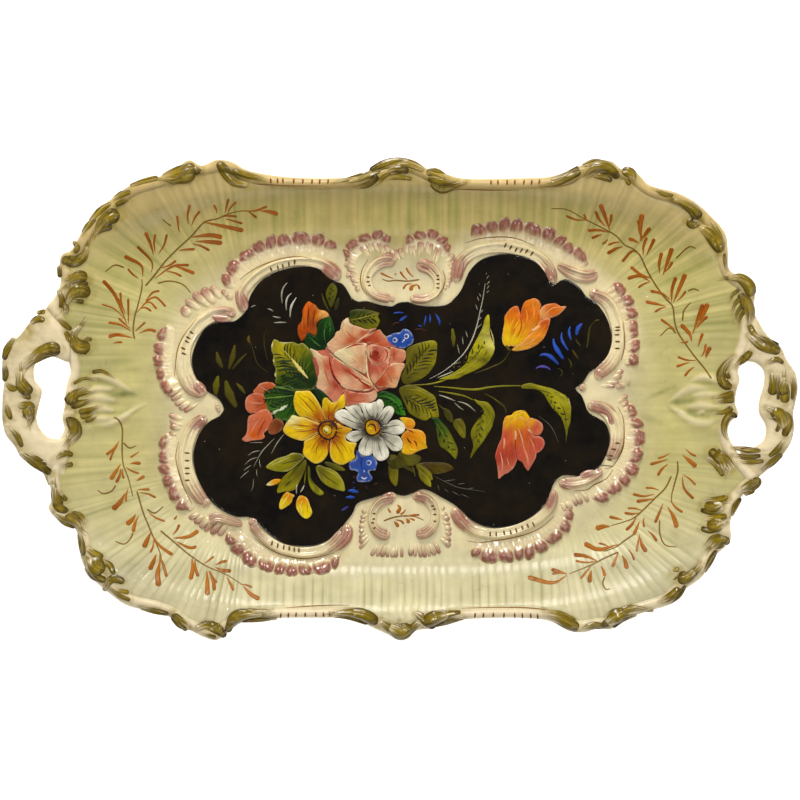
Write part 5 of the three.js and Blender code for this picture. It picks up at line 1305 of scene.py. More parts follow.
def pad_stroke(shapes, stations, seed):
    """A glossy rosy pad, brushed with fine lines and fading into the scroll that it ends."""
    flat, run, half, across = stroke_sheet([(x, y, 1.18 * w) for x, y, w in stations], 0.5, 19, blunt=0.2)
    x, y = flat[..., 0], flat[..., 1]
    base = shell_top(x, y)
    dome = np.sqrt(1 - across ** 2)[None]
    swell = np.maximum(rounded_ends(run, half * 1.3), 0.2)[:, None]
    hairs = 0.5 + 0.5 * waver(across * 11 + seed, seed)[None] + 0.2 * waver(run / 2, seed)[:, None]
    top = base - 0.1 + (1.3 + 0.42 * half[:, None]) * dome * swell * (0.93 + 0.07 * hairs)
    # Lighter mauve in fine brush lines, strongest on the pad's crown as a painted highlight.
    tints = mix(np.broadcast_to(MAUVE, (*x.shape, 3)), MAUVE_PALE_AND_HIGHLIGHT, clip01(hairs) * 0.75 * dome)
    to_end = np.minimum(run, run[-1] - run)[:, None]
    tints = mix(tints, PALE, clip01(0.75 * fade(to_end, 4.5, 0) * (0.3 + hairs) + 0.5 * fade(dome, 0.6, 0.2)))
    close_sheet(shapes, flat, top, base - 0.8, tints, brush_field(run, across, half, seed))


def streak_fan(shapes, start, end, count, seed):
    """A row of low, soft mauve ridges, from one guide line to another."""
    start, end = smooth_path(start, 1.0), smooth_path(end, 1.0)
    pitch = np.linalg.norm(np.diff(start, axis=0), axis=1).sum() / count
    for i in range(count):
        t = (i + 0.5) / count
        a = start[int(t * (len(start) - 1))]
        b = end[int(t * (len(end) - 1))]
        middle = (a + b) / 2 + 0.9 * math.sin(2.7 * i + seed) * np.array([0.6, 0.5])
        reach = 0.85 + 0.15 * math.sin(5.1 * i + seed)
        b = a + (b - a) * reach
        wide = pitch * (0.56 + 0.12 * math.sin(3.9 * i + 2 * seed))
        stations = [(*a, 0.8 * wide), (*middle, 0.8 * wide), (*b, 0.25 * wide)]
        flat, run, half, across = stroke_sheet(stations, 0.6, 9)
        base = shell_top(flat[..., 0], flat[..., 1])
        way = (run / run[-1])[:, None]
        dome = np.sqrt(1 - across ** 2)[None]
        top = base - 0.1 + np.minimum(half, 2.4)[:, None] * 0.8 * dome * (0.35 + 0.65 * rounded_ends(run, half * 1.4))[:, None]
        tone = 0.5 + 0.5 * math.sin(4.3 * i + seed)
        # Lighter mauve by each ridge's own tone, and on its crown as a painted highlight.
        tints = mix(np.broadcast_to(MAUVE, (*top.shape, 3)), MAUVE_PALE_AND_HIGHLIGHT, clip01(0.1 + 0.6 * tone + 0.4 * (dome - 0.7)) + 0 * way)
        hairs = clip01(0.5 + 0.5 * waver(across * 7 + i, seed))[None]
        tints = mix(tints, PALE, clip01(fade(way + 0.3 * hairs, 0.2, 0.95) * (0.8 + 0.2 * tone)))
        # Painted shade towards -Y.
        tints = painted_key_side_shade(tints, flat[..., 1])
        close_sheet(shapes, flat, top, base - 0.8, tints, brush_field(run, across, half, seed + i))


# ------------------------------------------------------------------ pieces of the tray

dish = dish_shapes()
ground = ground_shapes()
handles = {"handle_left": loop_shapes(LEFT_LOOP), "handle_right": loop_shapes(RIGHT_LOOP)}
make_piece("glazed_dish", dish, GLAZE, ["dish_body"])
make_piece("glazed_foot", foot_shapes(), GLAZE, ["foot_ring"])
make_piece("black_oval", ground, BLACK_GLAZE, ["black_ground"])
for name, shapes in handles.items():
    make_piece("glazed_" + name, shapes, GLAZE, [name])

relief = []
for seed, (name, stations) in enumerate(FRAME_SCROLLS.items()):
    shapes = scroll_shapes(stations, seed)
    relief.append(shapes)
    make_piece("glazed_" + name, shapes, RELIEF_GLAZE, [name])
for seed, (name, stations) in enumerate(FRINGES.items()):
    shapes = fringe_shapes(stations, SMALL_LOBE_PITCH if "cartouche" in name else LOBE_PITCH, seed)
    relief.append(shapes)
    make_piece("glazed_" + name, shapes, RELIEF_GLAZE, [name])
for seed, (name, pads) in enumerate(MAUVE_PADS.items()):
    shapes = Shapes()
    for i, stations in enumerate(pads):
        pad_stroke(shapes, stations, seed * 7 + i)
    relief.append(shapes)
    make_piece(name, shapes, RELIEF_GLAZE)
for seed, (name, fans) in enumerate(STREAK_FANS.items()):
    shapes = Shapes()
    for i, (start, end, count) in enumerate(fans):
        streak_fan(shapes, start, end, count, seed + i)
    relief.append(shapes)
    make_piece(name, shapes, RELIEF_GLAZE)

wall_surface = Surface(dish)
rim_surface = Surface(dish, *handles.values())
frame_surface = Surface(*relief, dish)
for seed, (name, stations) in enumerate(RIM_SCROLLS.items()):
    shapes = Shapes()
    olive_stroke(shapes, rim_surface, stations, 3.6, 1.25, 0.6, seed)
    olive_hairs(shapes, rim_surface, stations, seed)
    make_piece("glazed_" + name, shapes, OLIVE_GLAZE, [name])
for seed, (name, strokes) in enumerate(RIM_STROKES.items()):
    shapes = Shapes()
    for i, (stations, tone) in enumerate(strokes):
        olive_stroke(shapes, rim_surface, stations, 1.1, 1.2, tone, 40 + seed * 11 + i)
    make_piece(name, shapes, OLIVE_GLAZE)


def tick_stations(middle, aim, half_length):
    middle, aim = np.array(middle, float), np.array(aim, float)
    step = (aim - middle) / np.linalg.norm(aim - middle) * half_length
    return with_widths([middle - step, middle, middle + step], 0.55, 0.62, 0.35)


def line_piece(name, surface, lines, rows, line_colour, tick_colour):
    shapes = Shapes()
    for i, line in enumerate(lines):
        lay_stroke(shapes, surface, with_widths(line, 0.15, 0.42, 0.15), 0.16, line_colour, line_colour, i)
    for middles, aim, half_length in rows:
        for i, middle in enumerate(middles):
            lay_stroke(shapes, surface, tick_stations(middle, aim, half_length), 0.18, tick_colour, tick_colour, i)
    make_piece(name, shapes, PAINT)


line_piece("ochre_lines_frame", frame_surface, FRAME_LINES, TICK_ROWS, OCHRE, TICK)
line_piece("ochre_lines_rim", rim_surface, RIM_LINES, RIM_TICK_ROWS, rgb("9c7038"), rgb("8f4a1c"))

for seed, (name, sprig) in enumerate(SPRIGS.items()):
    shapes = Shapes()
    warm = mix(RUSSET, GOLD, 0.5) if "cartouche" in name or "bottom" in name else RUSSET
    for i, line in enumerate(sprig["stems"]):
        lay_stroke(shapes, wall_surface, with_widths(line, 0.55, 0.5, 0.3), 0.14, STEM, STEM, seed + i)
    for i, (width, *line) in enumerate(sprig["leaves"]):
        half = 0.28 + 0.66 * width
        if len(line) == 2:
            foot, head = np.array(line, float)
            bow = 0.08 * math.sin(2.1 * i + seed) * np.array([foot[1] - head[1], head[0] - foot[0]])
            line = [foot, (foot + head) / 2 + bow, head]
        stations = with_widths(densified(line), 0.2, half * 0.75, half * 0.95)
        tip = mix(warm, RUSSET_DARK, 0.35 + 0.3 * math.sin(2.3 * i))
        lay_stroke(shapes, wall_surface, stations, 0.2, mix(warm, GOLD, 0.45), tip, seed + i)
    make_piece(name, shapes, PAINT)

# ------------------------------------------------------------------ the painted bouquet

# Petals and leaves: outline, then the point that their brush strokes run from, then colours at places
# (blended in between), then the colour of a thin light edge or None. Later ones lie over earlier ones.
# Strokes: points, half width at the middle, colour at the start and at the end.
BOUQUET = {
    "bouquet_stems": {
        "petals": [],
        "strokes": [
            ([(48.9, 17.5), (55.1, 19.6), (61.3, 22.1), (66.3, 24.5), (69.6, 27.4), (72.1, 32)], 0.5, "5a5218", "4a4212"),
            ([(4.7, 9.7), (19.1, 10.5), (25.9, 12), (33.4, 14.7), (41, 16.9), (47.8, 19.6)], 0.6, "8a8228", "a39a34"),
            ([(22.1, 9), (33.4, 8.2), (42.9, 7.1), (52.4, 7.1), (60, 8.6), (70.2, 9.3), (80, 9.4)], 0.8, "8d8a2a", "78741e"),
            ([(25.1, 5.9), (35.7, 4.1), (42.9, 2.5), (48.6, -0.1)], 0.7, "86802a", "7a7620"),
            ([(55, 4.3), (59.9, 2.2), (65.3, -1.5), (69, -4.8), (70.2, -9)], 0.55, "5a581c", "4a4a1a"),
            ([(25, -3), (29, -6), (33.4, -9.6)], 0.5, "5a5618", "5a5618"),
            ([(-85.3, 49.4), (-89.1, 44.5), (-89.5, 36.1), (-87.2, 25.5)], 0.6, "2c2a10", "34320f"),
            ([(-100, 42), (-97, 33), (-94, 24), (-87, 18)], 0.5, "3a380e", "3a380e"),
            ([(-62.6, -43), (-65, -49), (-67.9, -55.9)], 0.55, "6d6a18", "8a862a"),
            ([(-61.8, -44), (-62.6, -50), (-63, -55.5)], 0.55, "6d6a18", "8a862a"),
            ([(22, -50), (30, -54), (38, -57.5), (46, -59), (56, -60.5)], 0.3, "6f6d60", "504e44"),
            ([(29, -53.5), (37, -52.5)], 0.3, "6f6d60", "55534a"), ([(38, -55.5), (43, -55)], 0.3, "6f6d60", "55534a"),
            ([(45, -58.5), (49, -58)], 0.3, "6f6d60", "55534a"), ([(25, -56), (26, -60)], 0.3, "6f6d60", "55534a"),
            ([(29, -58.5), (32, -61)], 0.3, "6f6d60", "55534a"), ([(34, -60), (40, -63.5)], 0.3, "6f6d60", "55534a"),
            ([(40, -62), (46, -64.5)], 0.3, "6f6d60", "55534a"),
            ([(90.9, -10.2), (98.3, -16), (101.6, -21), (104.6, -28.4)], 0.3, "6a6a5c", "55554a"),
        ],
    },
    "bouquet_grass_left": {
        "petals": [],
        "strokes": [
            ([(-82.7, -25.2), (-87.6, -30.2), (-91, -33.9), (-93.7, -38.5), (-96.7, -44.5)], 0.4, "b9b6a4", "7d7a6c"),
            ([(-76.4, -22.4), (-80.4, -27.5), (-83.1, -32), (-85, -35.8)], 0.4, "b9b6a4", "7d7a6c"),
            ([(-99.5, -28.3), (-95, -28), (-90.5, -28.1)], 0.35, "8f8c7c", "a9a695"),
            ([(-92.2, -33.4), (-96.7, -34.3), (-100.5, -36.8)], 0.35, "b9b6a4", "7d7a6c"),
            ([(-94.1, -37.7), (-99, -39.6), (-102.6, -42.8)], 0.35, "b9b6a4", "7d7a6c"),
            ([(-97.8, -43), (-100.6, -44.6), (-103.3, -46.6)], 0.35, "a3a090", "7d7a6c"),
            ([(-99.5, -46.6), (-102.6, -49), (-105.6, -51.9)], 0.35, "a3a090", "7d7a6c"),
            ([(-92.7, -39.2), (-92.6, -42), (-91.8, -44.9)], 0.35, "b9b6a4", "7d7a6c"),
            ([(-94.4, -45.7), (-94.6, -48), (-94.1, -50.8)], 0.35, "a3a090", "7d7a6c"),
            ([(-96.5, -51.7), (-97.1, -57.4), (-98.4, -60.6)], 0.35, "8f8c7c", "6a675c"),
            ([(-74, 77.6), (-76.3, 75.2), (-77.8, 71.7), (-78.1, 68), (-77.6, 63.4)], 0.6, "cfcbbb", "77746a"),
            ([(-71.5, 70.6), (-74, 68), (-75.1, 64.5), (-74.9, 58.9)], 0.7, "d9d5c6", "86826f"),
            ([(-68.3, 67.8), (-70.6, 64.2), (-72.1, 60.4), (-72.5, 54.3)], 0.8, "e8e4d6", "8f8c7c"),
            ([(-98.6, 61.1), (-96.8, 62), (-95, 62.5)], 0.5, "a3a090", "77746a"),
            ([(-87.6, 60.4), (-85.4, 59.6), (-83.4, 58.3)], 0.5, "b5b2a2", "77746a"),
            ([(-84.2, 55.3), (-81.4, 54.6), (-78.5, 54.3)], 0.5, "c5c2b2", "86836f"),
            ([(-83.4, 50.9), (-79, 51.2), (-74.7, 51.1)], 0.5, "c5c2b2", "86836f"),
        ],
    },
    "bouquet_leaves_left": {
        "petals": [],
        "strokes": [
            ([(-121, 32), (-119.6, 26), (-117, 21)], 2.0, "55500f", "3e3a0c"),
            ([(-109, 36.5), (-110.6, 28), (-113, 20)], 2.0, "5c5410", "3e3a0c"),
            ([(-101, 31), (-106, 26), (-111, 20)], 1.1, "4a4410", "3a360c"),
            ([(-120, 16), (-121.4, 9), (-121.5, 3)], 2.5, "6f6816", "4a460e"),
            ([(-115, 13), (-112.6, 4), (-108, -5)], 3.2, "5c5612", "443f0d"),
            ([(-108, 11), (-105, 8), (-102, 4)], 1.5, "5c5612", "443f0d"),
            ([(-99.7, 42.6), (-100, 40), (-99, 37.2)], 1.2, "6a5a14", "4a4010"),
            ([(-40.3, 67.6), (-41.8, 63.4), (-42.5, 58.9)], 1.8, "34361a", "2e3010"),
            ([(-51.6, 70.6), (-50.5, 66.4), (-46.7, 58.1)], 0.7, "5c5a14", "3c3a10"),
        ],
    },
    "white_fern": {
        "petals": [],
        "strokes": [
            ([(19.2, 13.8), (24.1, 16.3), (29.1, 19.2), (34.5, 23.3), (39, 27.4), (44, 33.2), (47.3, 39.4), (49.8, 46),
              (51.6, 52.6), (53.1, 59.7), (54.7, 67.1), (55.5, 73.3), (56.2, 77)], 0.45, "dcdac8", "a8a595"),
            ([(24.5, 14.6), (29, 16.4), (35.3, 19)], 0.4, "dcdac8", "b9b6a4"), ([(34.5, 23.3), (39, 25)], 0.3, "b9b6a4", "8f8c7c"),
            ([(50.2, 46.9), (54.1, 50.4)], 0.35, "b9b6a4", "8f8c7c"), ([(51.6, 52.6), (53.9, 54.7)], 0.35, "b9b6a4", "8f8c7c"),
            ([(53.1, 57.6), (54.9, 59.5)], 0.35, "b9b6a4", "8f8c7c"), ([(57, 70.6), (58.8, 72.3)], 0.35, "a3a090", "8f8c7c"),
            ([(57.2, 73.1), (59, 75.8)], 0.35, "a3a090", "8f8c7c"), ([(57.2, 75.8), (59.3, 78.7)], 0.35, "a3a090", "8f8c7c"),
            ([(57, 79.9), (58.8, 82.4)], 0.3, "a3a090", "8f8c7c"), ([(56.6, 82.8), (57.4, 84)], 0.3, "a3a090", "8f8c7c"),
            ([(51.2, 59.3), (49.8, 63.4)], 0.35, "b9b6a4", "8f8c7c"), ([(52, 65.2), (51, 68.3)], 0.35, "b9b6a4", "8f8c7c"),
            ([(53.5, 67.9), (52.2, 70.4)], 0.35, "a3a090", "8f8c7c"), ([(44.6, 41.1), (43.3, 45.8)], 0.35, "b9b6a4", "8f8c7c"),
            ([(41.7, 36.5), (41.1, 41.9)], 0.35, "b9b6a4", "8f8c7c"), ([(39.2, 30.3), (37.8, 36.9)], 0.35, "b9b6a4", "8f8c7c"),
            ([(35.3, 34.9), (35.2, 41), (34.5, 47.3)], 1.7, "4e4a0e", "6a6414"),
        ],
    },
    "leaves_lower_right": {
        "petals": [
            ([(-5, -36), (0, -38), (6, -43), (9, -48), (3, -45), (-3, -41)], (-5, -36), [(-2, -38, "5a5210"), (8, -46, "4a440e")], None),
            ([(-6, -36), (-2, -40), (-1, -48), (-2.6, -57), (-6.4, -53), (-7.6, -44)], (-6, -36),
             [(-5, -40, "5a5210"), (-4, -56, "6b6416")], None),
            ([(10.7, -42.2), (22.1, -41), (31.9, -42), (35.3, -45.2), (25.9, -48.8), (18, -48.5)], (10.7, -42.2),
             [(14, -43, "43350f"), (32, -44.5, "54461a")], None),
            ([(10, -41), (16, -43.4), (20.6, -48), (21.4, -53), (15.6, -50.6), (11.4, -46)], (10, -41),
             [(12, -43, "5d5612"), (20, -51, "77701a")], None),
            ([(12.4, -46), (17, -48.6), (20, -53), (20.4, -57.4), (15.6, -54.6), (12.6, -50.4)], (12.4, -46),
             [(14, -49, "6d6616"), (19, -56, "86802a")], None),
            ([(35.7, -13.4), (40.3, -12.2), (42.5, -15.3), (43.5, -20.9), (42.9, -25.1), (41.4, -25.1), (38, -21.3),
              (35, -16.4)], (35.7, -13.4), [(38, -14, "5c560f"), (42, -23, "716a18")], None),
            ([(29, -5.4), (32.4, -6.4), (34.6, -10), (34.6, -15), (31, -13), (29, -9)], (29, -5.4),
             [(31, -8, "3f3c10"), (34, -14, "4a4612")], None),
        ],
        "strokes": [
            ([(6.9, -41.4), (9, -46), (10, -50.9)], 0.6, "5a5414", "5a5414"),
            ([(11, -42.4), (16, -46), (20.6, -52)], 0.3, "a09a3a", "8a842c"),
            ([(36.4, -14.6), (39.6, -18.6), (42, -24)], 0.35, "8a8430", "8a8430"),
        ],
    },
    "leaves_right_of_hub": {
        "petals": [
            ([(4.7, 34), (8, 36), (11.7, 37.4), (16.7, 38.6), (20.8, 39.4), (24.1, 38.2), (24.5, 34), (24.1, 27.9),
              (22.9, 23.3), (17.5, 16.3), (10, 12), (3, 10.5), (0.2, 15.5), (2.6, 20.8), (3.9, 25.8), (3.5, 29.9)], (3, 12),
             [(4, 14, "524c0a"), (10, 22, "6a6208"), (22, 36, "8a8418"), (6, 32, "5c560c"), (21, 24, "7a7212")], None),
            ([(58.4, 56.5), (56, 53.9), (54.7, 48.5), (51, 41.1), (47.7, 34.5), (45.6, 30.7), (44, 25), (40.7, 21.7),
              (36.5, 18.8), (31.6, 16.3), (25.8, 13.8), (38.2, 14.2), (40.7, 15.5), (46.9, 18.3), (52.2, 20.8),
              (57.2, 24.1), (60.5, 28.3), (62.4, 33.2), (62.1, 36.9), (60.5, 40.2), (59.3, 44.4), (59.3, 50.6)], (26, 13.8),
             [(30, 14.6, "9a9430"), (45, 22, "8a8418"), (52, 34, "9a9424"), (61, 38, "c8bf6a"), (58, 53, "a39c34"),
              (56, 27, "77700f")], None),
            ([(-0.6, 7.5), (5, 10.1), (10, 9.8), (15.3, 7.5), (19.8, 4.8), (22.8, 2.5), (24.4, -2.8), (25.5, -8.4),
              (25.5, -11.5), (20.6, -11.5), (17.5, -13.4), (13.8, -13), (9.2, -10.7), (5.8, -8.1), (3.1, -2.8),
              (0.5, 2.9)], (2, 3), [(3, 5, "5a5409"), (14, 2, "7b7412"), (22, -8, "8a8218"), (8, -8, "6a6410")], None),
            ([(20.2, -11.9), (25.5, -12), (28.1, -14.9), (30.8, -17.9), (33.4, -22.1), (35.7, -26.6), (38, -32.3),
              (37.6, -36.9), (36.7, -39.1), (33.4, -35.7), (29.7, -32.7), (26.3, -30.4), (25.1, -26.6), (24.4, -22.8),
              (23.6, -17.9), (22.1, -14.1)], (22, -12),
             [(23, -13, "1e3a0c"), (27, -20, "3a5010"), (31, -28, "66681a"), (36, -36, "7d7a18")], None),
            ([(-9, -39), (-3, -38), (1, -33), (8, -35), (14, -38), (12, -42), (4, -44), (-5, -45)], (-6, -34),
             [(-6, -40, "3f3a0c"), (10, -40, "55500f")], None),
        ],
        "strokes": [
            ([(5.5, 17.5), (7.6, 21.7), (11.7, 27.4), (20, 36.1)], 0.4, "3a3606", "4a4508"),
            ([(9.4, 24.4), (9, 29), (9.6, 33.6)], 0.4, "4a4508", "5c5710"), ([(13, 29), (17.6, 29.6), (22, 31.4)], 0.4, "4a4508", "5c5710"),
            ([(7, 20.4), (13, 20.6), (19, 22.4)], 0.4, "4a4508", "5c5710"),
            ([(54.3, 36.9), (52.6, 32.8), (48.9, 28.3), (44, 24.1)], 0.55, "5a560c", "6a661a"),
            ([(57.5, 33), (56.8, 31), (55.7, 29.5)], 0.35, "56520c", "56520c"), ([(54, 27.6), (57, 26)], 0.35, "56520c", "56520c"),
            ([(59.6, 47), (61.6, 40), (62, 35.6)], 0.5, "d8d08a", "b8b060"),
            ([(29, 15.2), (38, 17.4), (46, 22), (52, 28)], 0.35, "c0ba5c", "a8a248"),
            ([(2, 3), (8, 0.6), (14, -3), (20, -7.5)], 0.5, "3a3606", "4f4a0a"), ([(1.5, 1.8), (6, -0.6), (12, -4.3)], 0.45, "3a3606", "4f4a0a"),
            ([(9.5, 3.8), (12, 3), (14, 1.9)], 0.4, "4a460a", "4a460a"), ([(4, 7), (11, 6.6), (17, 3.4), (21.6, -1)], 0.35, "a39c3a", "8f8828"),
            ([(24, -15), (28, -22), (31.6, -29), (35.6, -36)], 0.4, "8a8a3a", "5c5c14"),
            ([(12, -12), (17, -9.6), (22, -10.4)], 0.3, "9a943a", "8a842a"),
        ],
    },
    "long_leaf": {
        "petals": [
            ([(86, 11.3), (90.1, 10.2), (95.5, 8.8), (100.4, 7.6), (105.4, 5.1), (109.5, 2.6), (111.6, -0.7), (112.8, -4.4),
              (112.8, -9), (112.4, -14.3), (111.2, -18.5), (110.3, -23.4), (109.1, -28.8), (109.5, -24.7),
              (108.7, -18.5), (106.6, -12.3), (103.3, -8.1), (100, -4.8), (97.5, -0.7), (95, 3.4), (92.2, 5.9),
              (88.8, 7.1), (79.8, 8), (80, 9.6)], (80, 9),
             [(84, 9.4, "77721c"), (97, 5, "8d8720"), (107, 0, "a09a34"), (108, -12, "7a7518"), (110, -24, "5f5b14")], None),
            ([(48.6, 0.6), (52.4, -0.6), (57.3, -1.3), (60.7, -4.7), (62.6, -9.6), (61.5, -14.9), (60.7, -17.9),
              (58.4, -21.7), (56.2, -25.5), (53.9, -28.9), (50.5, -33.1), (46.3, -38.8), (46.7, -36.1), (48.2, -31.2),
              (47.8, -27.4), (46.7, -23.6), (47.1, -19.8), (49.7, -15.3), (53.5, -10.7), (55.4, -8.1), (53.9, -5),
              (50.5, -2)], (50, -1), [(51, -1, "86802a"), (59, -9, "77741a"), (54, -20, "7d7a1e"), (48, -34, "63601a")], None),
        ],
        "strokes": [
            ([(91, 6.8), (95, 5.8), (100, 4.2)], 0.5, "4f4b10", "5d5914"), ([(111, 1.5), (112.6, -4.8)], 0.4, "c9c48a", "a8a260"),
            ([(88, 9.6), (96, 7.6), (104, 4.4), (108.6, 0)], 0.3, "b0aa4c", "a09a3c"),
            ([(105, -1), (108.6, -8), (109.6, -18)], 0.4, "55521a", "4a4714"),
            ([(54, -3), (59.6, -7), (60, -13), (55, -21), (50.6, -29)], 0.4, "a39e3e", "6f6c20"),
            ([(25.5, 3.5), (30.4, 1.8), (36.7, -0.7)], 0.5, "d6d3c2", "9a9786"), ([(38, -0.9), (44, -2.8), (50.1, -7.7)], 0.5, "c5c2b0", "8f8c7c"),
            ([(35.7, -1.6), (39.1, -4.7), (42.2, -6.9)], 0.4, "b9b6a4", "86836f"),
        ],
    },
    "blue_strokes_right": {
        "petals": [],
        "strokes": [
            ([(92.2, 28.9), (93.6, 30), (98.5, 29.1), (104.8, 23.3)], 1.5, "3a58b4", "2c4694"),
            ([(101.2, 40.8), (101.6, 37.2), (104.8, 31.4), (107.9, 26.9)], 1.7, "3e60c4", "2f4ca4"),
            ([(106.8, 44.8), (106.5, 40.8), (108.8, 35.9), (111, 32.7)], 1.0, "4a6ad0", "3452b0"),
            ([(112.4, 48.8), (111.5, 45.3), (112.8, 39.4)], 1.0, "4464c8", "3452b0"),
            ([(120.4, 50.6), (117.5, 47.5), (116.4, 42.6)], 1.6, "3e5cc0", "3450a8"),
            ([(89.5, 20.6), (92.2, 22), (96.7, 21.6), (99.4, 19.8)], 1.0, "5a52a0", "4a4690"),
            ([(128.9, 52.4), (125.3, 47.5), (124, 38.5), (123.1, 34.1)], 0.8, "3a3614", "4a4418"),
            ([(132, 53), (130, 52.6), (128, 52)], 0.7, "4a3c18", "4a3c18"), ([(115.9, 39.9), (117.6, 37.4), (119.5, 35.4)], 0.8, "4a4418", "3a3614"),
            ([(113.7, 33.2), (115.6, 30), (117.7, 26.9)], 0.9, "5a4a1c", "3a3414"), ([(110.6, 27.8), (112.8, 24.2), (112.6, 20.6)], 0.7, "4a4418", "3a3614"),
            ([(104, 21), (106.6, 19.6), (107, 17), (105, 15.4)], 0.5, "4a4418", "3a3614"),
        ],
    },
    "orange_tulip": {
        "petals": [
            ([(69.2, 35.6), (67.4, 39.4), (67.8, 45.3), (68.7, 50.2), (69, 55.1), (71.6, 59.1), (74.8, 61.6), (77.5, 62),
              (78.6, 59.6), (79.3, 56.4), (80, 45), (74, 36)], (73, 34),
             [(71, 40, "e8c010"), (70, 46, "e6b21c"), (73, 56, "d9741c"), (77, 60, "d2661a"), (77, 46, "cf6a12")], "f0b48a"),
            ([(79.3, 56.9), (80.6, 61.4), (82.4, 64.9), (86, 66.5), (88.6, 67.2), (91.3, 65.8), (93.1, 62.3), (92.2, 59.6),
              (94, 53.8), (90, 44), (80, 36), (73, 36), (76, 48)], (74, 35),
             [(75, 39, "e8c010"), (80, 46, "e59a2c"), (82, 56, "c85a10"), (88, 65, "dc7c28"), (91, 56, "d46c1a"), (88, 48, "e08a30")],
             "f0b48a"),
            ([(91.8, 55.5), (92.7, 60), (94.9, 62.3), (98.9, 63.6), (103, 63.6), (106.1, 61.8), (109.7, 61.8), (107.4, 58.7),
              (104.3, 56), (100.3, 54.4), (96.7, 53.3), (94, 53.3)], (92, 54),
             [(93.6, 57, "dd9a5a"), (100, 59.6, "cf6420"), (107, 61, "d9762c")], "f0b48a"),
            ([(98.9, 53.8), (98.5, 49.7), (97.1, 45.3), (94.9, 40.8), (90.9, 36.8), (86, 34.1), (80.6, 32.7), (75.4, 32.3),
              (73.7, 33), (80, 38), (88, 46), (94, 53)], (75, 33),
             [(77, 34, "dca018"), (84, 37, "e59b3e"), (91, 42, "dd8426"), (97, 51, "c85a10")], "f0b48a"),
        ],
        "strokes": [
            ([(86.6, 45.9), (89, 46.8), (91, 48.2), (92.6, 49.2)], 1.3, "f2cf9c", "e8a868"),
            ([(71.6, 45.7), (73.4, 49.6), (74.8, 53.3)], 0.7, "f0c030", "f0a83c"), ([(74.8, 46.6), (77, 50), (78.8, 53.1)], 0.7, "f0c030", "f0a83c"),
            ([(79.6, 55), (80, 48), (77, 41)], 0.45, "a8440c", "c0660f"), ([(92, 57), (90, 50), (85, 43)], 0.4, "b04a0c", "d08020"),
            ([(83, 60), (84, 54), (82, 48)], 0.8, "ec9a48", "e88a2c"), ([(87.6, 63), (88.6, 57), (86.4, 51)], 0.7, "f0a860", "e88a2c"),
            ([(70, 36.4), (71.4, 34), (73.4, 32.4)], 1.2, "6a5a14", "55400c"), ([(78, 35), (86, 38), (92, 43), (96, 50)], 0.4, "f4c284", "e08a3c"),
            ([(96, 57), (101, 60.6), (106, 61)], 0.6, "f0a468", "e08840"),
        ],
    },
    "coral_tulip": {
        "petals": [
            ([(69.8, -11), (73.6, -9.8), (75.2, -8.1), (78.1, -6.9), (82.2, -7.1), (84.3, -9.4), (85.5, -11.9), (83, -19),
              (77, -21), (71, -18)], (77, -7), [(76, -10, "e8b818"), (82, -10, "e6b416"), (77, -18, "d88a20")], None),
            ([(69.8, -11), (68.2, -14.3), (67.6, -19.3), (66.9, -24.7), (64.5, -30.5), (62.8, -37.1), (63.6, -41.2),
              (64.5, -47), (65.1, -52.1), (68.2, -49.5), (71.5, -47.8), (74.8, -44.9), (76.4, -42), (77.3, -39.1),
              (77, -28), (75, -15)], (74, -12),
             [(71, -14, "dca022"), (69, -24, "bc4e38"), (66, -38, "a83e2e"), (67, -48, "c87058"), (74, -34, "b24632"), (75, -22, "c85e30")],
             "e0a08a"),
            ([(88, -23.4), (92.2, -24), (94.6, -25.9), (95.5, -28.8), (94.6, -31.3), (92.2, -34.2), (90.1, -35), (89.7, -37.9),
              (88, -41.2), (86, -44.5), (84.5, -46.8), (82.2, -44.1), (80.6, -41.2), (77.7, -39.1), (74, -28), (74, -16),
              (80, -11), (85, -16)], (79, -12),
             [(79, -14, "e0a01c"), (80, -24, "c85e30"), (78, -36, "ba503c"), (92, -29, "b24a3a"), (85, -43, "c46650"), (86, -22, "c45634")],
             "e0a08a"),
            ([(85.5, -11.9), (89.7, -12.7), (93, -14.8), (94.2, -16.8), (94.2, -19.7), (92.6, -22.6), (88.8, -23.4),
              (85.5, -20.5), (83.9, -16.4)], (84, -13), [(86, -14, "dc9a24"), (90, -18, "ba503c"), (93, -18, "cf7450")], "e0a08a"),
        ],
        "strokes": [
            ([(68.6, -24.7), (68.8, -28.6), (68.4, -32.5)], 0.8, "eab898", "d98a6a"), ([(76, -20), (76.3, -23.4), (76, -26.7)], 0.9, "f0c8a0", "e0a070"),
            ([(78.1, -18.5), (80.6, -26.3), (82.4, -34.6)], 0.6, "eec0a0", "d98060"), ([(83.9, -19.3), (85.6, -20.6), (86.8, -22.2)], 0.6, "f0c8a0", "e0a070"),
            ([(77, -39), (76, -30), (76.4, -22)], 0.45, "8a2c18", "b04a20"), ([(85, -24), (88, -30), (89, -35)], 0.6, "e09878", "d07858"),
            ([(66, -34), (67.6, -42), (67, -48)], 0.6, "e0a088", "d88a70"), ([(70.6, -38), (72, -43), (73, -45.6)], 0.6, "dc9478", "d07858"),
            ([(81, -30), (84, -38), (84.6, -44)], 0.6, "e0a080", "d88a68"), ([(74, -13), (77, -10), (81, -9.4)], 0.5, "f4d860", "f0cc40"),
        ],
    },
    "leaf_above_rose": {
        "petals": [
            ([(-44.8, 77.2), (-47.5, 74.4), (-49, 69.5), (-47.5, 64.5), (-45.6, 60.8), (-43.5, 64), (-42.5, 67.2),
              (-41.4, 71.7), (-42.1, 75.2)], (-45.6, 60.8), [(-45.6, 63, "4a480e"), (-45, 72, "5c5a10")], None),
            ([(-33.4, 58.3), (-30, 59.8), (-26.2, 60), (-21.7, 59.6), (-16, 58.3), (-13.3, 57.2), (-14.5, 55.3),
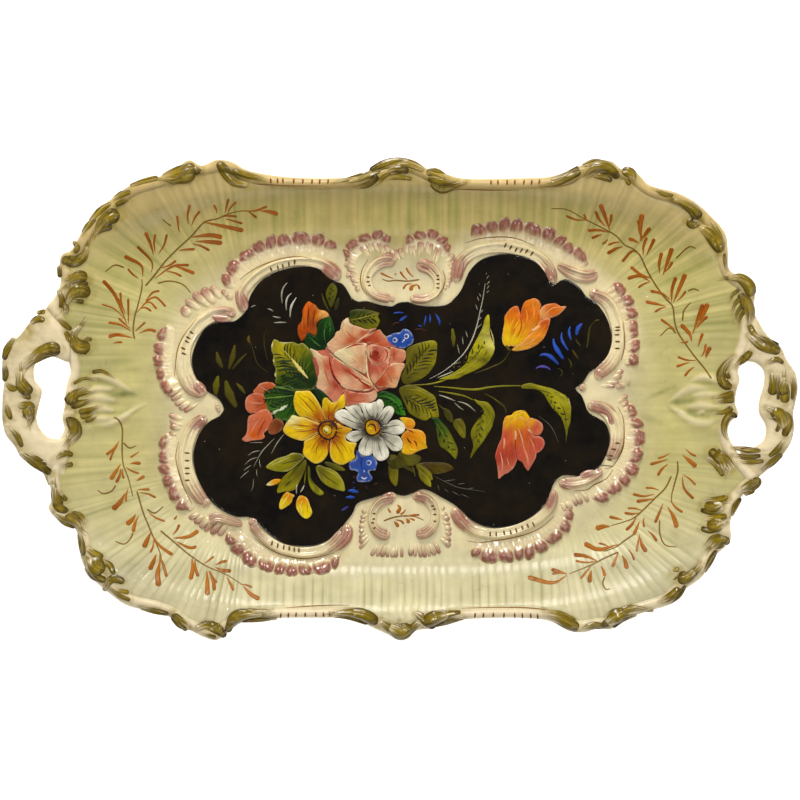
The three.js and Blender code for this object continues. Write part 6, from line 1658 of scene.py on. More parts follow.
              (-13.3, 52.2), (-14.8, 48.4), (-16.7, 46.6), (-20.2, 46.4), (-24.3, 47.3), (-29.2, 49.2), (-33.4, 50.7),
              (-34.4, 52.6), (-33, 55.3)], (-34, 52.4),
             [(-31, 57, "2c3508"), (-25, 58, "454a0c"), (-17, 50, "7a7410"), (-28, 51, "5c5c0c"), (-15, 56, "66640c")], None),
        ],
        "strokes": [
            ([(-33, 52.6), (-26, 54), (-20, 55.6), (-14, 56.4)], 0.4, "a8a040", "8a8430"),
            ([(-28, 53.6), (-26, 57), (-23, 59)], 0.35, "1e2606", "2c3508"), ([(-22, 54.8), (-19, 52), (-16, 50)], 0.35, "3a3a08", "4a4a0a"),
            ([(-27, 53.4), (-24, 50.6), (-21, 49)], 0.35, "3a3a08", "4a4a0a"), ([(-22, 55), (-19.6, 57), (-17, 58)], 0.35, "2a300a", "2a300a"),
        ],
    },
    "upper_blue_florets": {
        "petals": [
            ([(-9.2, 41.6), (-6.5, 42.8), (-4.2, 44.1), (0, 44.7), (1.8, 46.6), (3.3, 47.1), (5.6, 46.2), (7.5, 44.3),
              (9, 40.9), (8.3, 37.5), (5.6, 35.6), (3, 34.1), (-0.5, 34.1), (-3.5, 35), (-6.9, 35.9), (-8.4, 38.6)], (0, 40),
             [(-4, 39, "2a4a9a"), (4, 41, "2f52a6"), (-8, 41, "3a5cae"), (7, 38, "2a4a9a")], "c8d2e2"),
        ],
        "strokes": [
            ([(-5, 39.5), (-3.5, 41), (-2, 39.5), (-3.5, 38), (-5, 39.3)], 0.5, "dfe4ea", "c8d0dc"), ([(-4, 39.5), (-3, 39.5)], 0.9, "6a4a1c", "5a3a14"),
            ([(2.6, 42), (4.1, 43.6), (5.7, 42), (4.1, 40.4), (2.7, 41.8)], 0.5, "dfe4ea", "c8d0dc"), ([(3.6, 42), (4.6, 42)], 0.9, "6a4a1c", "5a3a14"),
            ([(3.4, 40.6), (2.4, 39.2), (1.1, 37.7)], 0.5, "eef0f0", "aab8cc"), ([(3.2, 46.2), (3.9, 45.8)], 0.6, "eef0f0", "dfe4ea"),
            ([(0.4, 41.6), (-0.4, 37.6)], 0.4, "1a2c66", "1a2c66"), ([(-4.6, 57.2), (-1, 57.7), (2.6, 57.5)], 0.6, "3a5cb8", "2c4694"),
            ([(-0.5, 52), (2, 53.8), (4.8, 55.6)], 1.0, "3a5cb8", "2c4694"), ([(17.1, 55.9), (16.6, 52.4), (15.7, 48.9)], 0.7, "3a5cb8", "2c4694"),
            ([(19.6, 56.8), (19.9, 53.6), (19.6, 50.6)], 0.7, "3a5cb8", "2c4694"), ([(23.3, 57.2), (25.8, 52.6), (26.2, 49.3)], 0.9, "3a5cb8", "2c4694"),
            ([(11.7, 49.3), (13, 49), (14.6, 48.5)], 0.6, "3a5cb8", "2c4694"), ([(9, 46.4), (13, 46.6), (18, 45.6)], 0.8, "3a1c10", "33180e"),
            ([(-6, 49), (-3, 50.6), (0, 51)], 0.9, "3a1c10", "2c150c"),
        ],
    },
    "dark_leaves_by_rose": {
        "petals": [
            ([(-58, 6.5), (-54.8, 8), (-50.5, 6), (-47.7, 2.9), (-50, 1.8), (-51.5, -1), (-54, 1), (-56.5, 4.5)], (-56, 6),
             [(-54, 4, "12280a"), (-50, 3, "1c3a10")], None),
            ([(-16.3, 2), (-14.7, 4.6), (-10, 6), (-5.6, 4.6), (-1.9, 2.3), (0.8, -0.7), (1.9, -4.5), (3.4, -8.3), (3.8, -10.2),
              (-0.3, -9.8), (-3.4, -8.3), (-5.3, -4.5), (-10.2, -4.1), (-11.3, -0.7)], (-15, 2),
             [(-12, 2, "1c3a10"), (-5, 2, "245014"), (0, -4, "2f6a1a"), (2, -9, "3a7a1e")], None),
        ],
        "strokes": [
            ([(-15, 2.6), (-8, 2), (-2, -2.4), (2, -8)], 0.4, "5a9a3a", "4a8a2a"), ([(-8, 2), (-5, 3.6)], 0.3, "0f2408", "0f2408"),
            ([(-3, -1), (-1.6, -5), (-2, -8)], 0.35, "0f2408", "123008"),
        ],
    },
    "big_leaf_left": {
        "petals": [
            ([(-83, 40), (-77.1, 37.3), (-73.8, 38.1), (-69.6, 38.1), (-67.1, 36.9), (-64.3, 37.7), (-59.7, 33.8),
              (-57.2, 30.5), (-55.2, 25.5), (-53.9, 20.5), (-54.1, 15.2), (-55.2, 9), (-58.5, 6.5), (-64.7, 6.1),
              (-69.6, 6.5), (-78, 9.5), (-82.2, 11), (-82, 14.8), (-82.4, 17.2), (-82, 20.5), (-83.5, 23.8), (-83.7, 29.6),
              (-84.9, 33.3)], (-58, 8),
             [(-78, 34, "a39420"), (-70, 33, "8f8514"), (-62, 33, "6f7012"), (-78, 22, "7a7a18"), (-76, 14, "2c4a0a"),
              (-68, 10, "173003"), (-57, 12, "142a05"), (-56, 22, "1c3a08"), (-60, 26, "3a520c")], "b5b060"),
        ],
        "strokes": [
            ([(-60.7, 14.2), (-64.7, 18.9), (-69, 24), (-71.6, 27.4)], 1.5, "e8d88a", "d8c870"),
            ([(-71.6, 27.4), (-75, 31), (-78.6, 34)], 0.6, "c8bc5a", "a89e3a"), ([(-70, 26), (-76, 25.6), (-82, 25)], 0.8, "24340a", "3a480c"),
            ([(-67, 21), (-74, 20.4), (-80, 19)], 0.9, "1e3006", "3a480c"), ([(-64.6, 18), (-70, 15), (-76, 13)], 0.8, "10220a", "1e3608"),
            ([(-66, 23.6), (-64, 29), (-62, 33)], 0.8, "4a5a0e", "5c680f"), ([(-69, 27), (-69.6, 32), (-70, 36)], 0.7, "5c5e0c", "6d6c10"),
            ([(-84, 38), (-84.6, 34)], 0.7, "e0d8a0", "c8c080"), ([(-83.6, 27), (-83, 24.6)], 0.7, "e0d8a0", "c8c080"),
            ([(-82.4, 18), (-82, 15)], 0.7, "d8d090", "c0b878"), ([(-80, 38.4), (-76, 37.6), (-70, 38)], 0.5, "d8d090", "b8b060"),
            ([(-63, 20), (-60, 24), (-58.6, 28)], 0.5, "5a7a1e", "4a6a14"), ([(-61, 16), (-57.6, 18), (-55.6, 21)], 0.5, "3a5a14", "2c4a0c"),
        ],
    },
    "coral_flower_left": {
        "petals": [
            ([(-96.9, 5.4), (-95.2, 7.7), (-92.8, 10.6), (-89.5, 11.7), (-86.6, 11.9), (-83.3, 11), (-80, 6), (-88, 2)], (-84, 4),
             [(-92, 8, "c46a45"), (-85, 8, "b8542f")], "e2a58a"),
            ([(-95.2, 4.8), (-98.6, 3.8), (-101, 1.9), (-102, -0.5), (-102, -4.7), (-101, -7.1), (-99, -8.8), (-97.3, -8.8),
              (-88, -6), (-88, 2)], (-88, -2), [(-99, -2, "c87050"), (-91, -2, "b04e2c")], "e2a58a"),
            ([(-99.8, -10.9), (-100.6, -15.8), (-100.8, -20), (-101.9, -23.3), (-104.3, -26), (-101.9, -27.6), (-97.7, -26.8),
              (-93.6, -26.4), (-90.3, -25.7), (-89.1, -24.1), (-89.9, -22), (-88.6, -20.8), (-87.4, -19.5), (-84, -12),
              (-88, -6), (-96, -9)], (-88, -9),
             [(-97, -14, "c87050"), (-97, -23, "d05a1c"), (-92, -18, "bf5c38"), (-100, -26, "d88a68")], "e2a58a"),
            ([(-87, -18.3), (-86.6, -21.6), (-85.3, -22.6), (-82.4, -22.6), (-79.1, -20.8), (-77.1, -18.3), (-76.7, -15.4),
              (-82, -12)], (-82, -14), [(-84, -20, "8a4a28"), (-79, -17, "6f3a1e")], "b98060"),
        ],
        "strokes": [
            ([(-98, -2), (-94, -2.4), (-90, -2)], 0.8, "dc9a80", "c46a48"), ([(-98.6, -22), (-95, -16), (-91, -11)], 0.8, "e09a80", "c46a48"),
            ([(-94, -24), (-91.6, -18), (-89, -13)], 0.6, "8f3a1c", "a8482a"), ([(-92, 9), (-88, 6.4), (-85, 4.6)], 0.6, "dc9a80", "b85c38"),
        ],
    },
    "feathery_leaf_left": {
        "petals": [
            ([(-93.6, 1.5), (-91, 4), (-89.5, 8.1), (-86, 8), (-83.3, 9.8), (-78, 9), (-73.8, 10.2), (-69, 6), (-66.7, -10.9),
              (-71.3, -10.5), (-74.6, -14.6), (-76, -13), (-78.7, -15), (-80, -12.6), (-82, -12.5), (-84, -8), (-87.4, -7.1),
              (-88.6, -5), (-91.9, -4.7), (-91, -1)], (-69.2, 5.7),
             [(-88, 2, "33581a"), (-80, 6, "2a4a14"), (-72, 4, "16300a"), (-76, -8, "2c5216"), (-69, -8, "1a380c"), (-84, -4, "3f6620")],
             "7d9a4a"),
        ],
        "strokes": [
            ([(-70, 4), (-78, 5), (-88, 6)], 0.7, "11260a", "2a4814"), ([(-70, 3), (-78, 2), (-90, 1)], 0.7, "5a7a2a", "6a8a3a"),
            ([(-70, 2), (-76, -0.6), (-86, -3)], 0.6, "11260a", "24420f"), ([(-70, 6), (-76, 7.6), (-83, 8.6)], 0.6, "5a7a2a", "6a8a3a"),
            ([(-69, 1), (-71, -5), (-75, -11)], 0.6, "11260a", "24420f"), ([(-68.6, 2), (-69, -5), (-70, -9.6)], 0.5, "5a7a2a", "4a6a22"),
            ([(-87, -11.3), (-83.7, -8), (-79.1, -6.3), (-73.8, -3)], 0.7, "d6dcc0", "a9b488"),
            ([(-79.5, -7.3), (-77.4, -5.4), (-74.4, -3.6)], 1.3, "dfe4cc", "b9c49a"), ([(-84.5, -9.6), (-82.6, -8.4), (-80.8, -7.1)], 0.8, "d6dcc0", "b9c49a"),
        ],
    },
    "orange_bud": {
        "petals": [
            ([(-46.7, 56), (-44, 50), (-43, 45), (-46, 40), (-49, 36.5), (-46.5, 33), (-48, 29.5), (-53, 31), (-58.5, 33.8),
              (-62.5, 37.5), (-63.5, 42), (-61, 44.5), (-56, 42.5), (-55, 46), (-53, 52)], (-50, 33),
             [(-50, 36, "0f2a0c"), (-60, 40, "1c3a10"), (-47, 50, "24481a"), (-50, 45, "16300c")], None),
            ([(-60.3, 65.1), (-63, 61.9), (-64.3, 58.9), (-64.5, 52.8), (-67.2, 49), (-67.5, 44.5), (-66.4, 41.1),
              (-64.9, 38.8), (-62, 42), (-61.1, 44.5), (-55.8, 42.6), (-54.7, 45.2), (-55, 49.4), (-52.8, 52.8),
              (-46.7, 55.5), (-47.5, 57.3), (-49.7, 58.9), (-53.1, 59.6), (-55.8, 62.7), (-58.4, 64.2)], (-59, 44),
             [(-62, 60, "c05c10"), (-64, 46, "a84c0a"), (-57, 50, "8a3e08"), (-50, 57, "d8a060"), (-58, 58, "b8560c")], None),
        ],
        "strokes": [
            ([(-60, 62), (-60.6, 55), (-61, 48)], 0.6, "6a3205", "6a3205"), ([(-56, 60), (-57, 54), (-57.6, 48)], 0.5, "6a3205", "6a3205"),
            ([(-64, 56), (-64.6, 50), (-64.4, 45)], 0.5, "d98040", "b8560c"), ([(-50, 57.4), (-53, 54), (-56, 51)], 0.6, "d8a060", "a85c18"),
            ([(-49, 38), (-50, 44), (-48, 52)], 0.5, "4a7a34", "3a6a2a"), ([(-52, 35), (-56, 38), (-60, 42)], 0.5, "4a7a34", "3a6a2a"),
            ([(-46.5, 42), (-46, 47), (-46.4, 52)], 0.4, "3a6a2a", "4a7a34"),
        ],
    },
    "painted_rose": {
        "petals": [
            ([(-57, 31), (-47, 36), (-36, 47), (-20, 44), (-10, 40), (0, 31), (0, 20), (-4, 10), (-15, 5), (-22, 0), (-34, -1),
              (-44, 3), (-52, 9)], (-22, 22), [(-22, 22, "a8564a"), (-40, 10, "9c4a3e"), (-10, 10, "b0604e"), (-40, 36, "b86c58")], None),
            ([(-59.5, 34), (-54.6, 32.2), (-50, 30), (-46.8, 29.3), (-45.2, 25), (-44.6, 18), (-41.7, 13), (-38.3, 9), (-36, 7),
              (-38, 3), (-41, -1), (-43, -2), (-46, 0.5), (-48.2, 3), (-52, 6.4), (-55, 8.3), (-54.2, 14), (-54, 19.5),
              (-55.8, 25.7), (-57.5, 30)], (-40, 14),
             [(-56, 30, "e0c096"), (-53, 18, "d9b58a"), (-52, 9, "d9ae88"), (-47, 22, "b5553a"), (-44, 4, "c87a60"), (-42, 10, "a8432c")],
             "ecd2ae"),
            ([(-34.2, 54.3), (-38, 51.7), (-38.9, 49.6), (-39.8, 45.8), (-41.9, 45), (-43.3, 42), (-45.2, 39.9), (-48.2, 36.7),
              (-47.4, 34.1), (-45.5, 32.2), (-43.8, 30.5), (-36.8, 35), (-30, 37.3), (-25.5, 40.5), (-21.7, 43.1),
              (-18.6, 45.8), (-15.2, 47.5), (-21.7, 46.6), (-27.3, 48.4), (-33, 50.7)], (-30, 37),
             [(-34, 52, "e6cba2"), (-37, 47, "d9b083"), (-45, 36, "dcae88"), (-28, 46, "d8a078"), (-32, 39, "b4552f"), (-24, 44, "b8583a")],
             "ecd2ae"),
            ([(-29.6, 37.1), (-15.2, 46.2), (-13.3, 46.4), (-11.4, 43.9), (-8.8, 41.2), (-7.7, 37.5), (-6.5, 35), (-9.2, 34.4),
              (-16.7, 36.7), (-21.7, 37.5), (-27.3, 37.5)], (-20, 34),
             [(-25, 38.4, "93240f"), (-16, 40, "b04a2e"), (-11, 42, "c87a58"), (-8, 36, "b85a3a")], "e9c29a"),
            ([(-6.5, 35), (-0.5, 33.8), (3.3, 32.5), (3.7, 28), (2.6, 25.7), (1, 24.6), (-3, 24.5), (-6.5, 23), (-6.7, 27),
              (-5.9, 33)], (-8, 28), [(-5, 31, "b8583c"), (1, 31, "d08a6a"), (0, 27, "c97a5a")], "ecc8a4"),
            ([(-6.5, 23.4), (0, 24.5), (3, 24), (2.8, 21.5), (1, 18.5), (0, 15), (-1.2, 11.7), (-2.7, 8.3), (-10, 8.3),
              (-14.1, 8.1), (-17.1, 10.6)], (-15, 14),
             [(-12, 12, "b0442a"), (-6, 19, "c46a48"), (0, 21, "dcaa80"), (-4, 11, "d8a474")], "ecd2ae"),
            ([(-36.5, 7), (-33, 6), (-27, 4.8), (-20, 5), (-16.5, 6.5), (-15, 3), (-16, 0.5), (-19, -1.5), (-25, -3.5), (-31, -3),
              (-35, -4), (-36, 0)], (-26, 8), [(-34, 3, "b5583a"), (-26, 1, "c8775a"), (-18, 2, "dca888"), (-27, 5, "a8452c")],
             "e6be9c"),
            ([(-44, 28), (-40.6, 26.5), (-35.3, 22.5), (-30, 19), (-27, 16.5), (-21.7, 13), (-17.5, 8), (-20, 6.5), (-27, 6),
              (-35.3, 7.2), (-38.3, 9), (-41.7, 13), (-44.6, 18), (-45, 23)], (-20, 8),
             [(-43, 22, "c46a50"), (-36, 13, "dcae88"), (-28, 10, "d8a07c"), (-34, 20, "b04a30"), (-22, 10, "a8452c")], "ecd2ae"),
            ([(-43.8, 30.3), (-36.8, 34.6), (-29.6, 36.9), (-21.7, 37.1), (-22.4, 34.4), (-22.6, 25), (-23, 17.4), (-25.5, 18.1),
              (-30, 20.4), (-35.3, 23.4), (-40.6, 27.6)], (-24, 26),
             [(-41, 30, "e8d6aa"), (-34, 30, "e3cfa0"), (-27, 34, "dcb088"), (-24.6, 26, "c88a60"), (-27, 21, "d8a882")], "f0e0bc"),
            ([(-19.4, 24.6), (-16, 22.1), (-12.2, 23.8), (-6.9, 23.4), (-12, 16.5), (-17.1, 10.6), (-19.2, 14), (-20, 19)], (-17, 24),
             [(-17, 21, "ac5242"), (-11, 21, "bc6652"), (-16, 13, "cf9a78")], None),
            ([(-22.4, 34.4), (-19.8, 36.3), (-16.7, 36.5), (-9.2, 34.4), (-6.1, 32.9), (-6.5, 28.8), (-7.3, 25.7), (-6.7, 24.4),
              (-8.8, 23.1), (-12.2, 23.8), (-16, 22.1), (-19.4, 24.6), (-21, 29)], (-15, 29),
             [(-20, 32, "d8a07a"), (-12, 33, "c46a50"), (-9, 28, "d89878"), (-14, 26, "b8583c"), (-19, 27, "c88060")], "ecd2ae"),
            ([(-20.2, 30.3), (-19, 34), (-16, 35.6), (-13, 34), (-11.8, 30.3), (-13, 26.6), (-16, 24.8), (-19, 26.6)], (-16, 30.3),
             [(-16, 30.3, "8e3226"), (-13, 33, "b86450")], None),
        ],
        "strokes": [
            ([(-46.7, 31), (-38.3, 24.6), (-33, 21.6), (-27, 17.4), (-21.7, 13.6), (-17.9, 9.8), (-14.5, 5.3)], 0.7, "ecd8aa", "e0c090"),
            ([(-22, 34.4), (-22.2, 25), (-21.7, 19.3), (-20.9, 15.5), (-19.4, 12.1), (-18, 10)], 0.8, "ecd8aa", "e8d3a2"),
            ([(-29.2, 14), (-25.5, 12.8), (-21.7, 10.9), (-17.9, 9)], 0.5, "e8d3a2", "dcc090"),
            ([(-6.5, 23.8), (-12.2, 16.2), (-16.7, 10.9)], 0.4, "e0a880", "e0a880"),
            ([(-29.6, 37.2), (-25.5, 40.5), (-21.7, 43.1), (-18.6, 45.5), (-15.5, 46.5)], 0.5, "e9c29a", "e9c29a"),
            ([(-46.8, 28.6), (-45.6, 22), (-43.6, 16), (-39, 10)], 0.7, "8a1f0c", "93240f"), ([(-24.7, 5.8), (-22, 6.6), (-19.8, 6.6)], 0.5, "ecd8aa", "ecd8aa"),
            ([(-36, 20), (-31, 16.6), (-25, 12), (-20, 8)], 0.8, "a8452c", "93301a"), ([(-36, 34), (-30, 36.2), (-24, 37)], 0.6, "a84028", "93240f"),
            ([(-17, 30.6), (-16, 32), (-14.6, 31), (-15.4, 29.2), (-17.2, 28.8)], 0.45, "6e1c12", "8a3026"),
            ([(-18.6, 29), (-18.4, 32.6), (-15.6, 34)], 0.4, "e4b898", "d09880"),
            ([(-15.2, 33.2), (-13.4, 32.4), (-13.2, 30.2), (-14.6, 29)], 0.4, "c88068", "c06a50"),
            ([(-15.4, 34.6), (-12.6, 33.6), (-11.8, 30.6), (-13, 28)], 0.4, "c88068", "c06a50"),
            ([(-15, 35.6), (-11.4, 34.2), (-10.2, 30.4), (-12, 26.4)], 0.45, "d89a80", "c06a50"),
            ([(-12, 35), (-9, 32.8), (-8.4, 29), (-10.4, 25.4)], 0.4, "93301a", "a84028"), ([(-20.6, 33.6), (-21, 29), (-19.4, 25.6)], 0.5, "ecd2ae", "e0b890"),
            ([(-50, 27), (-49, 18), (-46, 10)], 0.7, "c87a60", "c06a50"), ([(-3.6, 32), (-4, 28.6), (-3.4, 26)], 0.5, "a84430", "b85a40"),
            ([(-32, 28), (-28, 24.6), (-25, 21)], 0.6, "d8b088", "cf9a78"), ([(-36, 46), (-32, 42), (-28, 39.6)], 0.6, "c8805c", "b85a3a"),
            ([(-10, 20), (-7, 16), (-5, 11)], 0.6, "b85a3c", "c87a58"), ([(-34, 0.4), (-28, -0.6), (-22, 0.4)], 0.6, "b85a40", "c87a5c"),
        ],
    },
    "yellow_narcissus": {
        "petals": [
            ([(-58, -8), (-50, -6), (-42, -8), (-38, -14), (-36, -24), (-40, -34), (-48, -34), (-56, -30), (-64, -22), (-64, -14)],
             (-48, -20), [(-48, -20, "8a4a08"), (-58, -12, "a8620c"), (-40, -30, "93500a")], None),
            ([(-51.1, -0.7), (-50, 1.4), (-48.4, 1.6), (-46.6, 0), (-44.7, -1.6), (-42, -1.4), (-40.1, 0.5), (-39, 2.7),
              (-36.3, 4.2), (-35.8, 0), (-36.3, -4.1), (-38.2, -5.6), (-40.9, -6.4), (-42.8, -9.4), (-45.4, -12), (-49.6, -13)],
             (-47.5, -16), [(-49, -2, "dcb60a"), (-38, 0, "e4c01c"), (-46, -10, "a8520a"), (-42, -4, "d0a00c")], "f0dc60"),
            ([(-68.8, 5.7), (-64.7, 5.9), (-59.7, 5.9), (-57.2, 3.6), (-54.8, 0.3), (-52.3, -4.3), (-50.2, -8.8), (-49, -14),
              (-56.4, -14), (-60.5, -11.7), (-65.9, -10.9), (-68.4, -8), (-70, -3.4), (-70.2, 0.7), (-69.2, 4.4)], (-49, -17),
             [(-66, 2, "e8c41c"), (-60, -4, "dcb60a"), (-54, -11, "b0620a"), (-68, -6, "e0b90c")], "f4e27a"),
            ([(-70.9, -10), (-72.9, -12.5), (-75.4, -15.8), (-77.1, -20.4), (-75, -22.9), (-71.7, -24.9), (-67.1, -26.4),
              (-63.4, -26.8), (-60.5, -25.3), (-56.4, -22.6), (-50, -21), (-50, -17.5), (-58.9, -13.3), (-62.6, -11.7),
              (-66.7, -11.1)], (-48, -19),
             [(-71.5, -12, "ece0a0"), (-72, -20, "e0b90c"), (-64, -18, "dcb00c"), (-55, -19, "a8520a")], "f4e27a"),
            ([(-63, -27.1), (-63.4, -30.5), (-64.1, -34.7), (-63, -37), (-60, -39.6), (-56.2, -41.9), (-52.4, -41.1),
              (-49.4, -38.5), (-47.5, -35.1), (-47.8, -30.9), (-46.5, -24.1), (-49.7, -22.6), (-55, -22.7), (-58.8, -24.8)], (-48, -21),
             [(-60, -36, "e8c41c"), (-54, -36, "dcb60a"), (-51, -27, "a8520a"), (-60, -29, "d8ac0c")], "f4e27a"),
            ([(-43.5, -14.5), (-38, -17), (-31.5, -19.5), (-35.9, -23.4), (-35.2, -26.8), (-31.8, -28), (-28.7, -28.3),
              (-29.9, -32.1), (-30.3, -35.2), (-29.5, -37.8), (-31.8, -39.7), (-34.4, -41.2), (-37.8, -42.7), (-41.6, -42),
              (-45, -39.3), (-46.2, -35.5), (-46.2, -31), (-45.7, -25.2), (-44.5, -20)], (-47, -20),
             [(-34, -38, "e8c41c"), (-40, -36, "dcb60a"), (-43, -25, "a8520a"), (-36, -21, "c8900c"), (-33, -30, "e0b90c")], "f4e27a"),
            ([(-54.4, -19.8), (-53.4, -16), (-50.6, -13.6), (-47, -13), (-43.6, -14.4), (-41.2, -17.4), (-40.8, -21), (-42.6, -24.2),
              (-46, -26), (-50, -25.8), (-53.2, -23.6)], (-48, -20),
             [(-44, -16, "3a1402"), (-52, -17, "8a4a08"), (-48, -24.6, "a8620c"), (-47, -20, "d8a80e"), (-52.6, -22, "b87a0c")], None),
            ([(-52, -19.4), (-50.6, -16.4), (-47.4, -15.6), (-44.4, -17.4), (-43.6, -20.6), (-45.4, -23), (-48.6, -23.6),
              (-51.4, -22)], (-48, -20), [(-48, -20, "e4c21c"), (-45, -18, "c08a0c")], None),
        ],
        "strokes": [
            ([(-49.8, -18.2), (-48.6, -19.4), (-47.2, -20.8)], 1.5, "ece2b0", "e4d898"), ([(-50.8, -19.4), (-49, -21.4), (-46.6, -22.4)], 0.4, "3a1402", "5a2804"),
            ([(-50.4, -16.8), (-47.6, -16.4), (-45.2, -18.4), (-44.8, -21)], 0.4, "3a1402", "3a1402"),
            ([(-65.9, 1.9), (-62, -2), (-57, -8)], 0.5, "b87a0c", "8a4a08"), ([(-64, 3.4), (-59, 0), (-54.6, -6)], 0.5, "c89a10", "a8620c"),
            ([(-71.5, -16), (-66, -16.6), (-59, -17.4)], 0.5, "b87a0c", "8a4a08"), ([(-70, -21), (-64, -20.6), (-57, -19.8)], 0.5, "c08a10", "93500a"),
            ([(-55.6, -36), (-54.6, -31), (-51.6, -26)], 0.5, "b87a0c", "8a4a08"), ([(-59, -34), (-56, -29), (-53, -25.6)], 0.5, "c89a10", "a8620c"),
            ([(-38, -37), (-40.6, -32), (-43.6, -26.6)], 0.5, "b87a0c", "8a4a08"), ([(-34.6, -34), (-38, -29), (-42, -24.6)], 0.5, "c89a10", "a8620c"),
            ([(-47, -3), (-47, -7), (-47.4, -12)], 0.5, "b87a0c", "8a4a08"), ([(-41, -2.6), (-43, -6), (-45, -11)], 0.45, "b87a0c", "8a4a08"),
            ([(-51, -26), (-51.6, -28)], 0.4, "5a2804", "5a2804"), ([(-48.6, -26.4), (-48.6, -28.6)], 0.4, "5a2804", "5a2804"),
            ([(-46, -26.2), (-45.2, -28.2)], 0.4, "5a2804", "5a2804"), ([(-67, -2), (-63, -6), (-57, -10.6)], 0.5, "f0e060", "d8b420"),
            ([(-72, -18.4), (-67, -18.8), (-62, -19)], 0.5, "f4e890", "e4c430"),
        ],
    },
    "orange_yellow_flower": {
        "petals": [
            ([(-0.3, -12), (1.9, -11.3), (5.3, -11.7), (8, -12.4), (9.9, -14.7), (9.5, -17.7), (7.6, -19.2), (4.6, -19.6),
              (3.4, -18.1), (1.6, -14.3)], (2, -18), [(3, -13, "e0b020"), (8, -15, "dc8f12"), (5, -18, "c8760c")], "f0cc60"),
            ([(3.1, -21.1), (6, -19.4), (9.9, -19.2), (14.4, -20.4), (16.7, -23), (17.1, -27.2), (17.5, -30.2), (18.2, -31.4),
              (15.2, -32.5), (11.4, -34), (7.6, -35.9), (3.8, -35.9), (1.2, -34.4), (1.9, -31), (1.9, -27.2), (0.8, -24.5)], (2, -22),
             [(5, -23, "c8760c"), (13, -23, "dc8f12"), (15, -30, "e0a81c"), (5, -33, "e0b020"), (9, -28, "d8860f")], "f0cc60"),
        ],
        "strokes": [
            ([(4.3, -24.5), (5.4, -26.2), (6.1, -28)], 0.5, "5a2a02", "5a2a02"), ([(5.3, -26), (6.6, -27.6), (7.6, -29)], 0.5, "5a2a02", "5a2a02"),
            ([(9.2, -26.4), (10.6, -28.6), (11.4, -31)], 0.5, "5a2a02", "5a2a02"), ([(5, -19.7), (7, -20.4), (9, -21.5)], 0.5, "5a2a02", "5a2a02"),
            ([(6, -31), (8, -33), (11, -33)], 0.6, "f0d050", "e8c040"), ([(12, -22), (14.6, -25), (15, -28.6)], 0.6, "f0b848", "e8b030"),
        ],
    },
    "daisy": {
        "petals": [
            ([(-4.5, -22.7), (-1.1, -23.8), (1.2, -26.4), (1.9, -29.5), (1.2, -32.5), (-1.1, -33.6), (-4.5, -33.6), (-8.3, -30.6),
              (-12.1, -25.7), (-14, -22)], (-18, -18.5), [(-1, -30, "e6e1ca"), (-6, -28, "b5b19e"), (-12, -24, "575348")], "f2edda"),
            ([(-36, -24.2), (-34.1, -21.5), (-29.5, -20.4), (-20.6, -19.6), (-20, -22.3), (-25.7, -25.3), (-29.5, -28), (-33.3, -26.8)],
             (-18, -18.5), [(-34, -24.6, "ece7d2"), (-29, -23.6, "b5b19e"), (-23, -21.6, "575348")], "f2edda"),
            ([(-36.3, -4.5), (-33.3, -3.5), (-29.5, -2.6), (-26.9, -3.3), (-25, -8.3), (-20.7, -14), (-24, -15.3), (-30, -11),
              (-34.8, -6.4)], (-18, -18.5), [(-32, -4.6, "ece7d2"), (-28, -8, "b5b19e"), (-23, -13, "575348")], "f2edda"),
            ([(-15.7, -1.4), (-15.1, -0.1), (-13.6, 0.6), (-11.7, -0.3), (-10.6, -3.3), (-11.3, -5.6), (-13.2, -11), (-15.7, -14.3),
              (-16, -8)], (-18, -18.5), [(-13.4, -2, "ece7d2"), (-14, -7, "b5b19e"), (-15, -12, "575348")], "f2edda"),
            ([(-8.3, -15.8), (-6, -13.9), (-1.9, -13), (1.2, -14.3), (3.4, -17.7), (2.7, -20.8), (0, -22.5), (-3.8, -22.7),
              (-9.4, -21.1), (-14.1, -19.6), (-13, -17.6)], (-18, -18.5), [(0, -17.6, "ece7d2"), (-5, -18, "c6c2ae"), (-11, -19, "575348")],
             "f2edda"),
            ([(-25, -26), (-21.9, -22.5), (-18.9, -21.5), (-18.3, -29.5), (-18.5, -35.2), (-20.8, -36.7), (-25, -36.3), (-27.2, -34),
              (-27.2, -30.6)], (-18, -18.5), [(-23, -34.6, "ece7d2"), (-22.4, -29, "bdb9a5"), (-20.6, -24, "575348")], "f2edda"),
            ([(-43.1, -10.9), (-41.6, -7.5), (-38.6, -6.2), (-35.2, -6.7), (-30.3, -11.3), (-22, -17.3), (-24, -19.8), (-28.7, -19.2),
              (-34.1, -17.3), (-39.7, -14.3)], (-18, -18.5), [(-40, -10, "f0ebd8"), (-33, -13, "c6c2ae"), (-25, -17.4, "575348")], "f2edda"),
            ([(-26.9, -2.2), (-23.4, -1.8), (-20, -2.2), (-15.5, -1.1), (-15.5, -5), (-16.3, -13.3), (-19, -14.7), (-22.1, -13.3),
              (-25, -6.4)], (-18, -18.5), [(-21, -4, "f0ebd8"), (-20, -8, "bdb9a5"), (-19, -12, "575348")], "f2edda"),
            ([(-10.2, -5.2), (-7.5, -3.9), (-4.9, -4.8), (-3.8, -7.1), (-4.9, -10.2), (-7.5, -13.9), (-12.3, -18.7), (-15, -14.8),
              (-12.8, -9)], (-18, -18.5), [(-6.6, -6.6, "ece7d2"), (-9, -11, "b5b19e"), (-13, -15.6, "575348")], "f2edda"),
            ([(-15.1, -22.3), (-12, -25), (-9.1, -30.2), (-7.5, -33.3), (-7.5, -37), (-9.8, -39.3), (-13.6, -40.1), (-16.3, -38.2),
